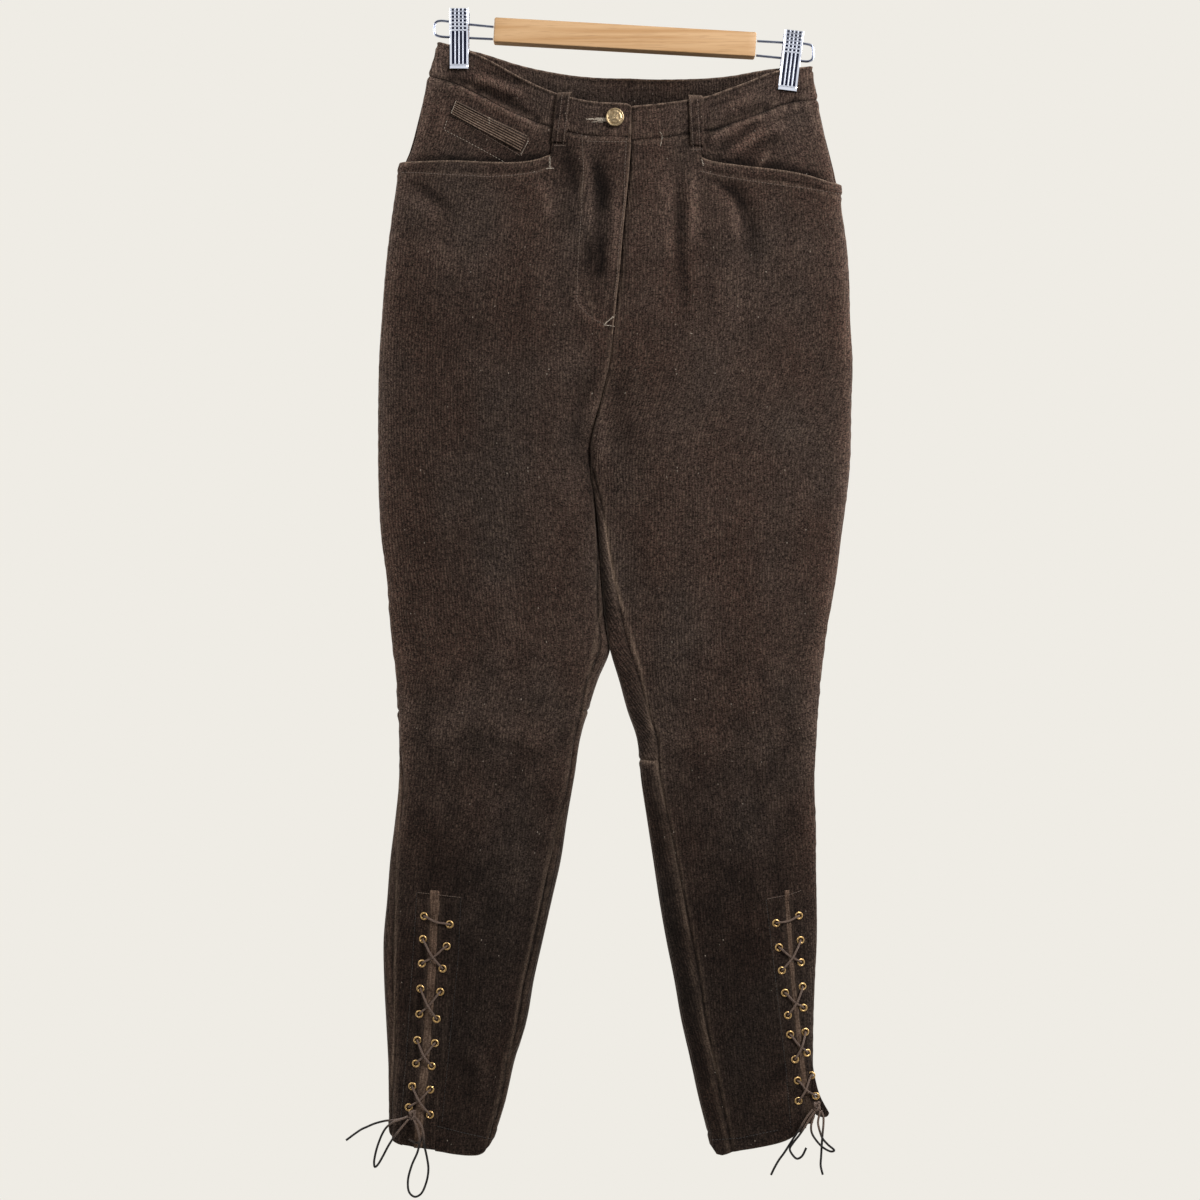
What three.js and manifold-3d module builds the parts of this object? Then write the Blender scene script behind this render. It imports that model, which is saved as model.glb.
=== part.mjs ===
// Lace-up corduroy pants held by the waistband on a clip hanger.
//
// Frame: millimetres, +Z up, the front of the garment faces -Y, and -X is the wearer's right.
// The origin is the middle of the top face of the hanger's wooden bar. Heights are written as
// "drop", the distance below the origin, because every piece hangs from there.
//
// Each leg is a closed ring in plan at every drop, worked out from SECTIONS. A place on the
// ring is s: 0 at the outer side fold, 1 at the inner fold (or the centre seam above the
// crotch), positive on the front and negative on the back.

import * as THREE from 'three';
import { mergeVertices } from 'three/addons/utils/BufferGeometryUtils.js';
import Module from 'manifold-3d';

const wasm = await Module();
wasm.setup();

// ---------------------------------------------------------------- driving dimensions

const CLOTH = 1.4;            // wall of one layer of corduroy
const PLY_GAP = 0.4;          // air between two layers that lie on each other
const SEAM_GAP = 0.3;         // distance between two pieces at a seam
const BAND = { width: 33, thickness: 3.0, lift: 0.8 };
const POCKET = { end: 0.64, underlap: 16, gape: 3, gapeDepth: 30 };
const FOLD = 0.14;            // share of the ring's half that turns the side fold
const KNEE_SEAM = { right: 684, left: 733 };
const BUTTON = { diameter: 18, thickness: 3.2, x: -10.5, drop: 98 };
const LOOP = { width: 14, thickness: 2.0, clearance: 2.6, overhang: 3 };
const EYELET = { outer: 8.5, hole: 4.6, rim: 0.9, sides: 7 };
const PLACKET = { thickness: 2.4, lift: 0.5, flare: 0.35 };
const GUSSET = { thickness: 1.4, depth: 5.6, margin: 6 };
const LACE = { diameter: 2.2, sides: 8 };
const HANGER = { length: 261.6, height: 24.3, depth: 17, tilt: 3.26, wire: 2.4 };

const SIDES = { right: -1, left: 1 };

const named = (columns) => (row) => Object.fromEntries(columns.map((name, i) => [name, row[i]]));

// Outline and depth of the garment. outer and inner are X of the side folds and of the centre
// line or inseam folds; edge is the radius of the side fold; front and back are how far the
// middle of the cloth bows out; fork goes from one torso (0) to two legs (1); pinch is how much
// the hanger's clips press the layers together.
const SECTIONS = [
  [16, -186.5, 5.5, 5.5, 184.5, 3.8, 25, 34, 0, 1],
  [40, -193.5, 5.5, 5.5, 185.5, 3.8, 26, 35, 0, 1],
  [63, -200, 5.5, 5.5, 189.5, 4, 26, 36, 0, 1],
  [93, -207.5, 5.5, 5.5, 195.5, 5, 26, 37, 0, 0.6],
  [123, -215.5, 5, 5, 203.5, 6, 25, 38, 0, 0.2],
  [153, -227, 3, 3, 210.5, 7, 25, 38, 0, 0],
  [213, -236.5, -3, -3, 220.5, 8, 25, 38, 0, 0],
  [253, -240.5, -6.5, -6.5, 223.5, 9, 24, 37, 0, 0],
  [293, -243.5, -11, -11, 224.5, 9, 24, 36, 0, 0],
  [333, -246.5, -15, -15, 226.5, 9, 22, 34, 0.1, 0],
  [373, -247.5, -23.5, -23.5, 225.5, 9, 20, 31, 0.45, 0],
  [413, -247.5, -33.5, -33.5, 225, 9, 19, 28, 0.85, 0],
  [440, -247.5, -34.4, -33.6, 223.5, 9, 18, 25, 1, 0],
  [473, -246.5, -30, -29.2, 220.5, 9, 17, 23, 1, 0],
  [513, -243.5, -26.4, -25.6, 215.5, 9, 16, 22, 1, 0],
  [553, -238.5, -23.9, -23.1, 210.5, 9, 15, 20, 1, 0],
  [593, -235.5, -19.9, -19.1, 203.5, 8, 15, 19, 1, 0],
  [622, -232.5, -16.4, -14.6, 199, 8, 14, 18, 1, 0],
  [653, -229.5, -27.5, -6.5, 195.5, 8, 13, 17, 1, 0],
  [683, -227.5, -37, 1.5, 192.5, 8, 12, 16, 1, 0],
  [713, -226, -45.5, 11.5, 190.5, 7, 11, 15, 1, 0],
  [753, -226.5, -51.5, 15.5, 188.5, 7, 10, 14, 1, 0],
  [793, -230.5, -58.5, 21.5, 189.5, 7, 10, 14, 1, 0],
  [833, -235.5, -64.5, 27.5, 190.5, 7, 10, 15, 1, 0],
  [873, -238.5, -73.5, 33.5, 191.5, 7, 10, 15, 1, 0],
  [913, -242, -82.5, 40.5, 191.5, 7, 10, 15, 1, 0],
  [953, -241.5, -91.5, 48.5, 189.5, 7, 10, 15, 1, 0],
  [993, -239.5, -98.5, 55.5, 188, 7, 9, 13, 1, 0],
  [1033, -237.5, -110.5, 64.5, 187.5, 7, 9, 12, 1, 0],
  [1073, -236.5, -119.5, 73.5, 187.5, 7, 8, 11, 1, 0],
  [1113, -235.5, -132, 83.5, 186.5, 7, 8, 10, 1, 0],
  [1135, -234.5, -137.5, 88.5, 185.5, 7, 8, 10, 1, 0],
].map(named(['drop', 'outerright', 'innerright', 'innerleft', 'outerleft',
  'edge', 'front', 'back', 'fork', 'pinch']));

// How far the back pieces wrap round the folds on to the front, at the side seam and inseam.
const WRAPS = [
  [0, 0, 0, 0, 0],
  [440, 0, 0.5, 0, 2],
  [500, 0, 3, 0, 7],
  [593, 0, 7, 0, 15],
  [653, 0, 10, 0, 20],
  [713, 1, 4, 0, 20],
  [753, 4, 4, 0, 19],
  [833, 6, 10, 0, 23],
  [913, 9, 9, 0, 26],
  [993, 8, 9, 0, 24],
  [1073, 3, 5, 0, 22],
  [1135, 2, 4, 0, 20],
].map(named(['drop', 'sideright', 'inseamright', 'sideleft', 'inseamleft']));

// Top edge of the waistband against the share of the way from the side to the centre.
const BAND_TOP = {
  frontright: [[0, 16], [0.17, 25], [0.3, 36], [0.47, 54.5], [0.63, 70], [0.8, 80.5], [1, 84]],
  frontleft: [[0, 40.3], [0.2, 45.5], [0.36, 56.5], [0.49, 66], [0.6, 74], [0.8, 81.5], [1, 86]],
  backright: [[0, 16], [0.24, 26], [0.44, 35.7], [0.67, 42], [0.82, 43.4], [1, 43.3]],
  backleft: [[0, 40.3], [0.2, 41.3], [0.45, 46.5], [0.71, 46.1], [1, 43.4]],
};

// Pocket mouths and hems, against the share of the way from the outer fold to the inner one.
const MOUTH = {
  right: [[0, 137.5], [0.2, 137.5], [0.45, 140.5], [0.57, 139], [0.66, 131]],
  left: [[0, 160], [0.18, 151], [0.45, 144], [0.6, 138.5], [0.66, 133]],
};
const HEM = {
  right: [[0, 1103], [0.04, 1113], [0.2, 1118], [0.45, 1123], [0.85, 1128], [0.95, 1124], [1, 1110]],
  left: [[0, 1101], [0.04, 1104], [0.3, 1116], [0.78, 1126], [0.95, 1127], [1, 1114]],
};

// Lacing: edges of the two plackets on each leg and the centre lines of the eyelets, as X.
const SLIT = {
  right: [
    [869, -208.5, -194.5, -184.5, -164.5],
    [913, -210, -195, -188, -168.5],
    [953, -212, -197.5, -189.5, -172],
    [993, -214, -200, -192.5, -175],
    [1048, -218, -205, -197, -180],
    [1078, -222, -208.5, -200.5, -184],
    [1130, -226.5, -210.5, -202.5, -187],
  ].map(named(['drop', 'outerEdge', 'outerLip', 'innerLip', 'innerEdge'])),
  left: [
    [869, 177.5, 162.5, 158.5, 140.5],
    [937, 180, 167.5, 162.8, 144],
    [991, 182, 173, 168.3, 150.5],
    [1034, 185.5, 178, 173.3, 157.5],
    [1067, 193, 183.5, 178, 162],
    [1092, 206, 191, 180, 164],
    [1130, 215, 199, 181, 165],
  ].map(named(['drop', 'outerEdge', 'outerLip', 'innerLip', 'innerEdge'])),
};
const PLACKET_END = {
  right: { outer: 1116, inner: 1120 },
  left: { outer: 1089, inner: 1114 },
};
const EYELETS = {
  rightouter: [[-200.3, 887.7], [-201.4, 910.5], [-202.5, 934.8], [-204, 959.7], [-205.1, 985.3],
    [-207.2, 1011.3], [-208.5, 1034.5], [-212.2, 1057], [-215.7, 1078.1]],
  rightinner: [[-174.7, 895.5], [-177.7, 917.2], [-181.9, 939.7], [-184.2, 962.7], [-187.9, 990],
    [-189.5, 1013.9], [-192.7, 1036.7], [-194.2, 1059.9], [-194.5, 1085.2]],
  leftinner: [[149.5, 894.5], [152.2, 918.5], [155.1, 941.5], [158.3, 964], [161.3, 986.5],
    [163.5, 1005.5], [168.5, 1030.5], [171, 1051.5], [172, 1072]],
  leftouter: [[172.5, 887.5], [174, 912], [174.5, 934.1], [176, 958.2], [177, 979.5],
    [178.8, 1003.5], [180.6, 1024.5], [185.2, 1047.1], [189.5, 1067.5]],
};

// ---------------------------------------------------------------- reading the tables

const clamp = (value, low, high) => Math.min(high, Math.max(low, value));
const mix = (a, b, share) => a + (b - a) * share;
const smooth = (share) => share * share * (3 - 2 * share);

// A cubic through the rows of a table, with slopes from the neighbours on both sides.
function curveThrough(xs, ys, at) {
  const x = clamp(at, xs[0], xs[xs.length - 1]);
  let i = 0;
  while (i < xs.length - 2 && x > xs[i + 1]) i += 1;
  const slope = (k) => {
    const a = Math.max(k - 1, 0);
    const b = Math.min(k + 1, xs.length - 1);
    return (ys[b] - ys[a]) / (xs[b] - xs[a]);
  };
  const span = xs[i + 1] - xs[i];
  const t = (x - xs[i]) / span;
  const t2 = t * t;
  const t3 = t2 * t;
  return (2 * t3 - 3 * t2 + 1) * ys[i] + (t3 - 2 * t2 + t) * span * slope(i)
    + (3 * t2 - 2 * t3) * ys[i + 1] + (t3 - t2) * span * slope(i + 1);
}

function sample(table, column, drop) {
  return curveThrough(table.map((row) => row.drop), table.map((row) => row[column]), drop);
}

function along(pairs, at) {
  return curveThrough(pairs.map((pair) => pair[0]), pairs.map((pair) => pair[1]), at);
}

// ---------------------------------------------------------------- the garment's surface

function section(side, drop) {
  const outer = sample(SECTIONS, `outer${side}`, drop);
  const inner = sample(SECTIONS, `inner${side}`, drop);
  return {
    outer,
    inner,
    width: Math.abs(inner - outer),
    edge: sample(SECTIONS, 'edge', drop),
    front: sample(SECTIONS, 'front', drop),
    back: sample(SECTIONS, 'back', drop),
    fork: clamp(sample(SECTIONS, 'fork', drop), 0, 1),
    pinch: clamp(sample(SECTIONS, 'pinch', drop), 0, 1),
  };
}

// Distance from the outer fold, in plan, of the place s (0 to 1) on the ring.
function reach(ring, s) {
  const turn = Math.PI / 2;
  if (s < FOLD) return ring.edge * (1 - Math.cos(turn * s / FOLD));
  const leg = s > 1 - FOLD
    ? ring.width - ring.edge * (1 - Math.cos(turn * (1 - s) / FOLD))
    : mix(ring.edge, ring.width - ring.edge, (s - FOLD) / (1 - 2 * FOLD));
  const torso = mix(ring.edge, ring.width, (s - FOLD) / (1 - FOLD));
  return mix(torso, leg, ring.fork);
}

// Depth of the cloth from the plane of the side seams at the place s.
function bow(ring, s, depth) {
  const turn = Math.PI / 2;
  const u = clamp(reach(ring, s) / ring.width, 0, 1);
  const torso = 1 - (1 - u) ** 2.4;
  const leg = 1 - Math.abs(2 * u - 1) ** 2.4;
  const pinched = Math.sin(turn * clamp((u - 0.22) / 0.78, 0, 1)) ** 1.5;
  const dome = mix(mix(torso, pinched, ring.pinch), leg, ring.fork);
  const outerFold = s < FOLD ? Math.sin(turn * s / FOLD) : 1;
  const innerFold = s > 1 - FOLD ? Math.sin(turn * (1 - s) / FOLD) : 1;
  return ring.edge * outerFold * mix(1, innerFold, ring.fork) + depth * dome;
}

// Point of the garment's surface; s runs past 1 on to the back, and below -1 on to the front.
function place(side, s, drop) {
  const ring = section(side, drop);
  let at = s;
  if (at > 1) at -= 2;
  if (at < -1) at += 2;
  const x = ring.outer + Math.sign(ring.inner - ring.outer) * reach(ring, Math.abs(at));
  const y = at >= 0 ? -bow(ring, at, ring.front) : bow(ring, -at, ring.back);
  return new THREE.Vector3(x, y, -drop);
}

// Outward direction of the cloth, level, at the same place.
function facing(side, s, drop) {
  const step = 0.004;
  const top = section(side, drop).fork < 1 ? 1 : 2;
  const ahead = place(side, clamp(s + step, -top, top), drop);
  const behind = place(side, clamp(s - step, -top, top), drop);
  const run = ahead.sub(behind);
  return new THREE.Vector3(run.y, -run.x, 0).normalize().multiplyScalar(-SIDES[side]);
}

// s of a point of the front that is `distance` away from the outer fold.
function shareAt(ring, distance) {
  let low = 0;
  let high = 1;
  for (let i = 0; i < 30; i += 1) {
    const middle = (low + high) / 2;
    if (reach(ring, middle) < distance) low = middle;
    else high = middle;
  }
  return (low + high) / 2;
}

function frontAt(side, x, drop) {
  return shareAt(section(side, drop), Math.abs(x - section(side, drop).outer));
}

// ---------------------------------------------------------------- solids from rows of points

const signedVolume = (points, faces) => faces.reduce((sum, [a, b, c]) => (
  sum + points[a].dot(points[b].clone().cross(points[c])) / 6
), 0);

function solidFrom(points, faces) {
  const outward = signedVolume(points, faces) > 0;
  const geometry = new THREE.BufferGeometry();
  geometry.setAttribute('position', new THREE.Float32BufferAttribute(
    points.flatMap((point) => [point.x, point.y, point.z]), 3));
  geometry.setIndex(faces.flatMap(([a, b, c]) => (outward ? [a, b, c] : [a, c, b])));
  return geometry;
}

// A closed wall between two grids of points of the same size, outer and inner.
function wallBetween(outer, inner) {
  const rows = outer.length;
  const columns = outer[0].length;
  const points = [...outer.flat(), ...inner.flat()];
  const out = (i, j) => i * columns + j;
  const back = (i, j) => rows * columns + i * columns + j;
  const faces = [];
  const quad = (a, b, c, d) => faces.push([a, b, c], [a, c, d]);
  for (let i = 0; i < rows - 1; i += 1) {
    for (let j = 0; j < columns - 1; j += 1) {
      quad(out(i, j), out(i, j + 1), out(i + 1, j + 1), out(i + 1, j));
      quad(back(i, j), back(i + 1, j), back(i + 1, j + 1), back(i, j + 1));
    }
    quad(out(i, 0), out(i + 1, 0), back(i + 1, 0), back(i, 0));
    quad(out(i, columns - 1), back(i, columns - 1), back(i + 1, columns - 1), out(i + 1, columns - 1));
  }
  for (let j = 0; j < columns - 1; j += 1) {
    quad(out(0, j), back(0, j), back(0, j + 1), out(0, j + 1));
    quad(out(rows - 1, j), out(rows - 1, j + 1), back(rows - 1, j + 1), back(rows - 1, j));
  }
  return solidFrom(points, faces);
}

// Draws a row's two ends in by half a seam's gap.
function trimmed(row) {
  const pull = (end, next) => end.clone().add(
    next.clone().sub(end).normalize().multiplyScalar(SEAM_GAP / 2));
  const last = row.length - 1;
  return [pull(row[0], row[1]), ...row.slice(1, last), pull(row[last], row[last - 1])];
}

// A piece of cloth on the garment's surface. stations gives s for each column at a drop, and
// dropAt(row, s) the drop of each row; lift moves the outer face out of the surface.
function clothPiece({ side, rows, stations, dropAt, thickness = CLOTH, lift = 0, shift }) {
  const outer = [];
  const inner = [];
  for (let i = 0; i < rows; i += 1) {
    const line = [];
    const lining = [];
    for (const column of stations) {
      const guess = dropAt(i, column(dropAt(i, 0.5)));
      const s = column(guess);
      const drop = dropAt(i, s);
      const point = place(side, s, drop);
      const out = facing(side, s, drop);
      if (shift) point.add(shift(s, drop));
      line.push(point.clone().addScaledVector(out, lift));
      lining.push(point.clone().addScaledVector(out, lift - thickness));
    }
    outer.push(trimmed(line));
    inner.push(trimmed(lining));
  }
  return wallBetween(outer, inner);
}

function toManifold(geometry) {
  const bare = geometry.clone();
  bare.deleteAttribute('normal');
  bare.deleteAttribute('uv');
  const merged = mergeVertices(bare, 1e-4);
  return new wasm.Manifold(new wasm.Mesh({
    numProp: 3,
    vertProperties: new Float32Array(merged.attributes.position.array),
    triVerts: new Uint32Array(merged.index.array),
  }));
}

function fromManifold(solid) {
  const mesh = solid.getMesh();
  const geometry = new THREE.BufferGeometry();
  geometry.setAttribute('position', new THREE.BufferAttribute(mesh.vertProperties, 3));
  geometry.setIndex(new THREE.BufferAttribute(mesh.triVerts, 1));
  return geometry;
}

// ---------------------------------------------------------------- the model

const FINISH = {
  corduroy: { color: 0x3a2a20, roughness: 0.95, metalness: 0 },
  tongue: { color: 0x4a382b, roughness: 0.95, metalness: 0 },
  brass: { color: 0xb08d57, roughness: 0.35, metalness: 1 },
  lace: { color: 0x3f2d22, roughness: 0.7, metalness: 0 },
  beech: { color: 0xc99860, roughness: 0.5, metalness: 0 },
  chrome: { color: 0xd5d8dc, roughness: 0.15, metalness: 1 },
};
const materials = Object.fromEntries(Object.entries(FINISH).map(
  ([name, look]) => [name, new THREE.MeshStandardMaterial(look)]));

const pants = new THREE.Group();

function add(name, geometry, finish) {
  const mesh = new THREE.Mesh(geometry, materials[finish]);
  mesh.name = name;
  pants.add(mesh);
  return mesh;
}

// ---------------------------------------------------------------- leg fronts and backs

const PANEL_DROPS = {
  right: [180, 215, 250, 290, 325, 350, 375, 400, 425, 450, 485, 525, 570, 615, 650,
    KNEE_SEAM.right, 735, 785, 835, 885, 935, 985, 1030, 1070],
  left: [180, 215, 250, 290, 325, 350, 375, 400, 425, 450, 485, 525, 570, 615, 650,
    690, KNEE_SEAM.left, 785, 835, 885, 935, 985, 1030, 1070],
};
const FRONT_COLUMNS = [0, FOLD / 2, FOLD, 0.27, 0.4, 0.53, POCKET.end - 0.008, POCKET.end + 0.008,
  0.76, 1 - FOLD, 1 - FOLD / 2, 1];
const BACK_INTERIOR = [0.24, 0.36, 0.48, 0.6, 0.73];

function seamShares(side, drop) {
  const ring = section(side, drop);
  const inseam = sample(WRAPS, `inseam${side}`, drop);
  return {
    side: shareAt(ring, sample(WRAPS, `side${side}`, drop)) * (drop > WRAPS[1].drop ? 1 : 0),
    inseam: drop > WRAPS[1].drop ? 1 - shareAt(ring, ring.width - inseam) : 0,
  };
}

function bandLower(side, face, u) {
  const table = BAND_TOP[`${face}${side}`];
  const step = 0.02;
  const width = Math.abs(section(side, 90).inner - section(side, 90).outer);
  const low = clamp(u - step, 0, 1);
  const high = clamp(u + step, 0, 1);
  const slope = (along(table, high) - along(table, low)) / ((high - low) * width);
  return along(table, u) + BAND.width * Math.hypot(1, slope);
}

function shareAcross(side, s, drop) {
  const ring = section(side, drop);
  return reach(ring, clamp(Math.abs(s), 0, 1)) / ring.width;
}

function frontTop(side, s) {
  if (s > POCKET.end) return bandLower(side, 'front', shareAcross(side, s, 110)) + SEAM_GAP;
  return along(MOUTH[side], shareAcross(side, s, 140));
}

function hem(side, s) {
  return along(HEM[side], shareAcross(side, s > 1 ? s - 2 : s, 1100));
}

// The mouth's edge stands away from the hip yoke behind it.
function gape(side) {
  return (s, drop) => {
    const below = (drop - along(MOUTH[side], shareAcross(side, s, 140))) / POCKET.gapeDepth;
    const open = POCKET.gape * (1 - smooth(clamp(below, 0, 1))) * (1 - smooth(clamp(s / POCKET.end, 0, 1)));
    return new THREE.Vector3(SIDES[side] * open * (s < FOLD ? 1 : 0.3), -open * 0.7, 0);
  };
}

// Cuts a slit's outline out of a leg front, with a seam's gap all round.
function slitCutter(side) {
  const drops = evenly(SLIT[side][0].drop, SLIT[side][SLIT[side].length - 1].drop, 12);
  const corner = (edge, gap) => (drop) => new THREE.Vector2(
    slitX(side, edge, drop) + SIDES[side] * gap, -drop);
  const outline = new THREE.Shape([
    ...drops.map(corner('outerEdge', 2 * SEAM_GAP)),
    ...[...drops].reverse().map(corner('innerEdge', -2 * SEAM_GAP)),
  ]);
  const depth = 60;
  const geometry = new THREE.ExtrudeGeometry(outline, { depth, bevelEnabled: false });
  geometry.rotateX(Math.PI / 2);
  geometry.translate(0, -0.6, 0);
  return geometry;
}

function legFront(side) {
  const drops = PANEL_DROPS[side];
  const rows = drops.length + 3;
  const stations = FRONT_COLUMNS.map((column) => (drop) => {
    const seams = seamShares(side, drop);
    return mix(seams.side, 1 - seams.inseam, column);
  });
  const dropAt = (row, s) => {
    if (row < 2) return mix(frontTop(side, s), drops[0], 0.45 * row);
    return row === rows - 1 ? hem(side, s) : drops[row - 2];
  };
  const panel = clothPiece({ side, rows, stations, dropAt, shift: gape(side) });
  return fromManifold(toManifold(panel).subtract(toManifold(slitCutter(side))));
}

// Columns of a back piece, from the side seam over the outer fold to past the inner one.
function backStations(side) {
  const share = (pick) => (drop) => pick(seamShares(side, drop));
  return [
    share((seams) => seams.side),
    share((seams) => (seams.side - FOLD / 2) / 2),
    () => -FOLD / 2,
    () => -FOLD,
    ...BACK_INTERIOR.map((s) => () => -s),
    () => -1 + FOLD,
    () => -1 + FOLD / 2,
    share((seams) => (-1 - seams.inseam - 1 + FOLD / 2) / 2),
    share((seams) => -1 - seams.inseam),
  ];
}

function legBack(side, upper) {
  const seam = KNEE_SEAM[side];
  const middle = PANEL_DROPS[side].filter((drop) => (upper ? drop < seam : drop > seam));
  const rows = middle.length + 2;
  const dropAt = (row, s) => {
    if (row > 0 && row < rows - 1) return middle[row - 1];
    if (upper) {
      return row === 0 ? bandLower(side, 'back', shareAcross(side, s, 90)) + SEAM_GAP : seam - SEAM_GAP / 2;
    }
    return row === 0 ? seam + SEAM_GAP / 2 : hem(side, s);
  };
  return clothPiece({ side, rows, stations: backStations(side), dropAt });
}

// ---------------------------------------------------------------- top of the pants

function hipYoke(side) {
  const columns = [...FRONT_COLUMNS.filter((s) => s < POCKET.end + 0.02), POCKET.end + 0.03];
  const rows = 4;
  const dropAt = (row, s) => mix(
    bandLower(side, 'front', shareAcross(side, s, 110)) + SEAM_GAP,
    along(MOUTH[side], shareAcross(side, Math.min(s, POCKET.end), 140)) + POCKET.underlap,
    row / (rows - 1));
  return clothPiece({
    side, rows, stations: columns.map((s) => () => s), dropAt, lift: -CLOTH - 2 * PLY_GAP,
  });
}

function bandPiece(side, face) {
  const sign = face === 'front' ? 1 : -1;
  const backColumns = [0, FOLD / 2, FOLD, ...BACK_INTERIOR, 1 - FOLD, 1 - FOLD / 2, 1];
  const columns = (face === 'front' ? FRONT_COLUMNS : backColumns).map((s) => () => sign * s);
  const dropAt = (row, s) => {
    const u = shareAcross(side, s, 70);
    const top = along(BAND_TOP[`${face}${side}`], u);
    return mix(top, bandLower(side, face, u), row / 2);
  };
  return clothPiece({
    side, rows: 3, stations: columns, dropAt, thickness: BAND.thickness, lift: BAND.lift,
  });
}

// The back of the waistband is one piece from side seam to side seam.
function bandBack() {
  const halves = ['right', 'left'].map((side) => toManifold(bandPiece(side, 'back')));
  const centre = place('right', -1, 60);
  const bridge = new THREE.BoxGeometry(2, BAND.thickness - 0.4, BAND.width - 1);
  bridge.translate(centre.x, centre.y + BAND.lift - BAND.thickness / 2, -(43.4 + BAND.width / 2));
  return fromManifold(halves[0].add(halves[1]).add(toManifold(bridge)));
}

// A strip that follows the surface between two X positions; a narrow piece in a few rows.
function strip({ side, face = 'front', drops, edges, columns = 3, thickness, lift }) {
  const sign = face === 'front' ? 1 : -1;
  const outer = [];
  const inner = [];
  for (const drop of drops) {
    const [from, to] = edges(drop);
    const line = [];
    const lining = [];
    for (let j = 0; j < columns; j += 1) {
      const x = mix(from, to, j / (columns - 1));
      const s = sign * frontAt(side, x, drop);
      const out = facing(side, s, drop);
      const point = place(side, s, drop);
      line.push(point.clone().addScaledVector(out, lift));
      lining.push(point.clone().addScaledVector(out, lift - thickness));
    }
    outer.push(line);
    inner.push(lining);
  }
  return wallBetween(outer, inner);
}

const evenly = (from, to, count) => Array.from(
  { length: count }, (_, i) => mix(from, to, i / (count - 1)));

// The ticket pocket: two welts with fine cords in them, framed, slanting down to the fly.
function ticketPocket() {
  const corner = { outerTop: [-169.5, 75], outerLow: [-174, 89.5], innerTop: [-97, 113.5], innerLow: [-104.5, 129.5] };
  const across = 9;
  const lengthwise = 6;
  const outer = [];
  const inner = [];
  for (let i = 0; i < lengthwise; i += 1) {
    const top = corner.outerTop.map((value, k) => mix(value, corner.innerTop[k], i / (lengthwise - 1)));
    const low = corner.outerLow.map((value, k) => mix(value, corner.innerLow[k], i / (lengthwise - 1)));
    const line = [];
    const lining = [];
    for (let j = 0; j < across; j += 1) {
      const [x, drop] = top.map((value, k) => mix(value, low[k], j / (across - 1)));
      const s = frontAt('right', x, drop);
      const out = facing('right', s, drop);
      const point = place('right', s, drop);
      const seat = -CLOTH - PLY_GAP + 1.0;
      const ridge = j % 2 === 1 ? 1.4 : 0.6;
      line.push(point.clone().addScaledVector(out, seat + ridge));
      lining.push(point.clone().addScaledVector(out, seat));
    }
    outer.push(line);
    inner.push(lining);
  }
  return wallBetween(outer, inner);
}

function flyFacing() {
  return strip({
    side: 'right',
    drops: evenly(120, 300, 6),
    edges: (drop) => [mix(-43, -50, (drop - 110) / 170) + 22 * smooth(clamp((drop - 250) / 50, 0, 1)),
      sample(SECTIONS, 'innerright', drop) - 1],
    columns: 3,
    thickness: CLOTH,
    lift: -CLOTH - 1.2,
  });
}

// A belt loop bridges the waistband: tacked flat at both ends, lifted off in between.
function beltLoop({ side, face, topX, lowX }) {
  const sign = face === 'front' ? 1 : -1;
  const spanAt = (x) => Math.abs(x - section(side, 80).outer) / section(side, 80).width;
  const top = along(BAND_TOP[`${face}${side}`], spanAt(topX)) - LOOP.overhang;
  const low = bandLower(side, face, spanAt(lowX)) + 14;
  const rises = [0, 0.12, 0.3, 0.6, 0.82, 1];
  const clear = [0.6, LOOP.clearance, LOOP.clearance, LOOP.clearance, LOOP.clearance, -0.3];
  const outer = [];
  const inner = [];
  rises.forEach((rise, i) => {
    const drop = mix(top, low, rise);
    const middle = mix(topX, lowX, rise);
    const line = [];
    const lining = [];
    for (const edge of [-1, 0, 1]) {
      const x = middle + edge * LOOP.width / 2;
      const s = sign * frontAt(side, x, drop);
      const out = facing(side, s, drop);
      const point = place(side, s, drop);
      const lift = BAND.lift + clear[i] + (edge === 0 ? 0.4 : 0);
      line.push(point.clone().addScaledVector(out, lift + LOOP.thickness));
      lining.push(point.clone().addScaledVector(out, lift));
    }
    outer.push(line);
    inner.push(lining);
  });
  return wallBetween(outer, inner);
}

function button() {
  const half = BUTTON.diameter / 2;
  const profile = [[0, 0], [3.2, 0], [3.2, 2], [half * 0.85, 2.2], [half, 3],
    [half, 4.2], [half * 0.8, 2 + BUTTON.thickness], [half * 0.7, 4.6], [0, 4.9]];
  const geometry = new THREE.LatheGeometry(profile.map(([r, h]) => new THREE.Vector2(r, h)), 14);
  const s = frontAt('right', BUTTON.x, BUTTON.drop);
  const out = facing('right', s, BUTTON.drop);
  geometry.applyQuaternion(new THREE.Quaternion().setFromUnitVectors(new THREE.Vector3(0, 1, 0), out));
  const seat = place('right', s, BUTTON.drop).addScaledVector(out, BAND.lift + SEAM_GAP);
  geometry.translate(seat.x, seat.y, seat.z);
  return geometry;
}

// ---------------------------------------------------------------- lacing

const slitX = (side, column, drop) => sample(SLIT[side], column, drop);

// Outer face of a placket, `across` from its sewn edge (0) to its lip (1). Where the placket
// runs past the side fold it leaves the leg and leans forward.
function placketPoint(side, part, across, drop) {
  const x = mix(slitX(side, `${part}Edge`, drop), slitX(side, `${part}Lip`, drop), across);
  const limit = SIDES[side] * section(side, drop).outer - 3.5;
  const kept = SIDES[side] * Math.min(SIDES[side] * x, limit);
  const point = place(side, frontAt(side, kept, drop), drop);
  point.x = x;
  point.y -= PLACKET.flare * Math.abs(x - kept);
  return point;
}

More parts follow.
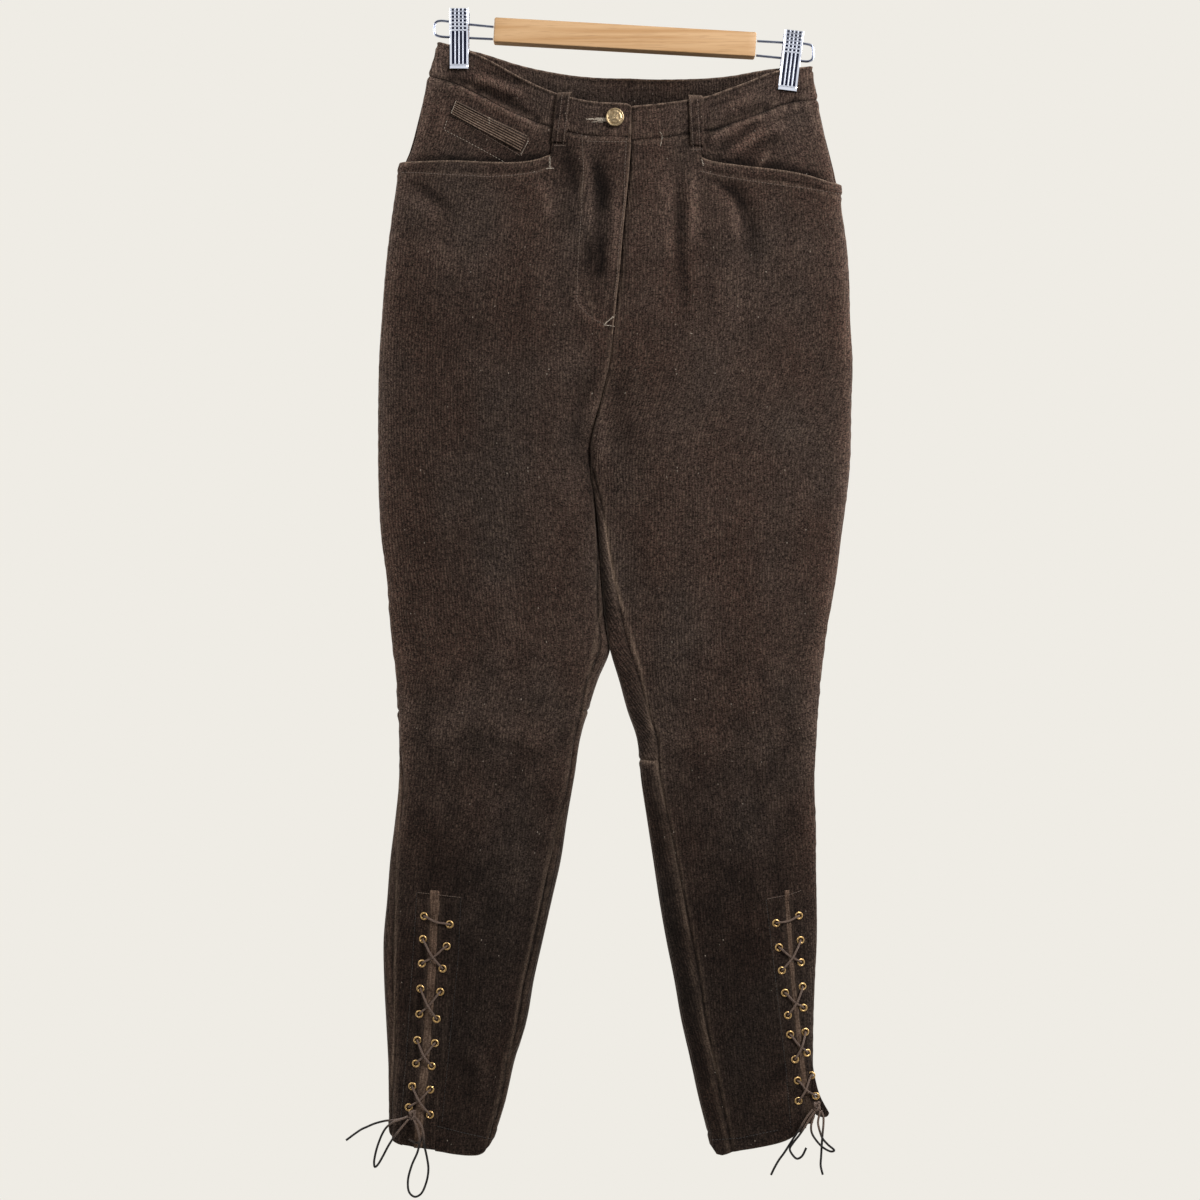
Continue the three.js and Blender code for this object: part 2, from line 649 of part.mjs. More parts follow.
function placketFace(side, part, across, drop) {
  const step = 0.25;
  const low = clamp(across - step, 0, 1);
  const high = clamp(across + step, 0, 1);
  const run = placketPoint(side, part, high, drop).sub(placketPoint(side, part, low, drop));
  const out = new THREE.Vector3(run.y, -run.x, 0).normalize();
  if (out.y > 0) out.negate();
  return { point: placketPoint(side, part, across, drop), out };
}

function eyeletSeats(side, part) {
  return EYELETS[side + part].map(([x, drop]) => {
    const edge = slitX(side, `${part}Edge`, drop);
    return placketFace(side, part, (x - edge) / (slitX(side, `${part}Lip`, drop) - edge), drop);
  });
}

function placket(side, part) {
  const outer = [];
  const inner = [];
  for (const drop of evenly(SLIT[side][0].drop + 0.5, PLACKET_END[side][part], 11)) {
    const faces = [0, 0.5, 1].map((across) => placketFace(side, part, across, drop));
    outer.push(faces.map(({ point, out }) => point.clone().addScaledVector(out, PLACKET.lift)));
    inner.push(faces.map(({ point, out }) => (
      point.clone().addScaledVector(out, PLACKET.lift - PLACKET.thickness))));
  }
  let solid = toManifold(wallBetween(outer, inner));
  const rimDepth = EYELET.rim + 0.6;
  for (const { point, out } of eyeletSeats(side, part)) {
    const turn = new THREE.Quaternion().setFromUnitVectors(new THREE.Vector3(0, 1, 0), out);
    const rim = new THREE.CylinderGeometry(EYELET.outer / 2, EYELET.outer / 2, rimDepth, EYELET.sides);
    const hole = new THREE.CylinderGeometry(EYELET.hole / 2, EYELET.hole / 2, 14, EYELET.sides);
    rim.translate(0, PLACKET.lift + EYELET.rim - rimDepth / 2, 0);
    for (const shape of [rim, hole]) {
      shape.applyQuaternion(turn);
      shape.translate(point.x, point.y, point.z);
    }
    solid = solid.add(toManifold(rim)).subtract(toManifold(hole));
  }
  return fromManifold(solid);
}

function gusset(side) {
  const end = Math.min(PLACKET_END[side].outer, PLACKET_END[side].inner) - 2;
  return strip({
    side,
    drops: evenly(862, end, 7),
    edges: (drop) => [slitX(side, 'outerLip', drop) + SIDES[side] * GUSSET.margin * 0.5,
      slitX(side, 'innerLip', drop) - SIDES[side] * GUSSET.margin],
    columns: 3,
    thickness: GUSSET.thickness,
    lift: -GUSSET.depth,
  });
}

// A path whose sections stand exactly at the points that it is given.
class Route extends THREE.CatmullRomCurve3 {
  getPointAt(u, target) { return this.getPoint(u, target); }

  getTangentAt(u, target) { return this.getTangent(u, target); }

  getSpacedPoints(divisions) { return this.getPoints(divisions); }
}

function tube(points, diameter, { sides = LACE.sides, steps = points.length - 1, closed = false } = {}) {
  const route = new Route(points, closed, 'centripetal');
  const ringShape = new THREE.Shape(evenly(0, sides - 1, sides).map((i) => new THREE.Vector2(
    Math.cos(2 * Math.PI * i / sides) * diameter / 2, Math.sin(2 * Math.PI * i / sides) * diameter / 2)));
  return new THREE.ExtrudeGeometry(ringShape, { extrudePath: route, steps, bevelEnabled: false });
}

// The lacing: a bar across the top pair of eyelets, then crossings outside from rows 2 to 3,
// 4 to 5, 6 to 7 and 8 to 9, and runs behind the plackets in between.
function lacing(side, knot) {
  const seats = { outer: eyeletSeats(side, 'outer'), inner: eyeletSeats(side, 'inner') };
  const over = PLACKET.lift + EYELET.rim + LACE.diameter / 2 + 0.5;
  const under = PLACKET.lift - PLACKET.thickness - LACE.diameter / 2 - 0.6;
  const lifted = (seat, height, toward, shift = 0) => {
    const point = seat.point.clone();
    const run = toward.point.clone().sub(seat.point);
    run.addScaledVector(seat.out, -run.dot(seat.out)).normalize();
    return point.addScaledVector(run, shift).addScaledVector(seat.out, height);
  };
  const between = (a, b, height) => a.point.clone().lerp(b.point, 0.5)
    .addScaledVector(a.out.clone().add(b.out).normalize(), height);
  // From outside at seat `from` (coming from `last`) through it and inside towards `next`.
  const through = (seat, outsideOf, insideOf) => [
    lifted(seat, over + 0.2, outsideOf, 3),
    lifted(seat, PLACKET.lift + 0.9, outsideOf, 0.2),
    lifted(seat, PLACKET.lift - PLACKET.thickness - 0.1, insideOf, 0.1),
    lifted(seat, under, insideOf, 2.6),
  ];
  const points = [];
  const sideOf = (part) => seats[part];
  const walk = (start) => {
    const other = start === 'outer' ? 'inner' : 'outer';
    const leg = [];
    let part = start;
    leg.push(...through(seats[start][0], seats[other][0], seats[start][1]));
    for (let row = 1; row < 9; row += 2) {
      const here = sideOf(part)[row];
      const crossPart = part === 'outer' ? 'inner' : 'outer';
      const there = sideOf(crossPart)[row + 1];
      leg.push(...through(here, there, sideOf(part)[row - 1]).reverse());
      const upperStrand = part === 'outer';
      leg.push(between(here, there, over + (upperStrand ? LACE.diameter + 1.1 : 0.2)));
      part = crossPart;
      const next = row + 2 < 9 ? sideOf(part)[row + 2] : { point: knot.clone() };
      leg.push(...through(there, here, next));
    }
    return leg;
  };
  const left = walk('outer');
  const right = walk('inner');
  const bar = between(seats.outer[0], seats.inner[0], over + 0.3);
  points.push(...left.reverse(), bar, ...right);
  return tube(points, LACE.diameter);
}

// Free cords of the bows: hand-placed points as X, height above the cloth or depth, and drop.
// A point is [X, Y, drop].
const BOWS = {
  right: {
    knot: [-211.5, -20.5, 1084],
    cords: {
      end_long: [[-215.5, -21, 1085.5], [-221, -20.6, 1087.4], [-227, -19.8, 1089], [-232, -18.6, 1089.8],
        [-238, -17.5, 1090.4], [-244, -17, 1091.8], [-250, -17, 1093.6], [-257, -17.2, 1096.6],
        [-262, -17.4, 1098.8], [-267, -17.6, 1102], [-272, -17.8, 1105.6], [-277.5, -18, 1109.7]],
      end_curl: [[-208.5, -20.8, 1086.6], [-205.5, -21.2, 1089.5], [-202.6, -21.2, 1094], [-201.2, -21, 1099],
        [-201.3, -20.8, 1105], [-203, -20.8, 1109.5], [-206.6, -20.6, 1111.6], [-211, -20.4, 1110.4],
        [-215.2, -20.2, 1108.2]],
      loop_left: [[-215, -24, 1087.6], [-219, -24.6, 1092], [-223.5, -24.4, 1097.5], [-230, -23.4, 1106],
        [-235.6, -22.2, 1115], [-240.5, -21.2, 1124.4], [-246, -20.4, 1133.6], [-248.8, -20, 1135.8],
        [-249.6, -19.6, 1131.6], [-248.2, -19.2, 1122.4], [-245, -19.2, 1111.6], [-240.4, -20.4, 1101],
        [-236.4, -21.4, 1095.4], [-229.8, -22.6, 1090.4], [-222, -23.8, 1087.6], [-215.6, -24.6, 1084.8]],
      loop_low: [[-209.6, -24.8, 1087.8], [-207, -25.2, 1094], [-204.6, -25, 1102], [-204, -24.6, 1110],
        [-206.2, -24, 1120], [-212, -23, 1133.6], [-215.8, -22.4, 1149], [-214.4, -22, 1160.6],
        [-209, -22, 1164.8], [-203, -22, 1162], [-197.6, -22.2, 1150.4], [-195.5, -22.6, 1137.4],
        [-196.8, -23.2, 1126], [-199.2, -24.2, 1114], [-200, -25, 1104], [-202, -25.4, 1094.6],
        [-206.6, -25, 1087.4]],
    },
  },
  left: {
    knot: [189.5, -23, 1075],
    cords: {
      end_long: [[185.5, -23.4, 1078], [181.6, -23.2, 1082.5], [176.5, -22.8, 1090], [171.5, -22.4, 1098.6],
        [166.5, -22, 1106.4], [160.5, -21.6, 1116], [156.5, -21.2, 1122.2], [152, -21, 1128.4],
        [147.6, -20.8, 1136], [144, -20.6, 1143.5]],
      end_hook: [[187, -26.4, 1079.4], [182.6, -26.2, 1085.6], [177, -25.6, 1095], [171.4, -25, 1103.4],
        [165.6, -24.4, 1111], [162.4, -23.8, 1117], [165.2, -23.4, 1123], [169.6, -23.2, 1126.8],
        [174.2, -23.2, 1124.6], [178.8, -23.2, 1116.1]],
      loop_right: [[192.2, -27, 1078.6], [190.8, -27.4, 1084.6], [190, -27.4, 1090.2], [191.8, -27, 1098.6],
        [194.8, -26.6, 1106.2], [200.2, -26.2, 1112.4], [206.3, -26, 1118], [203.4, -25.4, 1119.2],
        [195.6, -24.8, 1115.6], [188.7, -24.2, 1108.6], [184.1, -24, 1100.8], [183.6, -24.2, 1093],
        [186.4, -25.2, 1083.6]],
      end_short: [[193.4, -23.6, 1079], [195.6, -23.6, 1085], [195.8, -23, 1093], [194.9, -22.6, 1103],
        [194.2, -22, 1114], [193.6, -21.8, 1125], [193.2, -21.6, 1134], [195.2, -21.6, 1142.9]],
    },
  },
};

const atDrop = ([x, y, drop]) => new THREE.Vector3(x, y, -drop);

function knot(centre) {
  const geometry = new THREE.SphereGeometry(1, 10, 7);
  geometry.scale(3.4, 2.4, 2.8);
  geometry.translate(centre.x, centre.y, centre.z);
  return geometry;
}

// ---------------------------------------------------------------- the hanger

const tilt = THREE.MathUtils.degToRad(HANGER.tilt);

function hangerBar() {
  const bevel = 1.5;
  const outline = new THREE.Shape();
  const w = HANGER.length / 2;
  outline.moveTo(-w, -HANGER.height);
  outline.lineTo(w, -HANGER.height);
  outline.lineTo(w, 0);
  outline.lineTo(-w, 0);
  const depth = HANGER.depth - 2 * bevel;
  const geometry = new THREE.ExtrudeGeometry(outline, {
    depth, bevelEnabled: true, bevelThickness: bevel, bevelSize: bevel, bevelOffset: -bevel, bevelSegments: 2,
  });
  geometry.rotateX(Math.PI / 2);
  geometry.translate(0, depth / 2, 0);
  geometry.rotateY(tilt);
  return geometry;
}

// A wire bent to a U whose two ends go into the bar's end.
function hangerWire(ends) {
  const corner = 5;
  const { start, upper, lower, low } = ends;
  const direction = Math.sign(upper[0] - start[0]);
  const points = [
    [start[0], start[1]],
    [mix(start[0], upper[0], 0.5), mix(start[1], upper[1], 0.5)],
    [upper[0] - direction * corner, upper[1]],
    [upper[0] - direction * 1.2, upper[1] + 1.6],
    [upper[0], upper[1] + corner],
    [lower[0], lower[1] - corner],
    [lower[0] - direction * 1.2, lower[1] - 1.6],
    [lower[0] - direction * corner, lower[1]],
    [mix(low[0], lower[0], 0.5), mix(low[1], lower[1], 0.5)],
    [low[0], low[1]],
  ];
  return tube(points.map(([x, drop]) => new THREE.Vector3(x, 0, -drop)), HANGER.wire);
}

const CLIP = { width: 19, length: 60, sheet: 1.2 };
const CLIPS = {
  right: { x: -166, drop: -18, lean: 0, ring: 'right' },
  left: { x: 168.4, drop: 4.1, lean: 6.8, ring: 'left' },
};

// Side profile of a jaw: spread at the finger end, gripping the band, lip turned out at the foot.
const JAW = [[8.2, 0], [8.2, -14], [6.4, -30], [5.7, -52], [5.7, -57], [7.4, -60]];

function clipJaw(clip, face) {
  const inside = JAW.map(([y, z]) => new THREE.Vector2(y, z));
  const outside = [...JAW].reverse().map(([y, z]) => new THREE.Vector2(y + CLIP.sheet, z));
  const geometry = new THREE.ExtrudeGeometry(new THREE.Shape([...inside, ...outside]), {
    depth: CLIP.width, bevelEnabled: false,
  });
  // Profile (y, z) lies in the shape's XY plane: turn it so that the width runs along X.
  geometry.translate(0, 0, -CLIP.width / 2);
  geometry.rotateX(Math.PI / 2);
  geometry.rotateZ(face === 'front' ? -Math.PI / 2 : Math.PI / 2);
  return placeClip(geometry, clip);
}

function clipSpring(clip) {
  const profile = [[-7.6, -16], [-7.6, -4], [-4, -1], [4, -1], [7.6, -4], [7.6, -16],
    [6.6, -16], [6.6, -4.4], [3.6, -2], [-3.6, -2], [-6.6, -4.4], [-6.6, -16]];
  const width = CLIP.width - 7;
  const geometry = new THREE.ExtrudeGeometry(
    new THREE.Shape(profile.map(([y, z]) => new THREE.Vector2(y, z))), { depth: width, bevelEnabled: false });
  geometry.translate(0, 0, -width / 2);
  geometry.rotateX(Math.PI / 2);
  geometry.rotateZ(-Math.PI / 2);
  return placeClip(geometry, clip);
}

function placeClip(geometry, clip) {
  geometry.rotateY(THREE.MathUtils.degToRad(clip.lean));
  geometry.translate(clip.x, 0, -clip.drop);
  return geometry;
}

// ---------------------------------------------------------------- assembly

for (const side of Object.keys(SIDES)) {
  add(`front_${side}`, legFront(side), 'corduroy');
  add(`back_upper_${side}`, legBack(side, true), 'corduroy');
  add(`back_lower_${side}`, legBack(side, false), 'corduroy');
  add(`hip_yoke_${side}`, hipYoke(side), 'corduroy');
  add(`waistband_${side}`, bandPiece(side, 'front'), 'corduroy');
  add(`placket_${side}_outer`, placket(side, 'outer'), 'corduroy');
  add(`placket_${side}_inner`, placket(side, 'inner'), 'corduroy');
  add(`gusset_${side}`, gusset(side), 'tongue');
}
add('waistband_back', bandBack(), 'corduroy');
add('ticket_pocket', ticketPocket(), 'corduroy');
add('fly_facing', flyFacing(), 'corduroy');
add('waist_button', button(), 'brass');

const LOOPS = {
  belt_loop_front_right: { side: 'right', face: 'front', topX: -60, lowX: -66 },
  belt_loop_front_left: { side: 'left', face: 'front', topX: 68, lowX: 71 },
  belt_loop_back_right: { side: 'right', face: 'back', topX: -118, lowX: -122 },
  belt_loop_back_left: { side: 'left', face: 'back', topX: 124, lowX: 128 },
  belt_loop_centre_back: { side: 'right', face: 'back', topX: -6, lowX: -6 },
};
for (const [name, loop] of Object.entries(LOOPS)) add(name, beltLoop(loop), 'corduroy');

for (const side of Object.keys(SIDES)) {
  const bow_ = BOWS[side];
  const centre = atDrop(bow_.knot);
  add(`lacing_${side}`, lacing(side, centre), 'lace');
  add(`bow_knot_${side}`, knot(centre), 'lace');
  for (const [name, points] of Object.entries(bow_.cords)) {
    add(`bow_${name}_${side}`, tube(points.map(atDrop), LACE.diameter), 'lace');
  }
}

add('hanger_bar', hangerBar(), 'beech');
add('hanger_wire_right', hangerWire({
  start: [-131.9, 0.4], upper: [-191, -5.6], lower: [-191, 9.8], low: [-132.6, 12.6],
}), 'chrome');
add('hanger_wire_left', hangerWire({
  start: [131.6, 14.6], upper: [187.5, 17.8], lower: [187.5, 34.8], low: [130.6, 29],
}), 'chrome');
for (const [name, clip] of Object.entries(CLIPS)) {
  add(`clip_${name}_front`, clipJaw(clip, 'front'), 'chrome');
  add(`clip_${name}_back`, clipJaw(clip, 'back'), 'chrome');
  add(`clip_${name}_spring`, clipSpring(clip), 'chrome');
}

export default pants;
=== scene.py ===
"""Lace-up corduroy pants held by the waistband on a wooden clip hanger.

Lengths in the tables are millimetres and go to metres when a mesh is made. The origin is the
middle of the top face of the hanger's bar, the front faces -Y and -X is the wearer's right. A
height is a "drop", the distance below the origin. A place on the cloth is (side, s, drop): s is
0 at the outer side fold, 1 at the inner fold or centre seam, positive in front, negative behind.
"""

from __future__ import annotations

import logging
import math
from dataclasses import dataclass, field
from enum import Enum
from typing import Sequence

import bpy
import numpy as np
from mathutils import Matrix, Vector
from mathutils.bvhtree import BVHTree


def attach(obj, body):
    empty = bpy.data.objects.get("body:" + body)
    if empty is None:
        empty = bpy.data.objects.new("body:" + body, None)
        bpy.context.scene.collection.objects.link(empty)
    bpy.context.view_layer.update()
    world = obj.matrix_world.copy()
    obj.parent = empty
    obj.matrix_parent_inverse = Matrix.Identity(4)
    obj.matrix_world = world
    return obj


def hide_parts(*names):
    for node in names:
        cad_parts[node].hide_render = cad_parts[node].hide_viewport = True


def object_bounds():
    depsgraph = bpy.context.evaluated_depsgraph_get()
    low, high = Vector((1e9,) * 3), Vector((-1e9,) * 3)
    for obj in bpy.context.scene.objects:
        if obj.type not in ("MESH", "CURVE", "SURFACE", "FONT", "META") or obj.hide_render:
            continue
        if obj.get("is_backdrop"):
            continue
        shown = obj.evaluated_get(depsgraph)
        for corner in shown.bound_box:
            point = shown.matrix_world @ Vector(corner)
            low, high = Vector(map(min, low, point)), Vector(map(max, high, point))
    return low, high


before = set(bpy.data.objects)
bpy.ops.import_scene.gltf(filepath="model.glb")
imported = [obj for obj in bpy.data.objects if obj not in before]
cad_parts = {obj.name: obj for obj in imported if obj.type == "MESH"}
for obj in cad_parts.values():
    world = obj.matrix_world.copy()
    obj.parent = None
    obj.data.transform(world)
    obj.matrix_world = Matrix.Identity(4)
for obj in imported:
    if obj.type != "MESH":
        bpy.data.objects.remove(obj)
CAD_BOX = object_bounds()

LOG = logging.getLogger("pants")
MM = 0.001
Array = np.ndarray
Seat = tuple[np.ndarray, np.ndarray]
Object = bpy.types.Object
Material = bpy.types.Material
Socket = bpy.types.NodeSocket

# The front elevation that marks are given on: 1 mm to a unit, seen from the camera's place.
ELEVATION_ORIGIN = (625.5, 26.5)
CAMERA_X = -25.5
CAMERA_DROP = 573.5
CAMERA_DISTANCE = 2400.0
ELEVATION_SIZE = 1200.0

CLOTH = 1.4
PLY_GAP = 0.4
FOLD = 0.14
BAND_WIDTH = 33.0
BAND_THICKNESS = 3.0
BAND_LIFT = 0.8
POCKET_END = 0.69
MOUTH_STITCH = 10.0
HEM_STITCH = 12.0
FLY_STITCH = 4.6
BAND_STITCH = 3.4
# From the middle of a belt loop to each of its two rows.
LOOP_STITCH = 3.4
POCKET_UNDERLAP = 16.0
FLY_END = 312.0
LACE_DIAMETER = 2.2


class Side(Enum):
    """Which half of the wearer's body a piece is on."""

    RIGHT = "right"
    LEFT = "left"

    @property
    def sign(self) -> int:
        """-1 for the wearer's right, 1 for the left."""
        return -1 if self is Side.RIGHT else 1


KNEE_SEAM = {Side.RIGHT: 684.0, Side.LEFT: 733.0}

SECTION_COLUMNS = ("drop", "outerright", "innerright", "innerleft", "outerleft",
                   "edge", "front", "back", "fork", "pinch")
SECTIONS = np.array([
    (16, -186.5, 5.5, 5.5, 184.5, 3.8, 25, 34, 0, 1),
    (40, -193.5, 5.5, 5.5, 185.5, 3.8, 26, 35, 0, 1),
    (63, -200, 5.5, 5.5, 189.5, 4, 26, 36, 0, 1),
    (93, -207.5, 5.5, 5.5, 195.5, 5, 26, 37, 0, 0.6),
    (123, -215.5, 5, 5, 203.5, 6, 25, 38, 0, 0.2),
    (153, -227, 3, 3, 210.5, 7, 25, 38, 0, 0),
    (213, -236.5, -3, -3, 220.5, 8, 25, 38, 0, 0),
    (253, -240.5, -6.5, -6.5, 223.5, 9, 24, 37, 0, 0),
    (293, -243.5, -11, -11, 224.5, 9, 24, 36, 0, 0),
    (333, -246.5, -15, -15, 226.5, 9, 22, 34, 0.1, 0),
    (373, -247.5, -23.5, -23.5, 225.5, 9, 20, 31, 0.45, 0),
    (413, -247.5, -33.5, -33.5, 225, 9, 19, 28, 0.85, 0),
    (440, -247.5, -34.4, -33.6, 223.5, 9, 18, 25, 1, 0),
    (473, -246.5, -30, -29.2, 220.5, 9, 17, 23, 1, 0),
    (513, -243.5, -26.4, -25.6, 215.5, 9, 16, 22, 1, 0),
    (553, -238.5, -23.9, -23.1, 210.5, 9, 15, 20, 1, 0),
    (593, -235.5, -19.9, -19.1, 203.5, 8, 15, 19, 1, 0),
    (622, -232.5, -16.4, -14.6, 199, 8, 14, 18, 1, 0),
    (653, -229.5, -27.5, -6.5, 195.5, 8, 13, 17, 1, 0),
    (683, -227.5, -37, 1.5, 192.5, 8, 12, 16, 1, 0),
    (713, -226, -45.5, 11.5, 190.5, 7, 11, 15, 1, 0),
    (753, -226.5, -51.5, 15.5, 188.5, 7, 10, 14, 1, 0),
    (793, -230.5, -58.5, 21.5, 189.5, 7, 10, 14, 1, 0),
    (833, -235.5, -64.5, 27.5, 190.5, 7, 10, 15, 1, 0),
    (873, -238.5, -73.5, 33.5, 191.5, 7, 10, 15, 1, 0),
    (913, -242, -82.5, 40.5, 191.5, 7, 10, 15, 1, 0),
    (953, -241.5, -91.5, 48.5, 189.5, 7, 10, 15, 1, 0),
    (993, -239.5, -98.5, 55.5, 188, 7, 9, 13, 1, 0),
    (1033, -237.5, -110.5, 64.5, 187.5, 7, 9, 12, 1, 0),
    (1073, -236.5, -119.5, 73.5, 187.5, 7, 8, 11, 1, 0),
    (1113, -235.5, -132, 83.5, 186.5, 7, 8, 10, 1, 0),
    (1135, -234.5, -137.5, 88.5, 185.5, 7, 8, 10, 1, 0),
], float)

# How far the back pieces wrap round to the front, at the side seam and at the inseam.
WRAP_START = 440.0
WRAP_COLUMNS = ("drop", "sideright", "inseamright", "sideleft", "inseamleft")
WRAPS = np.array([
    (0, 0, 0, 0, 0), (440, 0, 0.5, 0, 2), (500, 0, 3, 0, 7), (593, 0, 7, 0, 15),
    (653, 0, 10, 0, 20), (713, 1, 4, 0, 20), (753, 4, 4, 0, 19), (833, 6, 10, 0, 23),
    (913, 9, 9, 0, 26), (993, 8, 9, 0, 24), (1073, 3, 5, 0, 22), (1135, 2, 4, 0, 20),
], float)

# Drops against the share of the way from the side fold to the centre or inner fold.
BAND_TOP = {
    ("front", Side.RIGHT): ((0, 16), (0.17, 25), (0.3, 36), (0.47, 54.5), (0.63, 70),
                            (0.8, 80.5), (1, 84)),
    ("front", Side.LEFT): ((0, 40.3), (0.2, 45.5), (0.36, 56.5), (0.49, 66), (0.6, 74),
                           (0.8, 81.5), (1, 86)),
    ("back", Side.RIGHT): ((0, 16), (0.24, 26), (0.44, 35.7), (0.67, 42), (0.82, 43.4),
                           (1, 43.3)),
    ("back", Side.LEFT): ((0, 40.3), (0.2, 41.3), (0.45, 46.5), (0.71, 46.1), (1, 43.4)),
}
MOUTH = {
    Side.RIGHT: ((0, 137.5), (0.2, 137.5), (0.45, 140.5), (0.57, 139), (0.65, 133.5)),
    Side.LEFT: ((0, 160), (0.18, 151), (0.45, 144), (0.6, 139.5), (0.66, 134.5)),
}
HEM = {
    Side.RIGHT: ((0, 1103), (0.04, 1113), (0.2, 1117.5), (0.45, 1121), (0.85, 1126.5),
                 (0.95, 1123), (1, 1110)),
    Side.LEFT: ((0, 1096), (0.04, 1099), (0.28, 1112), (0.78, 1122), (0.95, 1126.5), (1, 1117)),
}

# The two plackets of each leg: X of their sewn edges and of their lips.
SLIT_COLUMNS = ("drop", "outerEdge", "outerLip", "innerLip", "innerEdge")
SLIT = {
    Side.RIGHT: np.array([
        (869, -208.5, -194.5, -184.5, -164.5), (913, -210, -195, -188, -168.5),
        (953, -212, -197.5, -189.5, -172), (993, -214, -200, -192.5, -175),
        (1048, -218, -205, -197, -180), (1078, -222, -208.5, -200.5, -184),
        (1130, -226.5, -210.5, -202.5, -187)], float),
    Side.LEFT: np.array([
        (869, 177.5, 162.5, 158.5, 140.5), (937, 180, 167.5, 162.8, 144),
        (991, 182, 173, 168.3, 150.5), (1034, 185.5, 178, 173.3, 157.5),
        (1067, 193, 183.5, 178, 162), (1092, 206, 191, 180, 164),
        (1130, 215, 199, 181, 165)], float),
}
SLIT_TOP = 869.0
PLACKET_END = {(Side.RIGHT, "outer"): 1117.5, (Side.RIGHT, "inner"): 1121.0,
               (Side.LEFT, "outer"): 1089.0, (Side.LEFT, "inner"): 1107.0}
EYELETS = {
    (Side.RIGHT, "outer"): ((-200.3, 887.7), (-201.4, 910.5), (-202.5, 934.8), (-204, 959.7),
                            (-205.1, 985.3), (-207.2, 1011.3), (-208.5, 1034.5),
                            (-212.2, 1057), (-215.7, 1078.1)),
    (Side.RIGHT, "inner"): ((-174.7, 895.5), (-177.7, 917.2), (-181.9, 939.7), (-184.2, 962.7),
                            (-187.9, 990), (-189.5, 1013.9), (-192.7, 1036.7),
                            (-194.2, 1059.9), (-194.5, 1085.2)),
    (Side.LEFT, "inner"): ((149.5, 894.5), (152.2, 918.5), (155.1, 941.5), (158.3, 964),
                           (161.3, 986.5), (163.5, 1005.5), (168.5, 1030.5), (171, 1051.5),
                           (172, 1072)),
    (Side.LEFT, "outer"): ((172.5, 887.5), (174, 912), (174.5, 934.1), (176, 958.2),
                           (177, 979.5), (178.8, 1003.5), (180.6, 1024.5), (185.2, 1047.1),
                           (189.5, 1067.5)),
}


# ---- small helpers

def mix(a: Array | float, b: Array | float, share: Array | float) -> Array | float:
    """The value that lies a share of the way from a to b."""
    return a + (b - a) * share


def smooth(share: Array | float) -> Array | float:
    """A soft step: 0 at 0, 1 at 1, level at both ends."""
    share = np.clip(share, 0.0, 1.0)
    return share * share * (3 - 2 * share)


def through(xs: Sequence[float], ys: Sequence[float], at: Array | float) -> Array:
    """Reads a cubic that runs through the rows of a table.

    Args:
        xs: The rows' positions, rising.
        ys: The values there.
        at: Where to read it.

    Returns:
        The values at those places, held at the table's two ends.
    """
    xs, ys = np.asarray(xs, float), np.asarray(ys, float)
    last = len(xs) - 1
    x = np.clip(np.asarray(at, float), xs[0], xs[-1])
    i = np.searchsorted(xs[1:-1], x, side="left")
    low, high = np.maximum(np.arange(last + 1) - 1, 0), np.minimum(np.arange(last + 1) + 1, last)
    slope = (ys[high] - ys[low]) / (xs[high] - xs[low])
    span = xs[i + 1] - xs[i]
    t = (x - xs[i]) / span
    t2, t3 = t * t, t * t * t
    return ((2 * t3 - 3 * t2 + 1) * ys[i] + (t3 - 2 * t2 + t) * span * slope[i]
            + (3 * t2 - 2 * t3) * ys[i + 1] + (t3 - t2) * span * slope[i + 1])


def along(pairs: Sequence[tuple[float, float]], at: Array | float) -> Array:
    """Reads a table of pairs; see through()."""
    return through([p[0] for p in pairs], [p[1] for p in pairs], at)


def column(table: Array, names: Sequence[str], name: str, drop: Array | float) -> Array:
    """Reads one named column of a table against its first one."""
    return through(table[:, 0], table[:, names.index(name)], drop)


def paired(s: Array | float, drop: Array | float) -> list[Array]:
    """Both as arrays of one shape."""
    return np.broadcast_arrays(np.asarray(s, float), np.asarray(drop, float))


def wrapped(s: Array) -> Array:
    """s past the centre seam or the inner fold, brought back to -1 to 1."""
    return np.where(s > 1, s - 2, np.where(s < -1, s + 2, s))


def ripple(x: Array, y: Array, wavelength: float, seed: int, waves: int = 7) -> Array:
    """An even, aimless swell made of a few plane waves.

    Args:
        x: First coordinate, in millimetres.
        y: Second coordinate.
        wavelength: Typical distance from crest to crest.
        seed: Which swell.
        waves: How many waves make it.

    Returns:
        Heights with a spread of about 1.
    """
    draw = np.random.default_rng(seed)
    total = np.zeros(np.broadcast(x, y).shape)
    for _ in range(waves):
        angle, phase = draw.uniform(0, 2 * math.pi, 2)
        length = wavelength * draw.uniform(0.7, 1.4)
        total += np.sin(2 * math.pi * (x * math.cos(angle) + y * math.sin(angle)) / length + phase)
    return total / math.sqrt(waves / 2)


def ladder(length: float, step: float, fine: Sequence[float]) -> Array:
    """Stations from 0 to length, close together at both ends.

    Args:
        length: The last station.
        step: Spacing in the middle.
        fine: Stations near each end, from 0.

    Returns:
        The rising stations.
    """
    ends = np.asarray(fine, float)
    count = max(2, round((length - 2 * ends[-1]) / step) + 1)
    middle = np.linspace(ends[-1], length - ends[-1], count)
    return np.concatenate([ends[:-1], middle, (length - ends[:-1])[::-1]])


def unit(vectors: Array) -> Array:
    """The vectors at length 1."""
    return vectors / np.maximum(np.linalg.norm(vectors, axis=-1, keepdims=True), 1e-9)


def lengths_along(path: Array) -> Array:
    """Distance from the start of a path to each of its points."""
    return np.concatenate([[0], np.cumsum(np.linalg.norm(np.diff(path, axis=0), axis=1))])


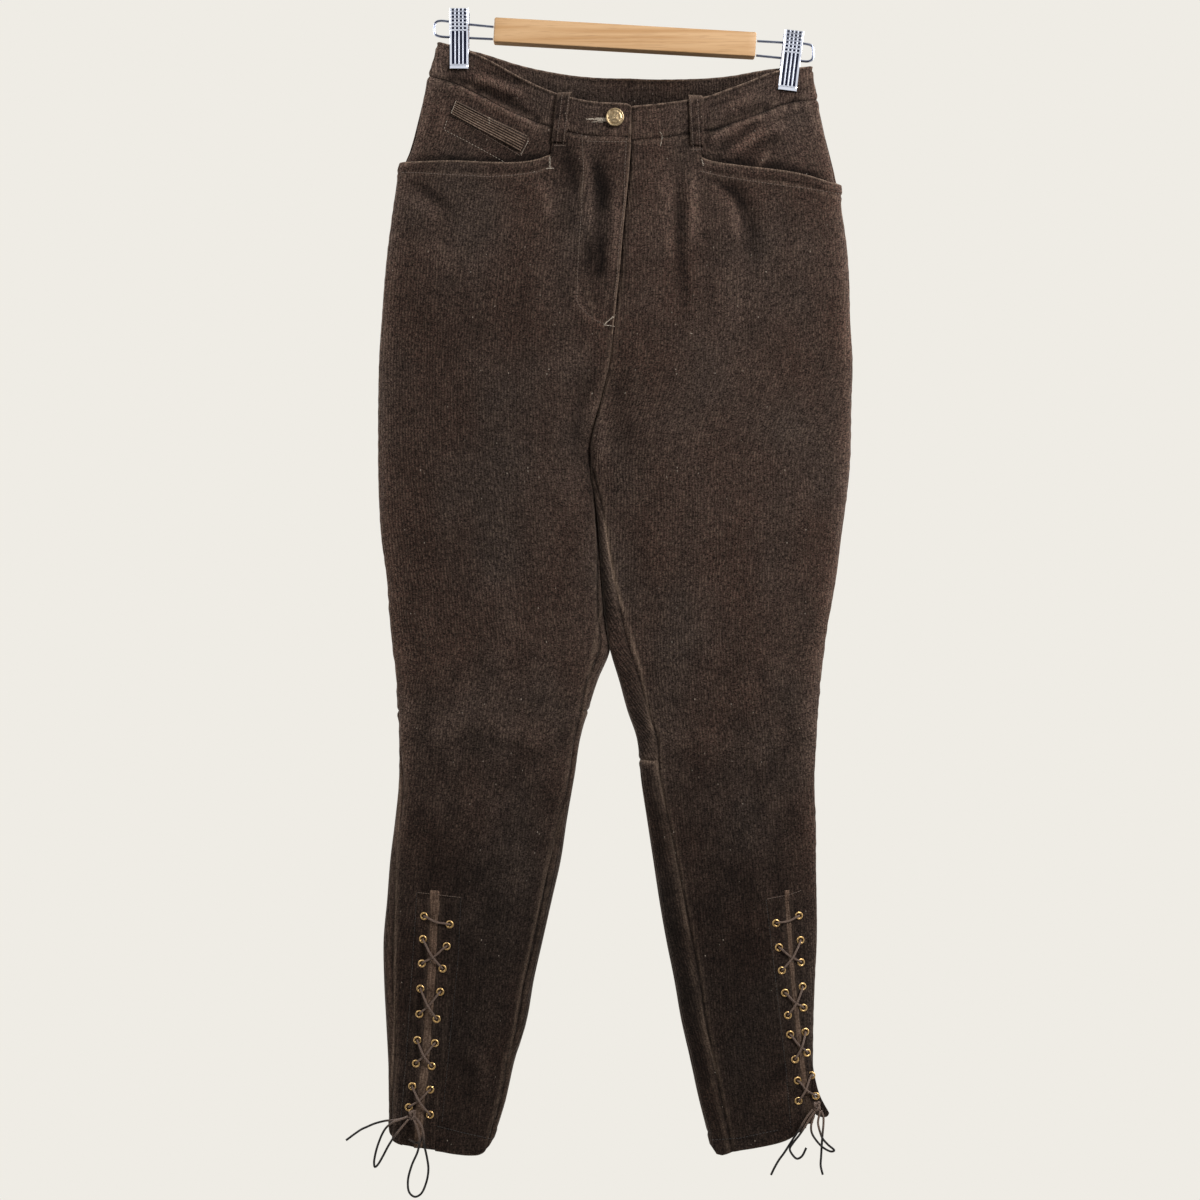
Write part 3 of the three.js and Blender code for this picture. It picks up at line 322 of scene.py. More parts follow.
def elevation_to_garment(x: Array | float, y: Array | float, depth: float) -> tuple[Array, Array]:
    """X and drop of a mark on the front elevation, for cloth that stands at Y = depth.

    Args:
        x: First coordinate on the elevation.
        y: Second coordinate of the mark.
        depth: Y of the cloth there.

    Returns:
        X and drop.
    """
    near = 1 + depth / CAMERA_DISTANCE
    seen_x = np.asarray(x, float) - ELEVATION_ORIGIN[0]
    seen_drop = np.asarray(y, float) - ELEVATION_ORIGIN[1]
    return (CAMERA_X + (seen_x - CAMERA_X) * near,
            CAMERA_DROP + (seen_drop - CAMERA_DROP) * near)


# ---- the garment's surface

@dataclass(frozen=True)
class Stroke:
    """A soft line drawn on the cloth: a ridge, a trough or a worn streak.

    height is in millimetres for a fold (below 0 for a trough), 0 to 1 for wear, and a change of brightness
    for painted light, painted shade below 0 and a painted highlight above; a fold also paints shade in its
    trough and a highlight on its ridge.
    width is from the middle to where it has mostly died away, and points are on the front elevation.
    """

    height: float
    width: float
    points: tuple[tuple[float, float], ...]
    face: str = "front"
    fade: float = 0.3

    def strength(self, x: Array, drop: Array, depth: float) -> Array:
        """How strongly the stroke is felt at each place, times its height.

        Args:
            x: X of the places.
            drop: Heights, as drops.
            depth: Y of the cloth there.

        Returns:
            The strengths.
        """
        px, py = np.array(self.points, float).T
        if self.face == "front":
            px, py = elevation_to_garment(px, py, depth)
        else:
            px, py = px - ELEVATION_ORIGIN[0], py - ELEVATION_ORIGIN[1]
        reach = 3 * self.width
        near = ((x > px.min() - reach) & (x < px.max() + reach)
                & (drop > py.min() - reach) & (drop < py.max() + reach))
        felt = np.zeros(x.shape)
        if not near.any():
            return felt
        spots = np.stack([x[near], drop[near]], -1)
        line = np.stack([px, py], -1)
        starts = lengths_along(line)
        lengths = np.diff(starts)
        best, share = np.full(len(spots), 1e9), np.zeros(len(spots))
        for a, b, begun, length in zip(line[:-1], line[1:], starts, lengths):
            t = np.clip((spots - a) @ (b - a) / length ** 2, 0, 1)
            gap = np.linalg.norm(spots - (a + t[:, None] * (b - a)), axis=1)
            closer = gap < best
            best[closer] = gap[closer]
            share[closer] = (begun + t[closer] * length) / starts[-1]
        ends = smooth(np.minimum(share, 1 - share) / self.fade) if self.fade else 1.0
        felt[near] = self.height * ends * np.exp(-(best / self.width) ** 2)
        return felt


def strokes(face: str, *rows: Sequence[float]) -> tuple[Stroke, ...]:
    """Strokes from flat rows.

    Args:
        face: "front" or "back".
        *rows: Height, width and the marks as x, y, x, y; a fade may come third.

    Returns:
        The strokes in the same order.
    """
    made = []
    for height, width, *marks in rows:
        fade = marks.pop(0) if len(marks) % 2 else 0.3
        made.append(Stroke(height, width, tuple(zip(marks[::2], marks[1::2])), face, fade))
    return tuple(made)


# Folds of the hanging cloth. The hips are pulled up to the clips, the fly bulges over the
# centre seam, and the long legs are nearly flat. The hidden sides carry folds of the same kind.
# Each fold is painted on the pile too: painted shade in its trough, a painted highlight on its ridge.
FOLDS = (
    # wearer's right hip, band and yoke
    *strokes("front",
        (3.0, 4.5, 464, 67, 486, 76, 500, 82, 514, 88, 532, 96),
        (-2.2, 4.0, 468, 80, 486, 86, 503, 94, 524, 104),
        (-1.8, 3.0, 476, 63, 494, 69, 512, 77, 530, 86),
        (1.7, 5.0, 474, 96, 500, 107, 524, 121, 546, 139),
        (-1.6, 5.0, 462, 130, 486, 141, 510, 148, 534, 152),
        (1.2, 5.0, 434, 96, 441, 112, 438, 134),
        (-2.2, 4.5, 401, 177, 416, 184, 430, 193, 457, 217),
        (1.5, 6.0, 399, 192, 420, 204, 446, 222),
        (0.9, 10.0, 404, 236, 436, 253, 470, 272),
        (-3.4, 8.0, 553, 128, 566, 152, 573, 172, 576, 205),
        (1.6, 7.0, 530, 178, 545, 196, 552, 224),
        (-1.1, 9.0, 556, 270, 563, 295, 566, 322),
        (-0.9, 12.0, 520, 320, 524, 345, 530, 372),
        # fly
        (-2.6, 6.5, 592, 148, 596, 170, 602, 190, 602, 220),
        (1.9, 4.0, 586, 150, 588, 175, 590, 205, 588, 240),
        (1.8, 4.5, 617, 175, 617, 217, 615, 250, 611, 285),
        (-1.8, 4.0, 583, 240, 588, 252, 592, 268),
        (-1.8, 3.6, 600, 232, 602, 258, 600, 285),
        (-1.8, 3.0, 582, 296, 592, 300, 606, 307),
        (-1.4, 3.0, 580, 262, 590, 272, 603, 276),
        (1.7, 3.2, 574, 280, 577, 303, 588, 320, 610, 331),
        (0.9, 3.0, 596, 139, 612, 139.5, 628, 139),
        # wearer's left hip, band and yoke
        (3.0, 4.6, 706, 141, 725, 129, 745, 117, 768, 111, 784, 104, 802, 95),
        (-2.8, 4.0, 704, 134, 732, 120, 760, 107, 784, 100),
        (-2.4, 4.4, 710, 151, 738, 138, 751, 126, 770, 116),
        (2.0, 5.0, 719, 158, 745, 142, 758, 133, 796, 118),
        (-1.7, 5.0, 740, 158, 764, 142, 786, 134),
        (-1.6, 4.0, 703, 109, 719, 101, 738, 92),
        (1.5, 4.0, 720, 108, 745, 96, 764, 88),
        (1.6, 2.4, 757, 168, 763, 160, 771, 150),
        (1.9, 6.0, 700, 178, 716, 188, 730, 203, 737, 226, 742, 250),
        (-3.4, 8.5, 702, 170, 724, 183, 741, 197, 750, 220, 753, 250, 760, 286),
        (-2.2, 18.0, 772, 205, 786, 225, 788, 250),
        (-3.0, 5.5, 679, 160, 680, 205, 680, 250, 685, 300, 688, 330),
        (2.2, 5.5, 691, 165, 692, 200, 693, 250),
        (1.3, 6.0, 667, 170, 668, 215, 671, 270),
        (-1.3, 12.0, 708, 225, 706, 252, 702, 280),
        (0.9, 12.0, 735, 250, 728, 300, 738, 345),
        # crotch and thighs
        (2.2, 8.0, 603, 380, 597, 410, 600, 440, 610, 480),
        (-2.4, 9.0, 600, 362, 586, 395, 578, 432, 580, 470),
        (-1.5, 8.0, 616, 360, 622, 410, 630, 460),
        # the band's seam, pulled into a soft roll
        (-2.6, 3.2, 0.1, 436, 72, 461, 76.4, 486, 89.6, 517, 106.5, 543, 122),
        (1.8, 3.0, 0.1, 438, 80, 461, 84, 486, 97, 515, 114, 542, 131),
        (-1.6, 3.0, 0.1, 700, 136, 742, 120, 764, 111, 796, 97, 812, 90),
        (1.1, 10.0, 540, 385, 560, 370, 585, 345),
        (-1.0, 16.0, 470, 470, 505, 440, 560, 420),
        (-1.1, 14.0, 640, 540, 652, 600, 660, 660),
        (0.9, 14.0, 480, 560, 500, 610, 520, 650),
        # knees and calves
        (1.5, 12.0, 420, 738, 470, 722, 510, 730, 550, 752),
        (-1.0, 10.0, 440, 756, 485, 744, 520, 754, 552, 776),
        (-1.3, 18.0, 476, 850, 486, 920, 470, 985),
        (1.0, 14.0, 524, 830, 514, 900, 502, 960),
        (1.3, 12.0, 660, 752, 700, 740, 742, 744, 786, 756),
        (-1.0, 12.0, 676, 776, 715, 766, 752, 778, 790, 790),
        (-1.1, 18.0, 736, 860, 742, 930, 752, 990),
        (1.0, 14.0, 764, 830, 759, 900, 762, 960),
        (-1.6, 7.0, 452, 1052, 470, 1080, 462, 1112),
        (1.3, 7.0, 470, 1040, 484, 1070, 480, 1108),
        (-1.5, 7.0, 762, 1090, 782, 1075, 800, 1052),
        (1.2, 7.0, 760, 1112, 784, 1098, 802, 1076),
        (-1.2, 8.0, 735, 1075, 748, 1100, 742, 1125),
    ),
    # seat and backs of the legs, drawn in X and drop from behind
    *strokes("back",
        (-3.2, 14.0, 560, 210, 585, 260, 604, 320, 606, 380),
        (-3.0, 13.0, 676, 215, 650, 268, 628, 325, 612, 385),
        (2.0, 16.0, 470, 250, 500, 330, 540, 400),
        (1.9, 16.0, 770, 250, 735, 330, 690, 400),
        (-1.5, 9.0, 470, 430, 520, 452, 575, 448),
        (-1.4, 9.0, 640, 448, 700, 455, 760, 432),
        (2.2, 6.0, 476, 110, 510, 130, 545, 140),
        (-2.0, 5.0, 690, 140, 730, 128, 770, 112),
        (1.8, 5.0, 700, 154, 736, 143, 780, 128),
        (-2.4, 7.0, 420, 690, 480, 700, 545, 690),
        (2.0, 7.0, 430, 706, 485, 716, 540, 708),
        (-2.3, 7.0, 660, 738, 720, 748, 790, 736),
        (1.9, 7.0, 670, 754, 724, 764, 784, 754),
        (1.6, 12.0, 480, 770, 490, 860, 470, 960),
        (1.6, 12.0, 730, 810, 745, 890, 760, 980),
    ),
)
FRONT_DEPTH = -26.0

# Streaks where the pile has rubbed away, 0 to 1.
WORN = strokes(
    "front",
    (0.75, 1.4, 0.2, 603, 507, 608, 545, 614, 577, 621, 603, 630, 623),
    (0.4, 1.3, 0.1, 628, 622, 641, 672, 652, 730, 658, 773, 668, 820),
    (0.3, 1.1, 0.1, 668, 820, 683, 899, 694, 971, 705, 1029, 722, 1092),
    (0.3, 1.1, 0.2, 606, 588, 598, 625, 588, 685, 577, 750),
    (0.25, 1.0, 0.15, 568, 791, 545, 878, 521, 989, 503, 1095),
    (0.4, 1.0, 0.1, 400.6, 757, 395.3, 865, 393, 1033, 389, 1109),
    (0.45, 1.6, 0, 641, 761, 656, 763),
    (0.25, 1.5, 0.2, 613.6, 330, 611, 352, 604, 386, 596, 420),
    (0.22, 0.9, 0.2, 582, 138, 583.5, 169, 580.8, 218, 578, 266),
    (0.2, 2.0, 0.5, 757, 168, 764, 160, 770, 150),
    (0.3, 1.0, 0.3, 586, 290, 590, 303, 598, 318),
)

# Broad strokes of painted light and shade on the front pile: below 0 is darker, a painted shade, as on the
# darker left side, the middles of the calves, beside the belt loops and the fly, over the pocket mouths
# and between the legs; above 0 is a painted highlight.
PAINTED_SHADES = strokes(
    "front",
    (-0.16, 30.0, 0.15, 452, 800, 452, 900, 446, 1010, 444, 1090),
    (-0.16, 30.0, 0.15, 718, 800, 728, 900, 742, 1010, 756, 1090),
    (-0.1, 18.0, 0.2, 440, 768, 500, 766, 552, 796),
    (-0.1, 26.0, 0.2, 670, 790, 715, 792, 770, 808),
    (-0.25, 7.0, 0.1, 612, 600, 622, 650, 638, 715, 648, 752),
    (-0.4, 7.0, 0.05, 648, 770, 658, 830, 670, 900, 686, 1000, 704, 1095),
    (-0.25, 5.0, 0.1, 604, 600, 598, 640, 588, 700),
    (-0.3, 5.0, 0.05, 579, 760, 566, 820, 550, 890, 528, 1000, 508, 1100),
    (0.1, 14.0, 0.2, 420, 728, 470, 712, 515, 722, 552, 744),
    (-0.1, 14.0, 557, 515, 558, 580, 560, 640),
    (-0.25, 13.0, 0.2, 562, 145, 568, 190, 572, 240),
    (-0.26, 12.0, 0.2, 597, 155, 600, 220, 598, 290),
    (0.12, 16.0, 650, 150, 645, 200, 650, 280),
    (0.08, 36.0, 660, 380, 690, 470, 700, 560),
    (0.1, 12.0, 0.2, 668, 118, 740, 110, 790, 112),
    (0.2, 9.0, 0.1, 628, 122, 660, 120, 690, 116),
    (-0.17, 70.0, 0.15, 480, 250, 480, 400, 490, 560, 500, 640),
    (-0.5, 2.6, 0.05, 634, 139, 631.5, 177, 631.5, 201, 626.5, 235, 623.5, 280, 620, 304),
    (-0.2, 15.0, 0.15, 604, 150, 606, 220, 602, 300),
    (-0.5, 5.5, 0.15, 408, 158, 450, 159, 500, 161.5, 530, 157, 548, 150),
    (-0.55, 6.5, 0.15, 710, 156, 745, 161, 775, 165.5, 808, 173, 832, 178),
    (-0.4, 6.0, 0.2, 703, 172, 722, 186, 738, 198, 748, 212),
    (-0.3, 5.0, 0.2, 712, 152, 738, 147, 764, 136, 786, 131),
    (0.3, 4.5, 0.2, 719, 160, 738, 149, 758, 137, 778, 128),
    (0.3, 4.0, 0.2, 706, 142, 725, 131, 745, 119, 768, 112),
    (-0.3, 5.0, 0.2, 722, 120, 748, 110, 776, 102),
    (-0.45, 3.5, 0.1, 551, 126, 552.5, 140, 553, 158),
    (-0.35, 3.5, 0.1, 684, 108, 685.5, 130, 687, 154),
    (-0.35, 3.5, 0.1, 709, 112, 709, 130, 710, 150),
    (-0.5, 7.0, 0.1, 586, 444, 592, 480, 598, 530, 602, 580, 604, 632),
    (-0.25, 5.0, 0.1, 606, 560, 609, 600, 612, 640),
)


def painted_shade_of(points: Array) -> Array:
    """Broad painted light and shade at points of the front.

    Args:
        points: The points, in millimetres.

    Returns:
        The painted light and shade.
    """
    total = np.zeros(points.shape[:-1])
    for stroke in PAINTED_SHADES:
        total += stroke.strength(points[..., 0], -points[..., 2], FRONT_DEPTH)
    return np.where(points[..., 1] < 4, total, 0)


@dataclass(frozen=True)
class Ring:
    """Plan of half of the garment at one drop: where its folds are and how it bows."""

    outer: Array
    inner: Array
    width: Array
    edge: Array
    front: Array
    back: Array
    fork: Array
    pinch: Array


class Garment:
    """The surface that every cloth piece lies on, with its listed folds."""

    swell: float = 0.6
    # Near the crotch the wearer's left leg lies a little over the right one.
    overlap: float = 1.3
    stagger: float = 3.6

    def ring(self, side: Side, drop: Array | float) -> Ring:
        """The plan of one half at a drop.

        Args:
            side: The half of the garment.
            drop: Heights, as drops.

        Returns:
            The plan.
        """
        read = lambda name: column(SECTIONS, SECTION_COLUMNS, name, drop)
        outer, inner = read(f"outer{side.value}"), read(f"inner{side.value}")
        return Ring(outer, inner, np.abs(inner - outer), read("edge"), read("front"),
                    read("back"), np.clip(read("fork"), 0, 1), np.clip(read("pinch"), 0, 1))

    def reach(self, ring: Ring, s: Array) -> Array:
        """Distance in plan from the outer fold to the place s.

        Args:
            ring: The plan at that drop.
            s: Places, 0 to 1.

        Returns:
            The distances.
        """
        turn = math.pi / 2
        opening = ring.edge * (1 - np.cos(turn * np.minimum(s, FOLD) / FOLD))
        closing = ring.width - ring.edge * (1 - np.cos(turn * (1 - np.maximum(s, 1 - FOLD)) / FOLD))
        middle = mix(ring.edge, ring.width - ring.edge, (s - FOLD) / (1 - 2 * FOLD))
        leg = np.where(s > 1 - FOLD, closing, middle)
        torso = mix(ring.edge, ring.width, (s - FOLD) / (1 - FOLD))
        return np.where(s < FOLD, opening, mix(torso, leg, ring.fork))

    def bow(self, ring: Ring, s: Array, depth: Array) -> Array:
        """Depth of the cloth in front of or behind the plane of the side seams.

        Args:
            ring: The plan at that drop.
            s: Places round the half.
            depth: Y of the cloth there.

        Returns:
            The depths.
        """
        turn = math.pi / 2
        u = np.clip(self.reach(ring, s) / ring.width, 0, 1)
        torso = 1 - (1 - u) ** 2.4
        leg = 1 - np.abs(2 * u - 1) ** 2.4
        pinched = np.sin(turn * np.clip((u - 0.22) / 0.78, 0, 1)) ** 1.5
        dome = mix(mix(torso, pinched, ring.pinch), leg, ring.fork)
        outer = np.where(s < FOLD, np.sin(turn * s / FOLD), 1.0)
        inner = np.where(s > 1 - FOLD, np.sin(turn * (1 - s) / FOLD), 1.0)
        return ring.edge * outer * mix(1, inner, ring.fork) + depth * dome

    def place(self, side: Side, s: Array | float, drop: Array | float) -> Array:
        """Points of the smooth surface, before any fold.

        Args:
            side: The half of the garment.
            s: Places round the half.
            drop: Heights, as drops.

        Returns:
            The points.
        """
        s, drop = paired(s, drop)
        ring = self.ring(side, drop)
        at = wrapped(s)
        size = np.clip(np.abs(at), 0, 1)
        x = ring.outer + np.sign(ring.inner - ring.outer) * self.reach(ring, size)
        y = np.where(at >= 0, -self.bow(ring, size, ring.front), self.bow(ring, size, ring.back))
        touching = smooth((size - 0.8) / 0.2) * smooth((drop - 335) / 90) * smooth((665 - drop) / 50)
        x = x - side.sign * self.overlap * touching
        y = y - side.sign * self.stagger * touching
        return np.stack([x, y, -drop], -1)

    def facing(self, side: Side, s: Array | float, drop: Array | float) -> Array:
        """Outward direction of the cloth, level.

        Args:
            side: The half of the garment.
            s: Places round the half.
            drop: Heights, as drops.

        Returns:
            Unit vectors.
        """
        s, drop = paired(s, drop)
        step = 0.004
        top = np.where(self.ring(side, drop).fork < 1, 1.0, 2.0)
        run = (self.place(side, np.clip(s + step, -top, top), drop)
               - self.place(side, np.clip(s - step, -top, top), drop))
        level = np.stack([run[..., 1], -run[..., 0], np.zeros(run.shape[:-1])], -1)
        return -side.sign * unit(level)

    def folds(self, side: Side, s: Array, drop: Array, x: Array) -> tuple[Array, Array]:
        """How far the folds stand out of the smooth surface, and the shade and highlights painted on the
        pile along them.

        Args:
            side: The half of the garment.
            s: Places round the half.
            drop: Heights, as drops.
            x: X of the places.

        Returns:
            Heights, and the painted shade (below 0) and painted highlights (above 0).
        """
        at = wrapped(s)
        front, size = at >= 0, np.abs(at)
        drawn, shaded = np.zeros(x.shape), np.zeros(x.shape)
        for stroke in FOLDS:
            felt = np.where(front == (stroke.face == "front"),
                            stroke.strength(x, drop, FRONT_DEPTH), 0)
            drawn += felt
            shaded += felt * min(1.0, (6.5 / stroke.width) ** 1.5)
        share = x + np.where(front, 400.0, -400.0)
        swell = self.swell * (1.6 * ripple(share, drop, 150, 3) + 0.6 * ripple(share, drop * 0.8, 52, 4)
                              + 0.22 * ripple(share, drop, 19, 5) + 0.1 * ripple(share, drop, 9, 6))
        ring = self.ring(side, drop)
        held = smooth(size / 0.09) * mix(smooth((1 - size) / 0.02 + 0.5), smooth((1 - size) / 0.09),
                                         ring.fork)
        pressed = 1 - 0.8 * ring.pinch * (1 - smooth((size - 0.08) / 0.2))
        # The outer folds are puckered where the cloth was sat on.
        cockle = 0.3 * ripple(drop, drop * 0, 8.0, 21, 4) * (1 - smooth(size / 0.12))
        cockle = cockle * smooth((drop - 560) / 40) * smooth((720 - drop) / 40)
        height = (drawn + swell) * held * pressed + cockle
        # The folds painted on the pile: shade in the troughs, highlights on the ridges.
        fold_light_and_shade = np.tanh(0.36 * shaded * held * pressed)
        return height, np.where(fold_light_and_shade > 0, 1.4, 0.72) * fold_light_and_shade

    def surface(self, side: Side, s: Array | float, drop: Array | float,
                lift: Array | float = 0.0) -> tuple[Array, Array]:
        """Points and outward directions of the folded cloth.

        Args:
            side: The half of the garment.
            s: Places round it.
            drop: Heights.
            lift: How far above the surface the points are.

        Returns:
            The points in millimetres, and the level outward directions there.
        """
        s, drop = paired(s, drop)
        points, outward = self.place(side, s, drop), self.facing(side, s, drop)
        height = self.folds(side, s, drop, points[..., 0])[0] + lift
        return points + outward * np.asarray(height)[..., None], outward

    def tone(self, side: Side, s: Array | float, drop: Array | float) -> Array:
        """Painted light and shade of the pile at each place: painted shade in creases, painted highlights
        on ridges and along the outer folds, and the broad painted strokes.

        Args:
            side: The half of the garment.
            s: Places round the half.
            drop: Heights, as drops.

        Returns:
            The painted light and shade.
        """
        s, drop = paired(s, drop)
        points = self.place(side, s, drop)
        ring = self.ring(side, drop)
        at = wrapped(s)
        from_outer = self.reach(ring, np.clip(np.abs(at), 0, 1))
        # A painted highlight along the outer fold for the sheen where the cloth turns away, and a weaker
        # one along the legs' inner fold.
        rim = 1.0 * np.exp(-(from_outer / 12.0) ** 2)
        rim += 0.16 * ring.fork * np.exp(-((ring.width - from_outer) / 8.0) ** 2)
        return rim + painted_shade_of(points) + self.folds(side, s, drop, points[..., 0])[1]

    def arc(self, side: Side, s: Array, drop: Array) -> Array:
        """Level distance along the cloth from the outer fold to the place s.

        Args:
            side: The half of the garment.
            s: Places round the half.
            drop: Heights, as drops.

        Returns:
            The distances.
        """
        middle, rows, first = 200, 80, 10
        stations, heights = np.linspace(-2, 2, 2 * middle + 1), np.linspace(first, 1140, rows)
        lattice = self.place(side, stations[None], heights[:, None])[..., :2]
        run = np.cumsum(np.linalg.norm(np.diff(lattice, axis=1), axis=2), 1)
        run = np.concatenate([np.zeros((len(heights), 1)), run], 1)
        run -= run[:, middle:middle + 1]
        i, j = (s + 2) * middle / 2, (drop - first) / (heights[1] - heights[0])
        i0 = np.clip(i, 0, 2 * middle - 0.001).astype(int)
        j0 = np.clip(j, 0, rows - 1.001).astype(int)
        fi, fj = i - i0, j - j0
        return mix(mix(run[j0, i0], run[j0, i0 + 1], fi),
                   mix(run[j0 + 1, i0], run[j0 + 1, i0 + 1], fi), fj)

    def share_at(self, side: Side, distance: Array, drop: Array) -> Array:
        """s of the place that is a distance away from the outer fold.

        Args:
            side: The half of the garment.
            distance: Level distance from the outer fold.
            drop: Heights, as drops.

        Returns:
            The places.
        """
        distance, drop = paired(distance, drop)
        ring = self.ring(side, drop)
        low, high = np.zeros(drop.shape), np.ones(drop.shape)
        for _ in range(26):
            middle = (low + high) / 2
            short = self.reach(ring, middle) < distance
            low, high = np.where(short, middle, low), np.where(short, high, middle)
        return (low + high) / 2

    def share_of_x(self, side: Side, x: Array, drop: Array) -> Array:
        """s of the front place that has this X."""
        return self.share_at(side, np.abs(x - self.ring(side, drop).outer), drop)

    def across(self, side: Side, s: Array, drop: float) -> Array:
        """Share of the way across, from the outer fold, of the place s."""
        ring = self.ring(side, np.full(np.shape(s), drop))
        return self.reach(ring, np.clip(np.abs(s), 0, 1)) / ring.width

    def band_top(self, side: Side, face: str, s: Array) -> Array:
        """Drop of the waistband's top edge."""
        return along(BAND_TOP[(face, side)], self.across(side, s, 70))

    def band_foot(self, side: Side, face: str, s: Array, at: float = 110) -> Array:
        """Drop of the waistband's lower seam.

        Args:
            side: The half of the garment.
            face: "front" or "back".
            s: Places round the half.
            at: Drop to read the plan at.

        Returns:
            The drops.
        """
        u = self.across(side, s, at)
        step = 0.02
        low, high = np.clip(u - step, 0, 1), np.clip(u + step, 0, 1)
        ring = self.ring(side, 90.0)
        table = BAND_TOP[(face, side)]
        slope = (along(table, high) - along(table, low)) / ((high - low) * ring.width)
        return along(table, u) + BAND_WIDTH * np.hypot(1, slope)

    def mouth(self, side: Side, s: Array) -> Array:
        """Drop of the pocket's mouth."""
        return along(MOUTH[side], self.across(side, s, 140))

    def hem(self, side: Side, s: Array) -> Array:
        """Drop of the hem."""
        return along(HEM[side], self.across(side, wrapped(np.asarray(s)), 1100))

    def seam_shares(self, side: Side, drop: Array) -> tuple[Array, Array]:
        """Shares of the ring that the back pieces take at the side seam and the inseam.

        Args:
            side: The half of the garment.
            drop: Heights, as drops.

        Returns:
            Both shares.
        """
        side_wrap = column(WRAPS, WRAP_COLUMNS, f"side{side.value}", drop)
        inseam_wrap = column(WRAPS, WRAP_COLUMNS, f"inseam{side.value}", drop)
        width = self.ring(side, drop).width
        below = np.asarray(drop) > WRAP_START
        return (np.where(below, self.share_at(side, side_wrap, drop), 0),
                np.where(below, 1 - self.share_at(side, width - inseam_wrap, drop), 0))


GARMENT = Garment()


# ---- finishes

def linear(code: str) -> tuple[float, float, float, float]:
    """An sRGB hex colour as the linear RGBA that the shaders take."""
    parts = (int(code[i:i + 2], 16) / 255 for i in (1, 3, 5))
    return (*(c / 12.92 if c <= 0.04045 else ((c + 0.055) / 1.055) ** 2.4 for c in parts), 1.0)


class Nodes:
    """The nodes of one material or world."""

    def __init__(self, tree: bpy.types.NodeTree) -> None:
        """Starts with an empty tree."""
        tree.nodes.clear()
        self.tree = tree

    def add(self, kind: str, values: dict | None = None, links: dict | None = None,
            **settings: object) -> bpy.types.Node:
        """Adds a node with its settings, its fixed inputs and its links.

        Args:
            kind: Blender's name for the kind of node, after "ShaderNode".
            values: Fixed values by input name or number.
            links: Output sockets by input name or number.
            **settings: The node's own properties.

        Returns:
            The new node.
        """
        made = self.tree.nodes.new(f"ShaderNode{kind}")
        for name, value in settings.items():
            setattr(made, name, value)
        for name, value in (values or {}).items():
            made.inputs[name].default_value = value
        for name, socket in (links or {}).items():
            self.tree.links.new(socket, made.inputs[name])
        return made

    def math(self, operation: str, *items: Socket | float, clamp: bool = False) -> Socket:
        """A sum on sockets or numbers, kept from 0 to 1 where clamp says so.

        Args:
            operation: Blender's name for the sum.
            *items: Its inputs in order, sockets or numbers.
            clamp: Whether the result stays from 0 to 1.

        Returns:
            The result's socket.
        """
        values = {i: v for i, v in enumerate(items) if not isinstance(v, Socket)}
        links = {i: v for i, v in enumerate(items) if isinstance(v, Socket)}
        return self.add("Math", values, links, operation=operation, use_clamp=clamp).outputs[0]

    def spread(self, socket: Socket, low: float, high: float, to_low: float = 0.0,
               to_high: float = 1.0, **settings: object) -> Socket:
        """Stretches part of a socket's range on to another range."""
        return self.add("MapRange", {1: low, 2: high, 3: to_low, 4: to_high}, {0: socket},
                        **settings).outputs[0]

    def blend(self, factor: Socket, first: Socket | str, second: Socket | str) -> Socket:
        """Mixes two colours, each a hex code, a linear colour or a socket.

        Args:
            factor: Share of the second colour.
            first: The colour at 0.
            second: The colour at 1.

        Returns:
            The colour's socket.
        """
        pair = {"A": first, "B": second}
        values = {name: linear(item) if isinstance(item, str) else item
                  for name, item in pair.items() if not isinstance(item, Socket)}
        links = {name: item for name, item in pair.items() if isinstance(item, Socket)}
        return self.add("Mix", values, {"Factor": factor, **links}, data_type="RGBA").outputs[2]

    def scaled(self, source: Socket, factors: Sequence[float]) -> Socket:
        """A vector with each of its parts multiplied."""
        return self.add("VectorMath", {1: factors}, {0: source}, operation="MULTIPLY").outputs[0]

    def noise(self, source: Socket, scale: float, detail: float, rough: float = 0.5,
              distortion: float = 0.0) -> Socket:
        """A soft noise."""
        values = {"Scale": scale, "Detail": detail, "Roughness": rough, "Distortion": distortion}
        return self.add("TexNoise", values, {"Vector": source}).outputs[0]

    def attribute(self, name: str) -> bpy.types.Node:
        """Reads a value that the mesh carries."""
        return self.add("Attribute", attribute_name=name)

    def here(self) -> Socket:
        """Position on the object, in metres."""
        return self.add("TexCoord").outputs["Object"]


class Finish(Nodes):
    """A new material with one Principled shader."""

    def __init__(self, name: str, values: dict) -> None:
        """Makes it, with fixed values on the shader's own sockets.

        Args:
            name: Its name.
            values: Fixed values by input name.
        """
        self.material = bpy.data.materials.new(name)
        self.material.use_nodes = True
        super().__init__(self.material.node_tree)
        self.shader = self.add("BsdfPrincipled", values)
        self.output = self.add("OutputMaterial", links={"Surface": self.shader.outputs[0]})

    def bump(self, height: Socket, depth: float, strength: float) -> Socket:
        """Fine relief, its depth in millimetres."""
        return self.add("Bump", {"Strength": strength, "Distance": depth * MM},
                        {"Height": height}).outputs[0]

    def dressed(self, links: dict[str, Socket]) -> Material:
        """Links sockets to the shader's inputs and gives the material.

        Args:
            links: Sockets by the shader's input name.

        Returns:
            The material.
        """
        for name, socket in links.items():
            self.tree.links.new(socket, self.shader.inputs[name])
        return self.material


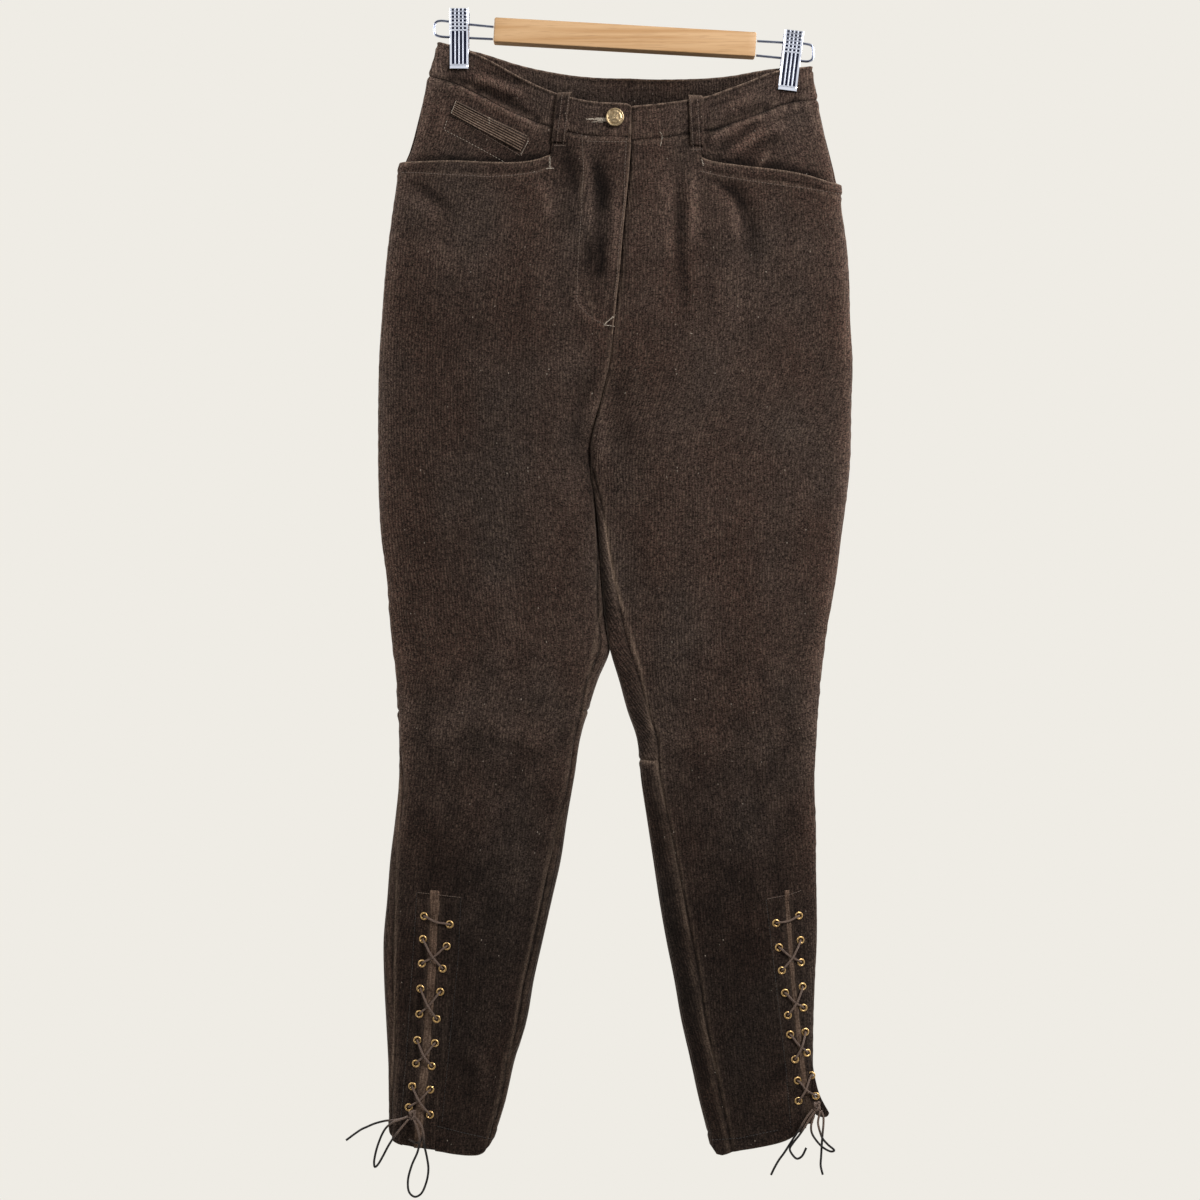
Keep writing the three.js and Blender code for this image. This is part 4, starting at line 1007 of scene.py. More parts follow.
@dataclass(frozen=True)
class Corduroy:
    """Needle corduroy: cotton pile cut in fine wales, brushed and worn.

    The eye gets fine upright lines that break up into specks, a dusty sheen where the cloth
    turns away, from the shader's sheen and from a painted highlight, and rubbed, paler pile along
    edges and seams. A value that the mesh carries adds painted shade in creases, seams and
    shadows and painted highlights on ridges, and the pile is painted darker towards the hems,
    painted shade for light that falls off down the legs.
    """

    name: str
    ridge: str = "#503d35"
    greyed: str = "#493d37"
    groove: str = "#1b1512"
    worn: str = "#8d7868"
    lint: str = "#a3978a"
    # How dark the pile is painted below the knees: painted shade for light that falls off down the legs.
    low_leg: float = 0.42
    # Real wales are 2.1 mm apart, too fine for the picture, so they are drawn 3.1 mm apart.
    wale: float = 3.1
    cut: float = 2.7
    pile_height: float = 0.45
    sheen: float = 0.2

    def make(self) -> Material:
        """Builds the material.

        Returns:
            What was made.
        """
        f = Finish(self.name, {"Roughness": 0.93, "IOR": 1.5, "Specular IOR Level": 0.08,
                               "Sheen Weight": self.sheen, "Sheen Roughness": 0.35,
                               "Sheen Tint": linear("#d8c8ba")})
        grain, here = f.attribute("grain").outputs["Vector"], f.here()
        wear, tone = (f.attribute(name).outputs["Fac"] for name in ("wear", "tone"))
        parts = f.add("SeparateXYZ", links={0: grain}).outputs

        def cells(source: Socket, size: Sequence[float], detail: float, rough: float = 0.5) -> Socket:
            """A noise whose cells have these sizes, in the source's unit."""
            return f.noise(f.scaled(source, [1 / c for c in size]), 1.0, detail, rough)

        def scatter(width: float, height: float) -> tuple[Socket, Sequence[Socket]]:
            """Random tufts of this size: distance from their middles, and three chances.

            Args:
                width: Cell width.
                height: Cell height.

            Returns:
                The distances, and the three chances.
            """
            tuft = f.add("TexVoronoi", {"Scale": 1.0},
                         {"Vector": f.scaled(grain, (1 / width, 1 / height, 1))}).outputs
            return tuft["Distance"], f.add("SeparateColor", links={0: tuft["Color"]}).outputs

        wander = f.math("MULTIPLY", cells(grain, (13, 34, 13), 2), self.wale * 1.6)
        waves = [f.math("SINE", f.math("MULTIPLY", f.math("ADD", parts[axis], wander),
                                       2 * math.pi / pitch))
                 for axis, pitch in (("X", self.wale), ("Y", self.cut))]
        wale = f.spread(waves[0], -1, 1)
        streak = cells(grain, (self.wale * 0.8, 9.0, 50), 2)
        speck = cells(grain, (1.35, 1.6, 50), 1, 0.6)
        mottle, cloud = cells(grain, (24, 36, 24), 3), cells(here, (0.085, 0.11, 0.13), 2)
        _, tuft = scatter(1.7, 2.0)
        pile = f.spread(wale, 0, 1, 0.27, 0.42)
        for layer in (f.spread(streak, 0.32, 0.68, -0.06, 0.07), f.spread(speck, 0.3, 0.7, -0.13, 0.15),
                      f.spread(tuft[0], 0, 1, -0.17, 0.19),
                      *(f.math("MULTIPLY", wave, f.spread(chance, 0, 1, -0.54, 0.54))
                        for wave, chance in zip(waves, (tuft[1], tuft[2])))):
            pile = f.math("ADD", pile, layer)
        hue = f.blend(f.spread(cloud, 0.35, 0.65), self.ridge, self.greyed)
        colour = f.blend(f.math("MAXIMUM", pile, 0.0), self.groove, hue)
        # Darker towards the hems: painted shade for light that falls off down the legs.
        fall = f.math("ADD", f.add("SeparateXYZ", links={0: here}).outputs["Z"],
                      f.spread(mottle, 0.3, 0.7, -0.05, 0.05))
        shade = f.spread(fall, -0.9, -0.62, self.low_leg, 1.0)
        for part in (f.spread(mottle, 0.25, 0.75, 0.82, 1.18), f.spread(cloud, 0.3, 0.7, 0.9, 1.1),
                     f.math("ADD", tone, 1.0)):
            shade = f.math("MULTIPLY", shade, part)
        toned = f.add("VectorMath", links={0: colour, "Scale": shade}, operation="SCALE").outputs[0]
        rub = f.math("ADD", f.math("MULTIPLY", wear, f.spread(speck, 0.34, 0.6, 0.3, 1.2)),
                     f.math("MULTIPLY", f.spread(tuft[1], 0.5, 1.0, 0.0, 0.13), shade), clamp=True)
        distance, chance = scatter(2.1, 2.9)
        lint = f.math("MULTIPLY", f.spread(chance[0], 0.992, 1.0, 0.0, 0.7),
                      f.math("LESS_THAN", distance, 0.26))
        colour = f.blend(lint, f.blend(rub, toned, self.worn), self.lint)
        return f.dressed({"Base Color": colour,
                          "Normal": f.bump(f.math("ADD", wale, speck), self.pile_height, 1.0)})


@dataclass(frozen=True)
class Thread:
    """Twisted polyester sewing thread, dull with a faint gloss along each twist."""

    name: str
    colour: str
    roughness: float = 0.6

    def make(self) -> Material:
        """Builds the material.

        Returns:
            What was made.
        """
        f = Finish(self.name, {"Roughness": self.roughness, "IOR": 1.5, "Sheen Weight": 0.2})
        bright = linear(self.colour)
        low = (*(c * 0.6 for c in bright[:3]), 1.0)
        return f.dressed({"Base Color": f.blend(f.noise(f.here(), 900.0, 1.0), low, bright)})


@dataclass(frozen=True)
class WaxedLace:
    """Braided cotton lace rubbed with wax: dark, with a slanting braid and a low gloss.

    The free ends are painted blacker from a little past the knot, a painted shade; the attribute "fade"
    says where.
    """

    name: str = "waxed_lace"
    colour: str = "#3a2d27"
    light: str = "#7c685c"
    # Colour of the painted shade on the free ends.
    ends: str = "#120e0c"

    def make(self) -> Material:
        """Builds the material.

        Returns:
            What was made.
        """
        f = Finish(self.name, {"Roughness": 0.6, "IOR": 1.47, "Specular IOR Level": 0.3})
        braid = f.add("TexWave", {"Scale": 1.0, "Distortion": 0.6, "Detail": 1.0},
                      {"Vector": f.attribute("grain").outputs["Vector"]},
                      bands_direction="DIAGONAL").outputs[1]
        colour = f.blend(f.attribute("fade").outputs["Fac"],
                         f.blend(braid, self.colour, self.light), self.ends)
        return f.dressed({"Base Color": colour, "Normal": f.bump(braid, 0.15, 0.7)})


@dataclass(frozen=True)
class AgedMetal:
    """Plated metal: a base colour, darker tarnish in clouds, and fine scratches in its gloss."""

    name: str
    colour: str
    tarnish: str
    roughness: float
    amount: float = 0.5
    cloud: float = 260.0

    def make(self) -> Material:
        """Builds the material.

        Returns:
            What was made.
        """
        f = Finish(self.name, {"Metallic": 1.0, "Roughness": self.roughness})
        cloud = f.noise(f.here(), self.cloud, 4.0)
        stain = f.spread(cloud, 0.4, 0.65, 0.0, self.amount)
        return f.dressed({
            "Base Color": f.blend(stain, self.colour, self.tarnish),
            "Roughness": f.spread(cloud, 0.3, 0.7, self.roughness * 0.8, self.roughness * 1.5)})


@dataclass(frozen=True)
class Beech:
    """Planed, oiled beech: warm, with long faint grain and small dark flecks."""

    name: str = "oiled_beech"
    light: str = "#cba57b"
    dark: str = "#b98f62"
    fleck: str = "#96704a"

    def make(self) -> Material:
        """Builds the material.

        Returns:
            What was made.
        """
        f = Finish(self.name, {"Roughness": 0.5, "IOR": 1.5, "Specular IOR Level": 0.3})
        here = f.here()
        bands, flecks = (f.noise(f.scaled(here, stretch), 1.0, detail, distortion=0.3)
                         for stretch, detail in (((7, 260, 260), 5.0), ((45, 1400, 1400), 1.0)))
        base = f.blend(f.spread(bands, 0.38, 0.66), self.light, self.dark)
        colour = f.blend(f.spread(flecks, 0.58, 0.8, 0.0, 0.7), base, self.fleck)
        return f.dressed({"Base Color": colour, "Normal": f.bump(flecks, 0.1, 0.2)})


class Wardrobe:
    """Every finish of the pants and the hanger, made once."""

    def __init__(self) -> None:
        """Makes the materials."""
        self.corduroy = Corduroy("brown_corduroy").make()
        self.gusset = Corduroy("gusset_corduroy", ridge="#665245", greyed="#5c4d42", groove="#3b2e26",
                               low_leg=0.8, sheen=0.35).make()
        self.topstitch = Thread("topstitch_thread", "#6a5648").make()
        self.dark_thread = Thread("dark_thread", "#1e1713").make()
        self.pale_thread = Thread("pale_thread", "#c4b6a4").make()
        self.lace = WaxedLace().make()
        self.brass = AgedMetal("polished_brass", "#dcb67c", "#8f6f3f", 0.3, 0.45).make()
        self.antique = AgedMetal("antique_brass", "#c2ab86", "#6f5a3e", 0.38, 0.75, 420.0).make()
        self.beech = Beech().make()
        self.chrome = AgedMetal("chromed_steel", "#dfe3ee", "#b0b6c6", 0.12, 0.3, 90.0).make()
        self.wire = AgedMetal("drawn_steel", "#a9afc0", "#747a90", 0.2, 0.5, 90.0).make()


# ---- making meshes

class Trim(Enum):
    """How the border of a cut piece is finished."""

    SEAM = "sewn to its neighbour"
    FOLDED = "turned under and stitched"
    RAW = "hidden or plain"


PLAIN = dict.fromkeys(("top", "foot", "start", "end"), Trim.RAW)
# The drop where the rows of a leg give way to those of its hem, the shares of those last rows,
# and stations and rows near an edge, where they lie close together.
BODY_END = 1096.0
HEM_ROWS = 1 - np.array([13, 10.4, 8, 6, 4.4, 3, 2, 1.2, 0.5, 0]) / 13
EDGE_STATIONS = (0, 0.0025, 0.007, 0.014, 0.024, 0.038)
EDGE_ROWS = np.array([0, 0.25, 0.7, 1.4, 2.4, 3.8])


def make_object(name: str, points: Array, faces: Array | list, material: Material,
                slot: str, attributes: dict[str, Array] | None = None,
                replaces: Sequence[str] = ()) -> Object:
    """Makes a smooth mesh piece that rides on the body.

    Args:
        name: The piece's name.
        points: Vertices in millimetres.
        faces: Vertex numbers of each face.
        material: Its finish.
        slot: Not used.
        attributes: Values for each vertex, by name.
        replaces: CAD nodes that it stands for.

    Returns:
        The new object.
    """
    mesh = bpy.data.meshes.new(name)
    mesh.from_pydata((points * MM).tolist(), [], [list(map(int, f)) for f in faces])
    for key, values in (attributes or {}).items():
        kind = "FLOAT_VECTOR" if values.ndim == 2 else "FLOAT"
        layer = mesh.attributes.new(key, kind, "POINT")
        layer.data.foreach_set("vector" if values.ndim == 2 else "value",
                               np.ascontiguousarray(values, np.float32).ravel())
    mesh.materials.append(material)
    mesh.shade_smooth()
    made = bpy.data.objects.new(name, mesh)
    bpy.context.scene.collection.objects.link(made)
    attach(made, "root")
    if replaces:
        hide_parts(*replaces)
    return made


def closed_sheet(outer: Array, inner: Array, keep: Array | None = None) -> tuple[Array, Array, Array]:
    """Joins two grids of points into one closed wall.

    Args:
        outer: Rows by columns of points of the outer face.
        inner: The same places on the inner face.
        keep: Which cells there are, all by default.

    Returns:
        The points, the faces, and the number in the grid of each point.
    """
    rows, columns = outer.shape[:2]
    keep = np.ones((rows - 1, columns - 1), bool) if keep is None else keep
    count = rows * columns
    index = np.arange(count).reshape(rows, columns)
    a, b, c, d = index[:-1, :-1], index[:-1, 1:], index[1:, 1:], index[1:, :-1]
    top = np.stack([a, b, c, d], -1)[keep]
    parts = [top, top[:, ::-1] + count]
    padded = np.pad(keep, 1)
    for (down, right), (p, q) in (((-1, 0), (a, b)), ((0, 1), (b, c)),
                                  ((1, 0), (c, d)), ((0, -1), (d, a))):
        bare = keep & ~padded[1 + down:rows + down, 1 + right:columns + right]
        p_, q_ = p[bare], q[bare]
        parts.append(np.stack([q_, p_, p_ + count, q_ + count], -1))
    faces = np.concatenate(parts)
    points = np.concatenate([outer.reshape(-1, 3), inner.reshape(-1, 3)])
    corners = points[faces]
    volume = (np.einsum("ij,ij->i", corners[:, 0], np.cross(corners[:, 1], corners[:, 2]))
              + np.einsum("ij,ij->i", corners[:, 0], np.cross(corners[:, 2], corners[:, 3]))).sum()
    if volume < 0:
        faces = faces[:, ::-1]
    used, compact = np.unique(faces, return_inverse=True)
    return points[used], compact.reshape(faces.shape), used


@dataclass
class Sheet:
    """A piece of cloth as a grid of points on its outer face, named as its CAD node."""

    name: str
    points: Array
    outward: Array
    flat: tuple[float, float]
    area: float | None = None
    thickness: float = CLOTH
    top: Trim = Trim.SEAM
    foot: Trim = Trim.SEAM
    start: Trim = Trim.SEAM
    end: Trim = Trim.SEAM
    stitch_at: float = MOUTH_STITCH
    mouth_until: int | None = None
    fly_until: int | None = None
    relief: float = 1.0
    wale_lean: float = 0.0
    wales_level: bool = False
    centre: int | None = None
    across: Array | None = None
    keep: Array | None = None
    press: Array | float = 0.0
    rub: Array | float = 0.0
    # Painted light and shade with some random tone; inside is painted shade added on the inner face.
    tone: Array | float = 0.0
    inside: Array | float = -0.15
    pucker: float = 1.0
    held: str = "hung"
    slot: str = "corduroy"

    def borders(self) -> dict[str, tuple[Array, Array]]:
        """Distance from each border, and distance along that border, at every point.

        Returns:
            Both distances, by border.
        """
        right = np.linalg.norm(np.diff(self.points, axis=1), axis=2)
        down = np.linalg.norm(np.diff(self.points, axis=0), axis=2)
        across = np.concatenate([np.zeros((len(right), 1)), np.cumsum(right, 1)], 1)
        below = np.concatenate([np.zeros((1, down.shape[1])), np.cumsum(down, 0)], 0)
        return {"top": (below, across), "foot": (below[-1:] - below, across),
                "start": (across, below), "end": (across[:, -1:] - across, below)}

    def sewn(self, gap: Array, wave: Array) -> tuple[Array, Array, Array]:
        """Height, wear and painted light beside a seam: a valley with a puckered swell next to it, painted
        shade in the valley and a painted highlight on the swell.

        Args:
            gap: Distance from the border.
            wave: An aimless swell along the border.

        Returns:
            Height, wear and painted light and shade.
        """
        valley = np.exp(-(gap / 1.5) ** 2)
        swell = np.exp(-((gap - 4.4) / 2.8) ** 2)
        return ((0.5 + 0.3 * wave) * swell - 0.8 * valley,
                (0.1 + 0.07 * wave) * np.exp(-((gap - 3.4) / 1.8) ** 2),
                0.1 * swell * (1 + 0.8 * wave) - 0.3 * valley)

    def turned_under(self, gap: Array, wave: Array, at: float) -> tuple[Array, Array, Array]:
        """Height, wear and painted light beside a folded edge, with its row of stitches: painted
        highlights on the edge and on the swell beyond the stitches, painted shade in the stitched valley,
        and a lighter band on a pocket's welt.

        Args:
            gap: Distance from the border.
            wave: An aimless swell along the border.
            at: How far in the stitches are.

        Returns:
            Height, wear and painted light and shade.
        """
        stitched = np.exp(-((gap - at) / 1.5) ** 2)
        doubled = 1 - smooth((gap - at + 2) / 4)
        beyond = np.exp(-((gap - at - 3.6) / 2.2) ** 2)
        edge = np.exp(-(gap / 1.5) ** 2)
        band = np.exp(-((gap - at * 0.5) / 2.0) ** 2)
        rubbed = {MOUTH_STITCH: 0.62, FLY_STITCH: 0.4, BAND_STITCH: 0.55}.get(at, 0.08)
        return ((0.9 + 0.2 * wave) * doubled - 0.9 * stitched + (0.35 + 0.3 * wave) * beyond,
                np.clip(rubbed + 0.25 * wave * (rubbed > 0.1), 0, 1) * edge
                + (0.1 + 0.1 * wave) * beyond * (at == MOUTH_STITCH),
                0.1 * edge + 0.2 * band * (at == MOUTH_STITCH) - 0.34 * stitched * (1 + 0.4 * wave)
                + 0.16 * beyond)

    def finished(self) -> tuple[Array, Array, Array, Array]:
        """How the borders press the cloth, how they round it, and their wear and painted light and shade.

        Returns:
            Press, rounding, wear, and painted light and shade with the piece's own tone.
        """
        shape = self.points.shape[:2]
        press, wear = np.zeros(shape) + self.press, np.zeros(shape) + self.rub
        tone, rounding = np.zeros(shape) + self.tone, np.zeros(shape)
        for seed, (name, (gap, run)) in enumerate(self.borders().items()):
            trim = getattr(self, name)
            wave = self.pucker * ripple(run, run * 0, 8.5, seed + 11, 4)
            folded = np.full(shape, trim is Trim.FOLDED)
            if name == "top" and self.mouth_until is not None:
                folded[:, self.mouth_until:] = False
            if name == "end" and self.fly_until is not None:
                folded[self.fly_until:] = False
            if trim is not Trim.RAW:
                at = {"end": min(self.stitch_at, FLY_STITCH), "foot": HEM_STITCH}.get(name, self.stitch_at)
                parts = [self.relief * np.where(folded, a, b) for a, b in
                         zip(self.turned_under(gap, wave, at), self.sewn(gap, wave))]
                press, wear, tone = press + parts[0], np.maximum(wear, parts[1]), tone + parts[2]
            radius = np.where(folded | (trim is Trim.RAW), self.thickness * 0.62, 0.35)
            turned = 1 - np.clip(gap / radius, 0, 1)
            rounding = np.maximum(rounding, radius * 0.8 * (1 - np.sqrt(np.clip(1 - turned ** 2, 0, 1))))
        return press, rounding, np.clip(wear, 0, 1), np.clip(tone, -0.78, 1.3)

    def grain(self) -> Array:
        """Position across and along the wales, in millimetres.

        Returns:
            The positions.
        """
        borders = self.borders()
        across, below = borders["start"][0], borders["top"][0]
        middle = self.points.shape[1] // 2 if self.centre is None else self.centre
        across = across - across[:, middle:middle + 1]
        if self.across is not None:
            across, below = self.across, -self.points[..., 2]
        if self.wales_level:
            across, below = below, across
        lean = math.radians(self.wale_lean)
        return np.stack([across * math.cos(lean) + below * math.sin(lean),
                         below * math.cos(lean) - across * math.sin(lean),
                         np.zeros(across.shape)], -1)

    def sew(self, material: Material) -> Object:
        """Makes the piece that stands for its CAD node, and says what it was cut to.

        Args:
            material: Its finish.

        Returns:
            The new object.
        """
        press, rounding, wear, tone = self.finished()
        outer = self.points + self.outward * (press - rounding)[..., None]
        inner = self.points + self.outward * (press - self.thickness + rounding)[..., None]
        points, faces, used = closed_sheet(outer, inner, self.keep)
        twice = lambda values: np.concatenate([values, values])[used]
        made = make_object(f"{self.name}_cloth", points, faces, material, self.slot, {
            "grain": twice(self.grain().reshape(-1, 3)), "wear": twice(wear.ravel()),
            "tone": np.concatenate([tone.ravel(), (tone + self.inside).ravel()])[used]},
            (self.name,))
        LOG.info("%s: %d faces, cut %.0f by %.0f mm", self.name, len(faces), *self.flat)
        return made


def worn_streaks(points: Array) -> Array:
    """Strength of the rubbed streaks at points of the front.

    Args:
        points: The points, in millimetres.

    Returns:
        Wear, 0 to 1.
    """
    total = np.zeros(points.shape[:2])
    front = points[..., 1] < 0
    for stroke in WORN:
        felt = stroke.strength(points[..., 0], -points[..., 2], -20.0)
        total = np.maximum(total, np.where(front, felt, 0))
    return total


# ---- legs

@dataclass
class LegPanels:
    """The front and the two back pieces of one leg, from the waistband to the hem."""

    side: Side
    wardrobe: Wardrobe
    step: float = 3.5
    cloth: list[Object] = field(default_factory=list)

    def gape(self, s: Array, drop: Array) -> Array:
        """The pocket's mouth stands off the hip yoke behind it.

        Args:
            s: Places round the half.
            drop: Heights, as drops.

        Returns:
            The offsets.
        """
        below = (drop - GARMENT.mouth(self.side, s)) / 26.0
        opened = 3.4 * (1 - smooth(below)) * (1 - smooth((s - 0.3) / (POCKET_END - 0.3)))
        wide = np.where(s < FOLD, 0.85, 0.2)
        return np.stack([self.side.sign * opened * wide, -opened, opened * 0], -1)

    def fly(self, s: Array, drop: Array) -> Array:
        """The right front laps over the left one down to the end of the fly.

        Args:
            s: Places round the half.
            drop: Heights, as drops.

        Returns:
            The heights.
        """
        from_centre = (1 - s) * GARMENT.ring(self.side, drop).width
        down = 1 - smooth((drop - FLY_END + 34) / 34)
        if self.side is Side.RIGHT:
            return down * (2.2 * (1 - smooth((from_centre - 5) / 34)))
        return down * (-1.2 * (1 - smooth(from_centre / 10)))

    def front(self) -> None:
        """The leg front, with the pocket mouth, the slit for the lacing and the hem."""
        side = self.side
        u = ladder(1.0, 0.0148, EDGE_STATIONS)
        u = np.unique(np.concatenate([u, POCKET_END + np.array([-0.004, -0.001, 0.001, 0.004])]))
        zone_foot, zone_depth = 180.0, 45
        zone = np.concatenate([EDGE_ROWS / zone_depth, np.linspace(5.4 / zone_depth, 1, 15)])
        body = np.arange(zone_foot + 3.3, BODY_END, self.step)
        s = np.broadcast_to(u, (len(zone) + len(body) + len(HEM_ROWS), len(u))).copy()
        drop = np.zeros(s.shape)
        top = np.where(u > POCKET_END, GARMENT.band_foot(side, "front", u), GARMENT.mouth(side, u))
        drop[:len(zone)] = mix(top, zone_foot, zone[:, None])
        drop[len(zone):len(zone) + len(body)] = body[:, None]
        low = body[-1] + 1.2
        for _ in range(2):
            seam, inseam = GARMENT.seam_shares(side, drop)
            s = mix(seam, 1 - inseam, u)
            hem = GARMENT.hem(side, s[-1])
            drop[len(zone) + len(body):] = mix(low, hem, HEM_ROWS[:, None])
        points, outward = GARMENT.surface(side, s, drop, self.fly(s, drop))
        points = points + self.gape(s, drop)
        read = lambda name: column(SLIT[side], SLIT_COLUMNS, name, drop)
        inset = 2.2
        low_x, high_x = np.sort([read("outerEdge"), read("innerEdge")], axis=0)
        inside = ((points[..., 0] > low_x + inset) & (points[..., 0] < high_x - inset)
                  & (drop > SLIT_TOP + inset))
        corner = inside[:-1, :-1] & inside[1:, :-1] & inside[:-1, 1:] & inside[1:, 1:]
        middle = np.full(s.shape, 0.5)
        sheet = Sheet(
            f"front_{side.value}", points, outward, (275, 1010),
            area=0.205e6, foot=Trim.FOLDED, top=Trim.FOLDED, keep=~corner,
            mouth_until=int(np.searchsorted(u, POCKET_END)), rub=worn_streaks(points),
            across=GARMENT.arc(side, s, drop) - GARMENT.arc(side, middle, drop), pucker=0.45,
            end=Trim.FOLDED if side is Side.RIGHT else Trim.SEAM,
            fly_until=int((drop[:, -1] < FLY_END).sum()), tone=GARMENT.tone(side, s, drop))
        self.cloth.append(sheet.sew(self.wardrobe.corduroy))

    def back_shares(self, u: Array, drop: Array) -> Array:
        """s for stations from the side seam over the seat to the inseam.

        Args:
            u: Stations across the piece, 0 to 1.
            drop: Heights, as drops.

        Returns:
            The places.
        """
        seam, inseam = GARMENT.seam_shares(self.side, drop)
        ends = 0.07
        first = mix(seam, -FOLD / 2, np.clip(u / ends, 0, 1))
        middle = mix(-FOLD / 2, -1 + FOLD / 2, np.clip((u - ends) / (1 - 2 * ends), 0, 1))
        last = mix(-1 + FOLD / 2, -1 - inseam, np.clip((u - 1 + ends) / ends, 0, 1))
        return np.where(u < ends, first, np.where(u > 1 - ends, last, middle))

    def back(self, upper: bool) -> None:
        """One of the two back pieces, above or below the knee seam.

        Args:
            upper: Whether it is the piece above the knee.
        """
        side = self.side
        seam = KNEE_SEAM[side]
        u = ladder(1.0, 0.0155, (0, 0.002, 0.006, 0.012, 0.02, 0.032, 0.05, 0.07))
        fine = EDGE_ROWS
        if upper:
            body = np.arange(110.0, seam - 4.5, self.step + 0.3)
            start = GARMENT.band_foot(side, "back", np.where(u > 0, -u, 0), 90)
            head = mix(start, 107.0, (fine / 30)[:, None])
            tail = np.broadcast_to((seam - fine[::-1])[:, None], (len(fine), len(u)))
        else:
            body = np.arange(seam + 5.5, BODY_END, self.step + 0.3)
            head = np.broadcast_to((seam + fine)[:, None], (len(fine), len(u)))
            tail = None
        drop = np.concatenate([head, np.broadcast_to(body[:, None], (len(body), len(u)))])
        if tail is not None:
            drop = np.concatenate([drop, tail])
            s = self.back_shares(u, drop)
        else:
            foot = HEM_ROWS
            rest = np.broadcast_to(mix(body[-1] + 1.2, 1120, foot)[:, None], (len(foot), len(u)))
            drop = np.concatenate([drop, rest])
            for _ in range(2):
                s = self.back_shares(u, drop)
                hem = GARMENT.hem(side, s[-1])
                drop = np.concatenate([drop[:-len(foot)], mix(body[-1] + 1.2, hem, foot[:, None])])
        points, outward = GARMENT.surface(side, s, drop)
        name = f"back_{'upper' if upper else 'lower'}_{side.value}"
        lean = (-14 if side is Side.LEFT else 12) if upper else 3
        sheet = Sheet(
            name, points, outward, (300, seam - 60) if upper else (230, 1130 - seam),
            area=(290 * (seam - 75) * 0.93) if upper else 205 * (1120 - seam),
            foot=Trim.SEAM if upper else Trim.FOLDED, wale_lean=lean,
            rub=worn_streaks(points), tone=GARMENT.tone(side, s, drop), pucker=0.45)
        self.cloth.append(sheet.sew(self.wardrobe.corduroy))


# ---- top of the pants

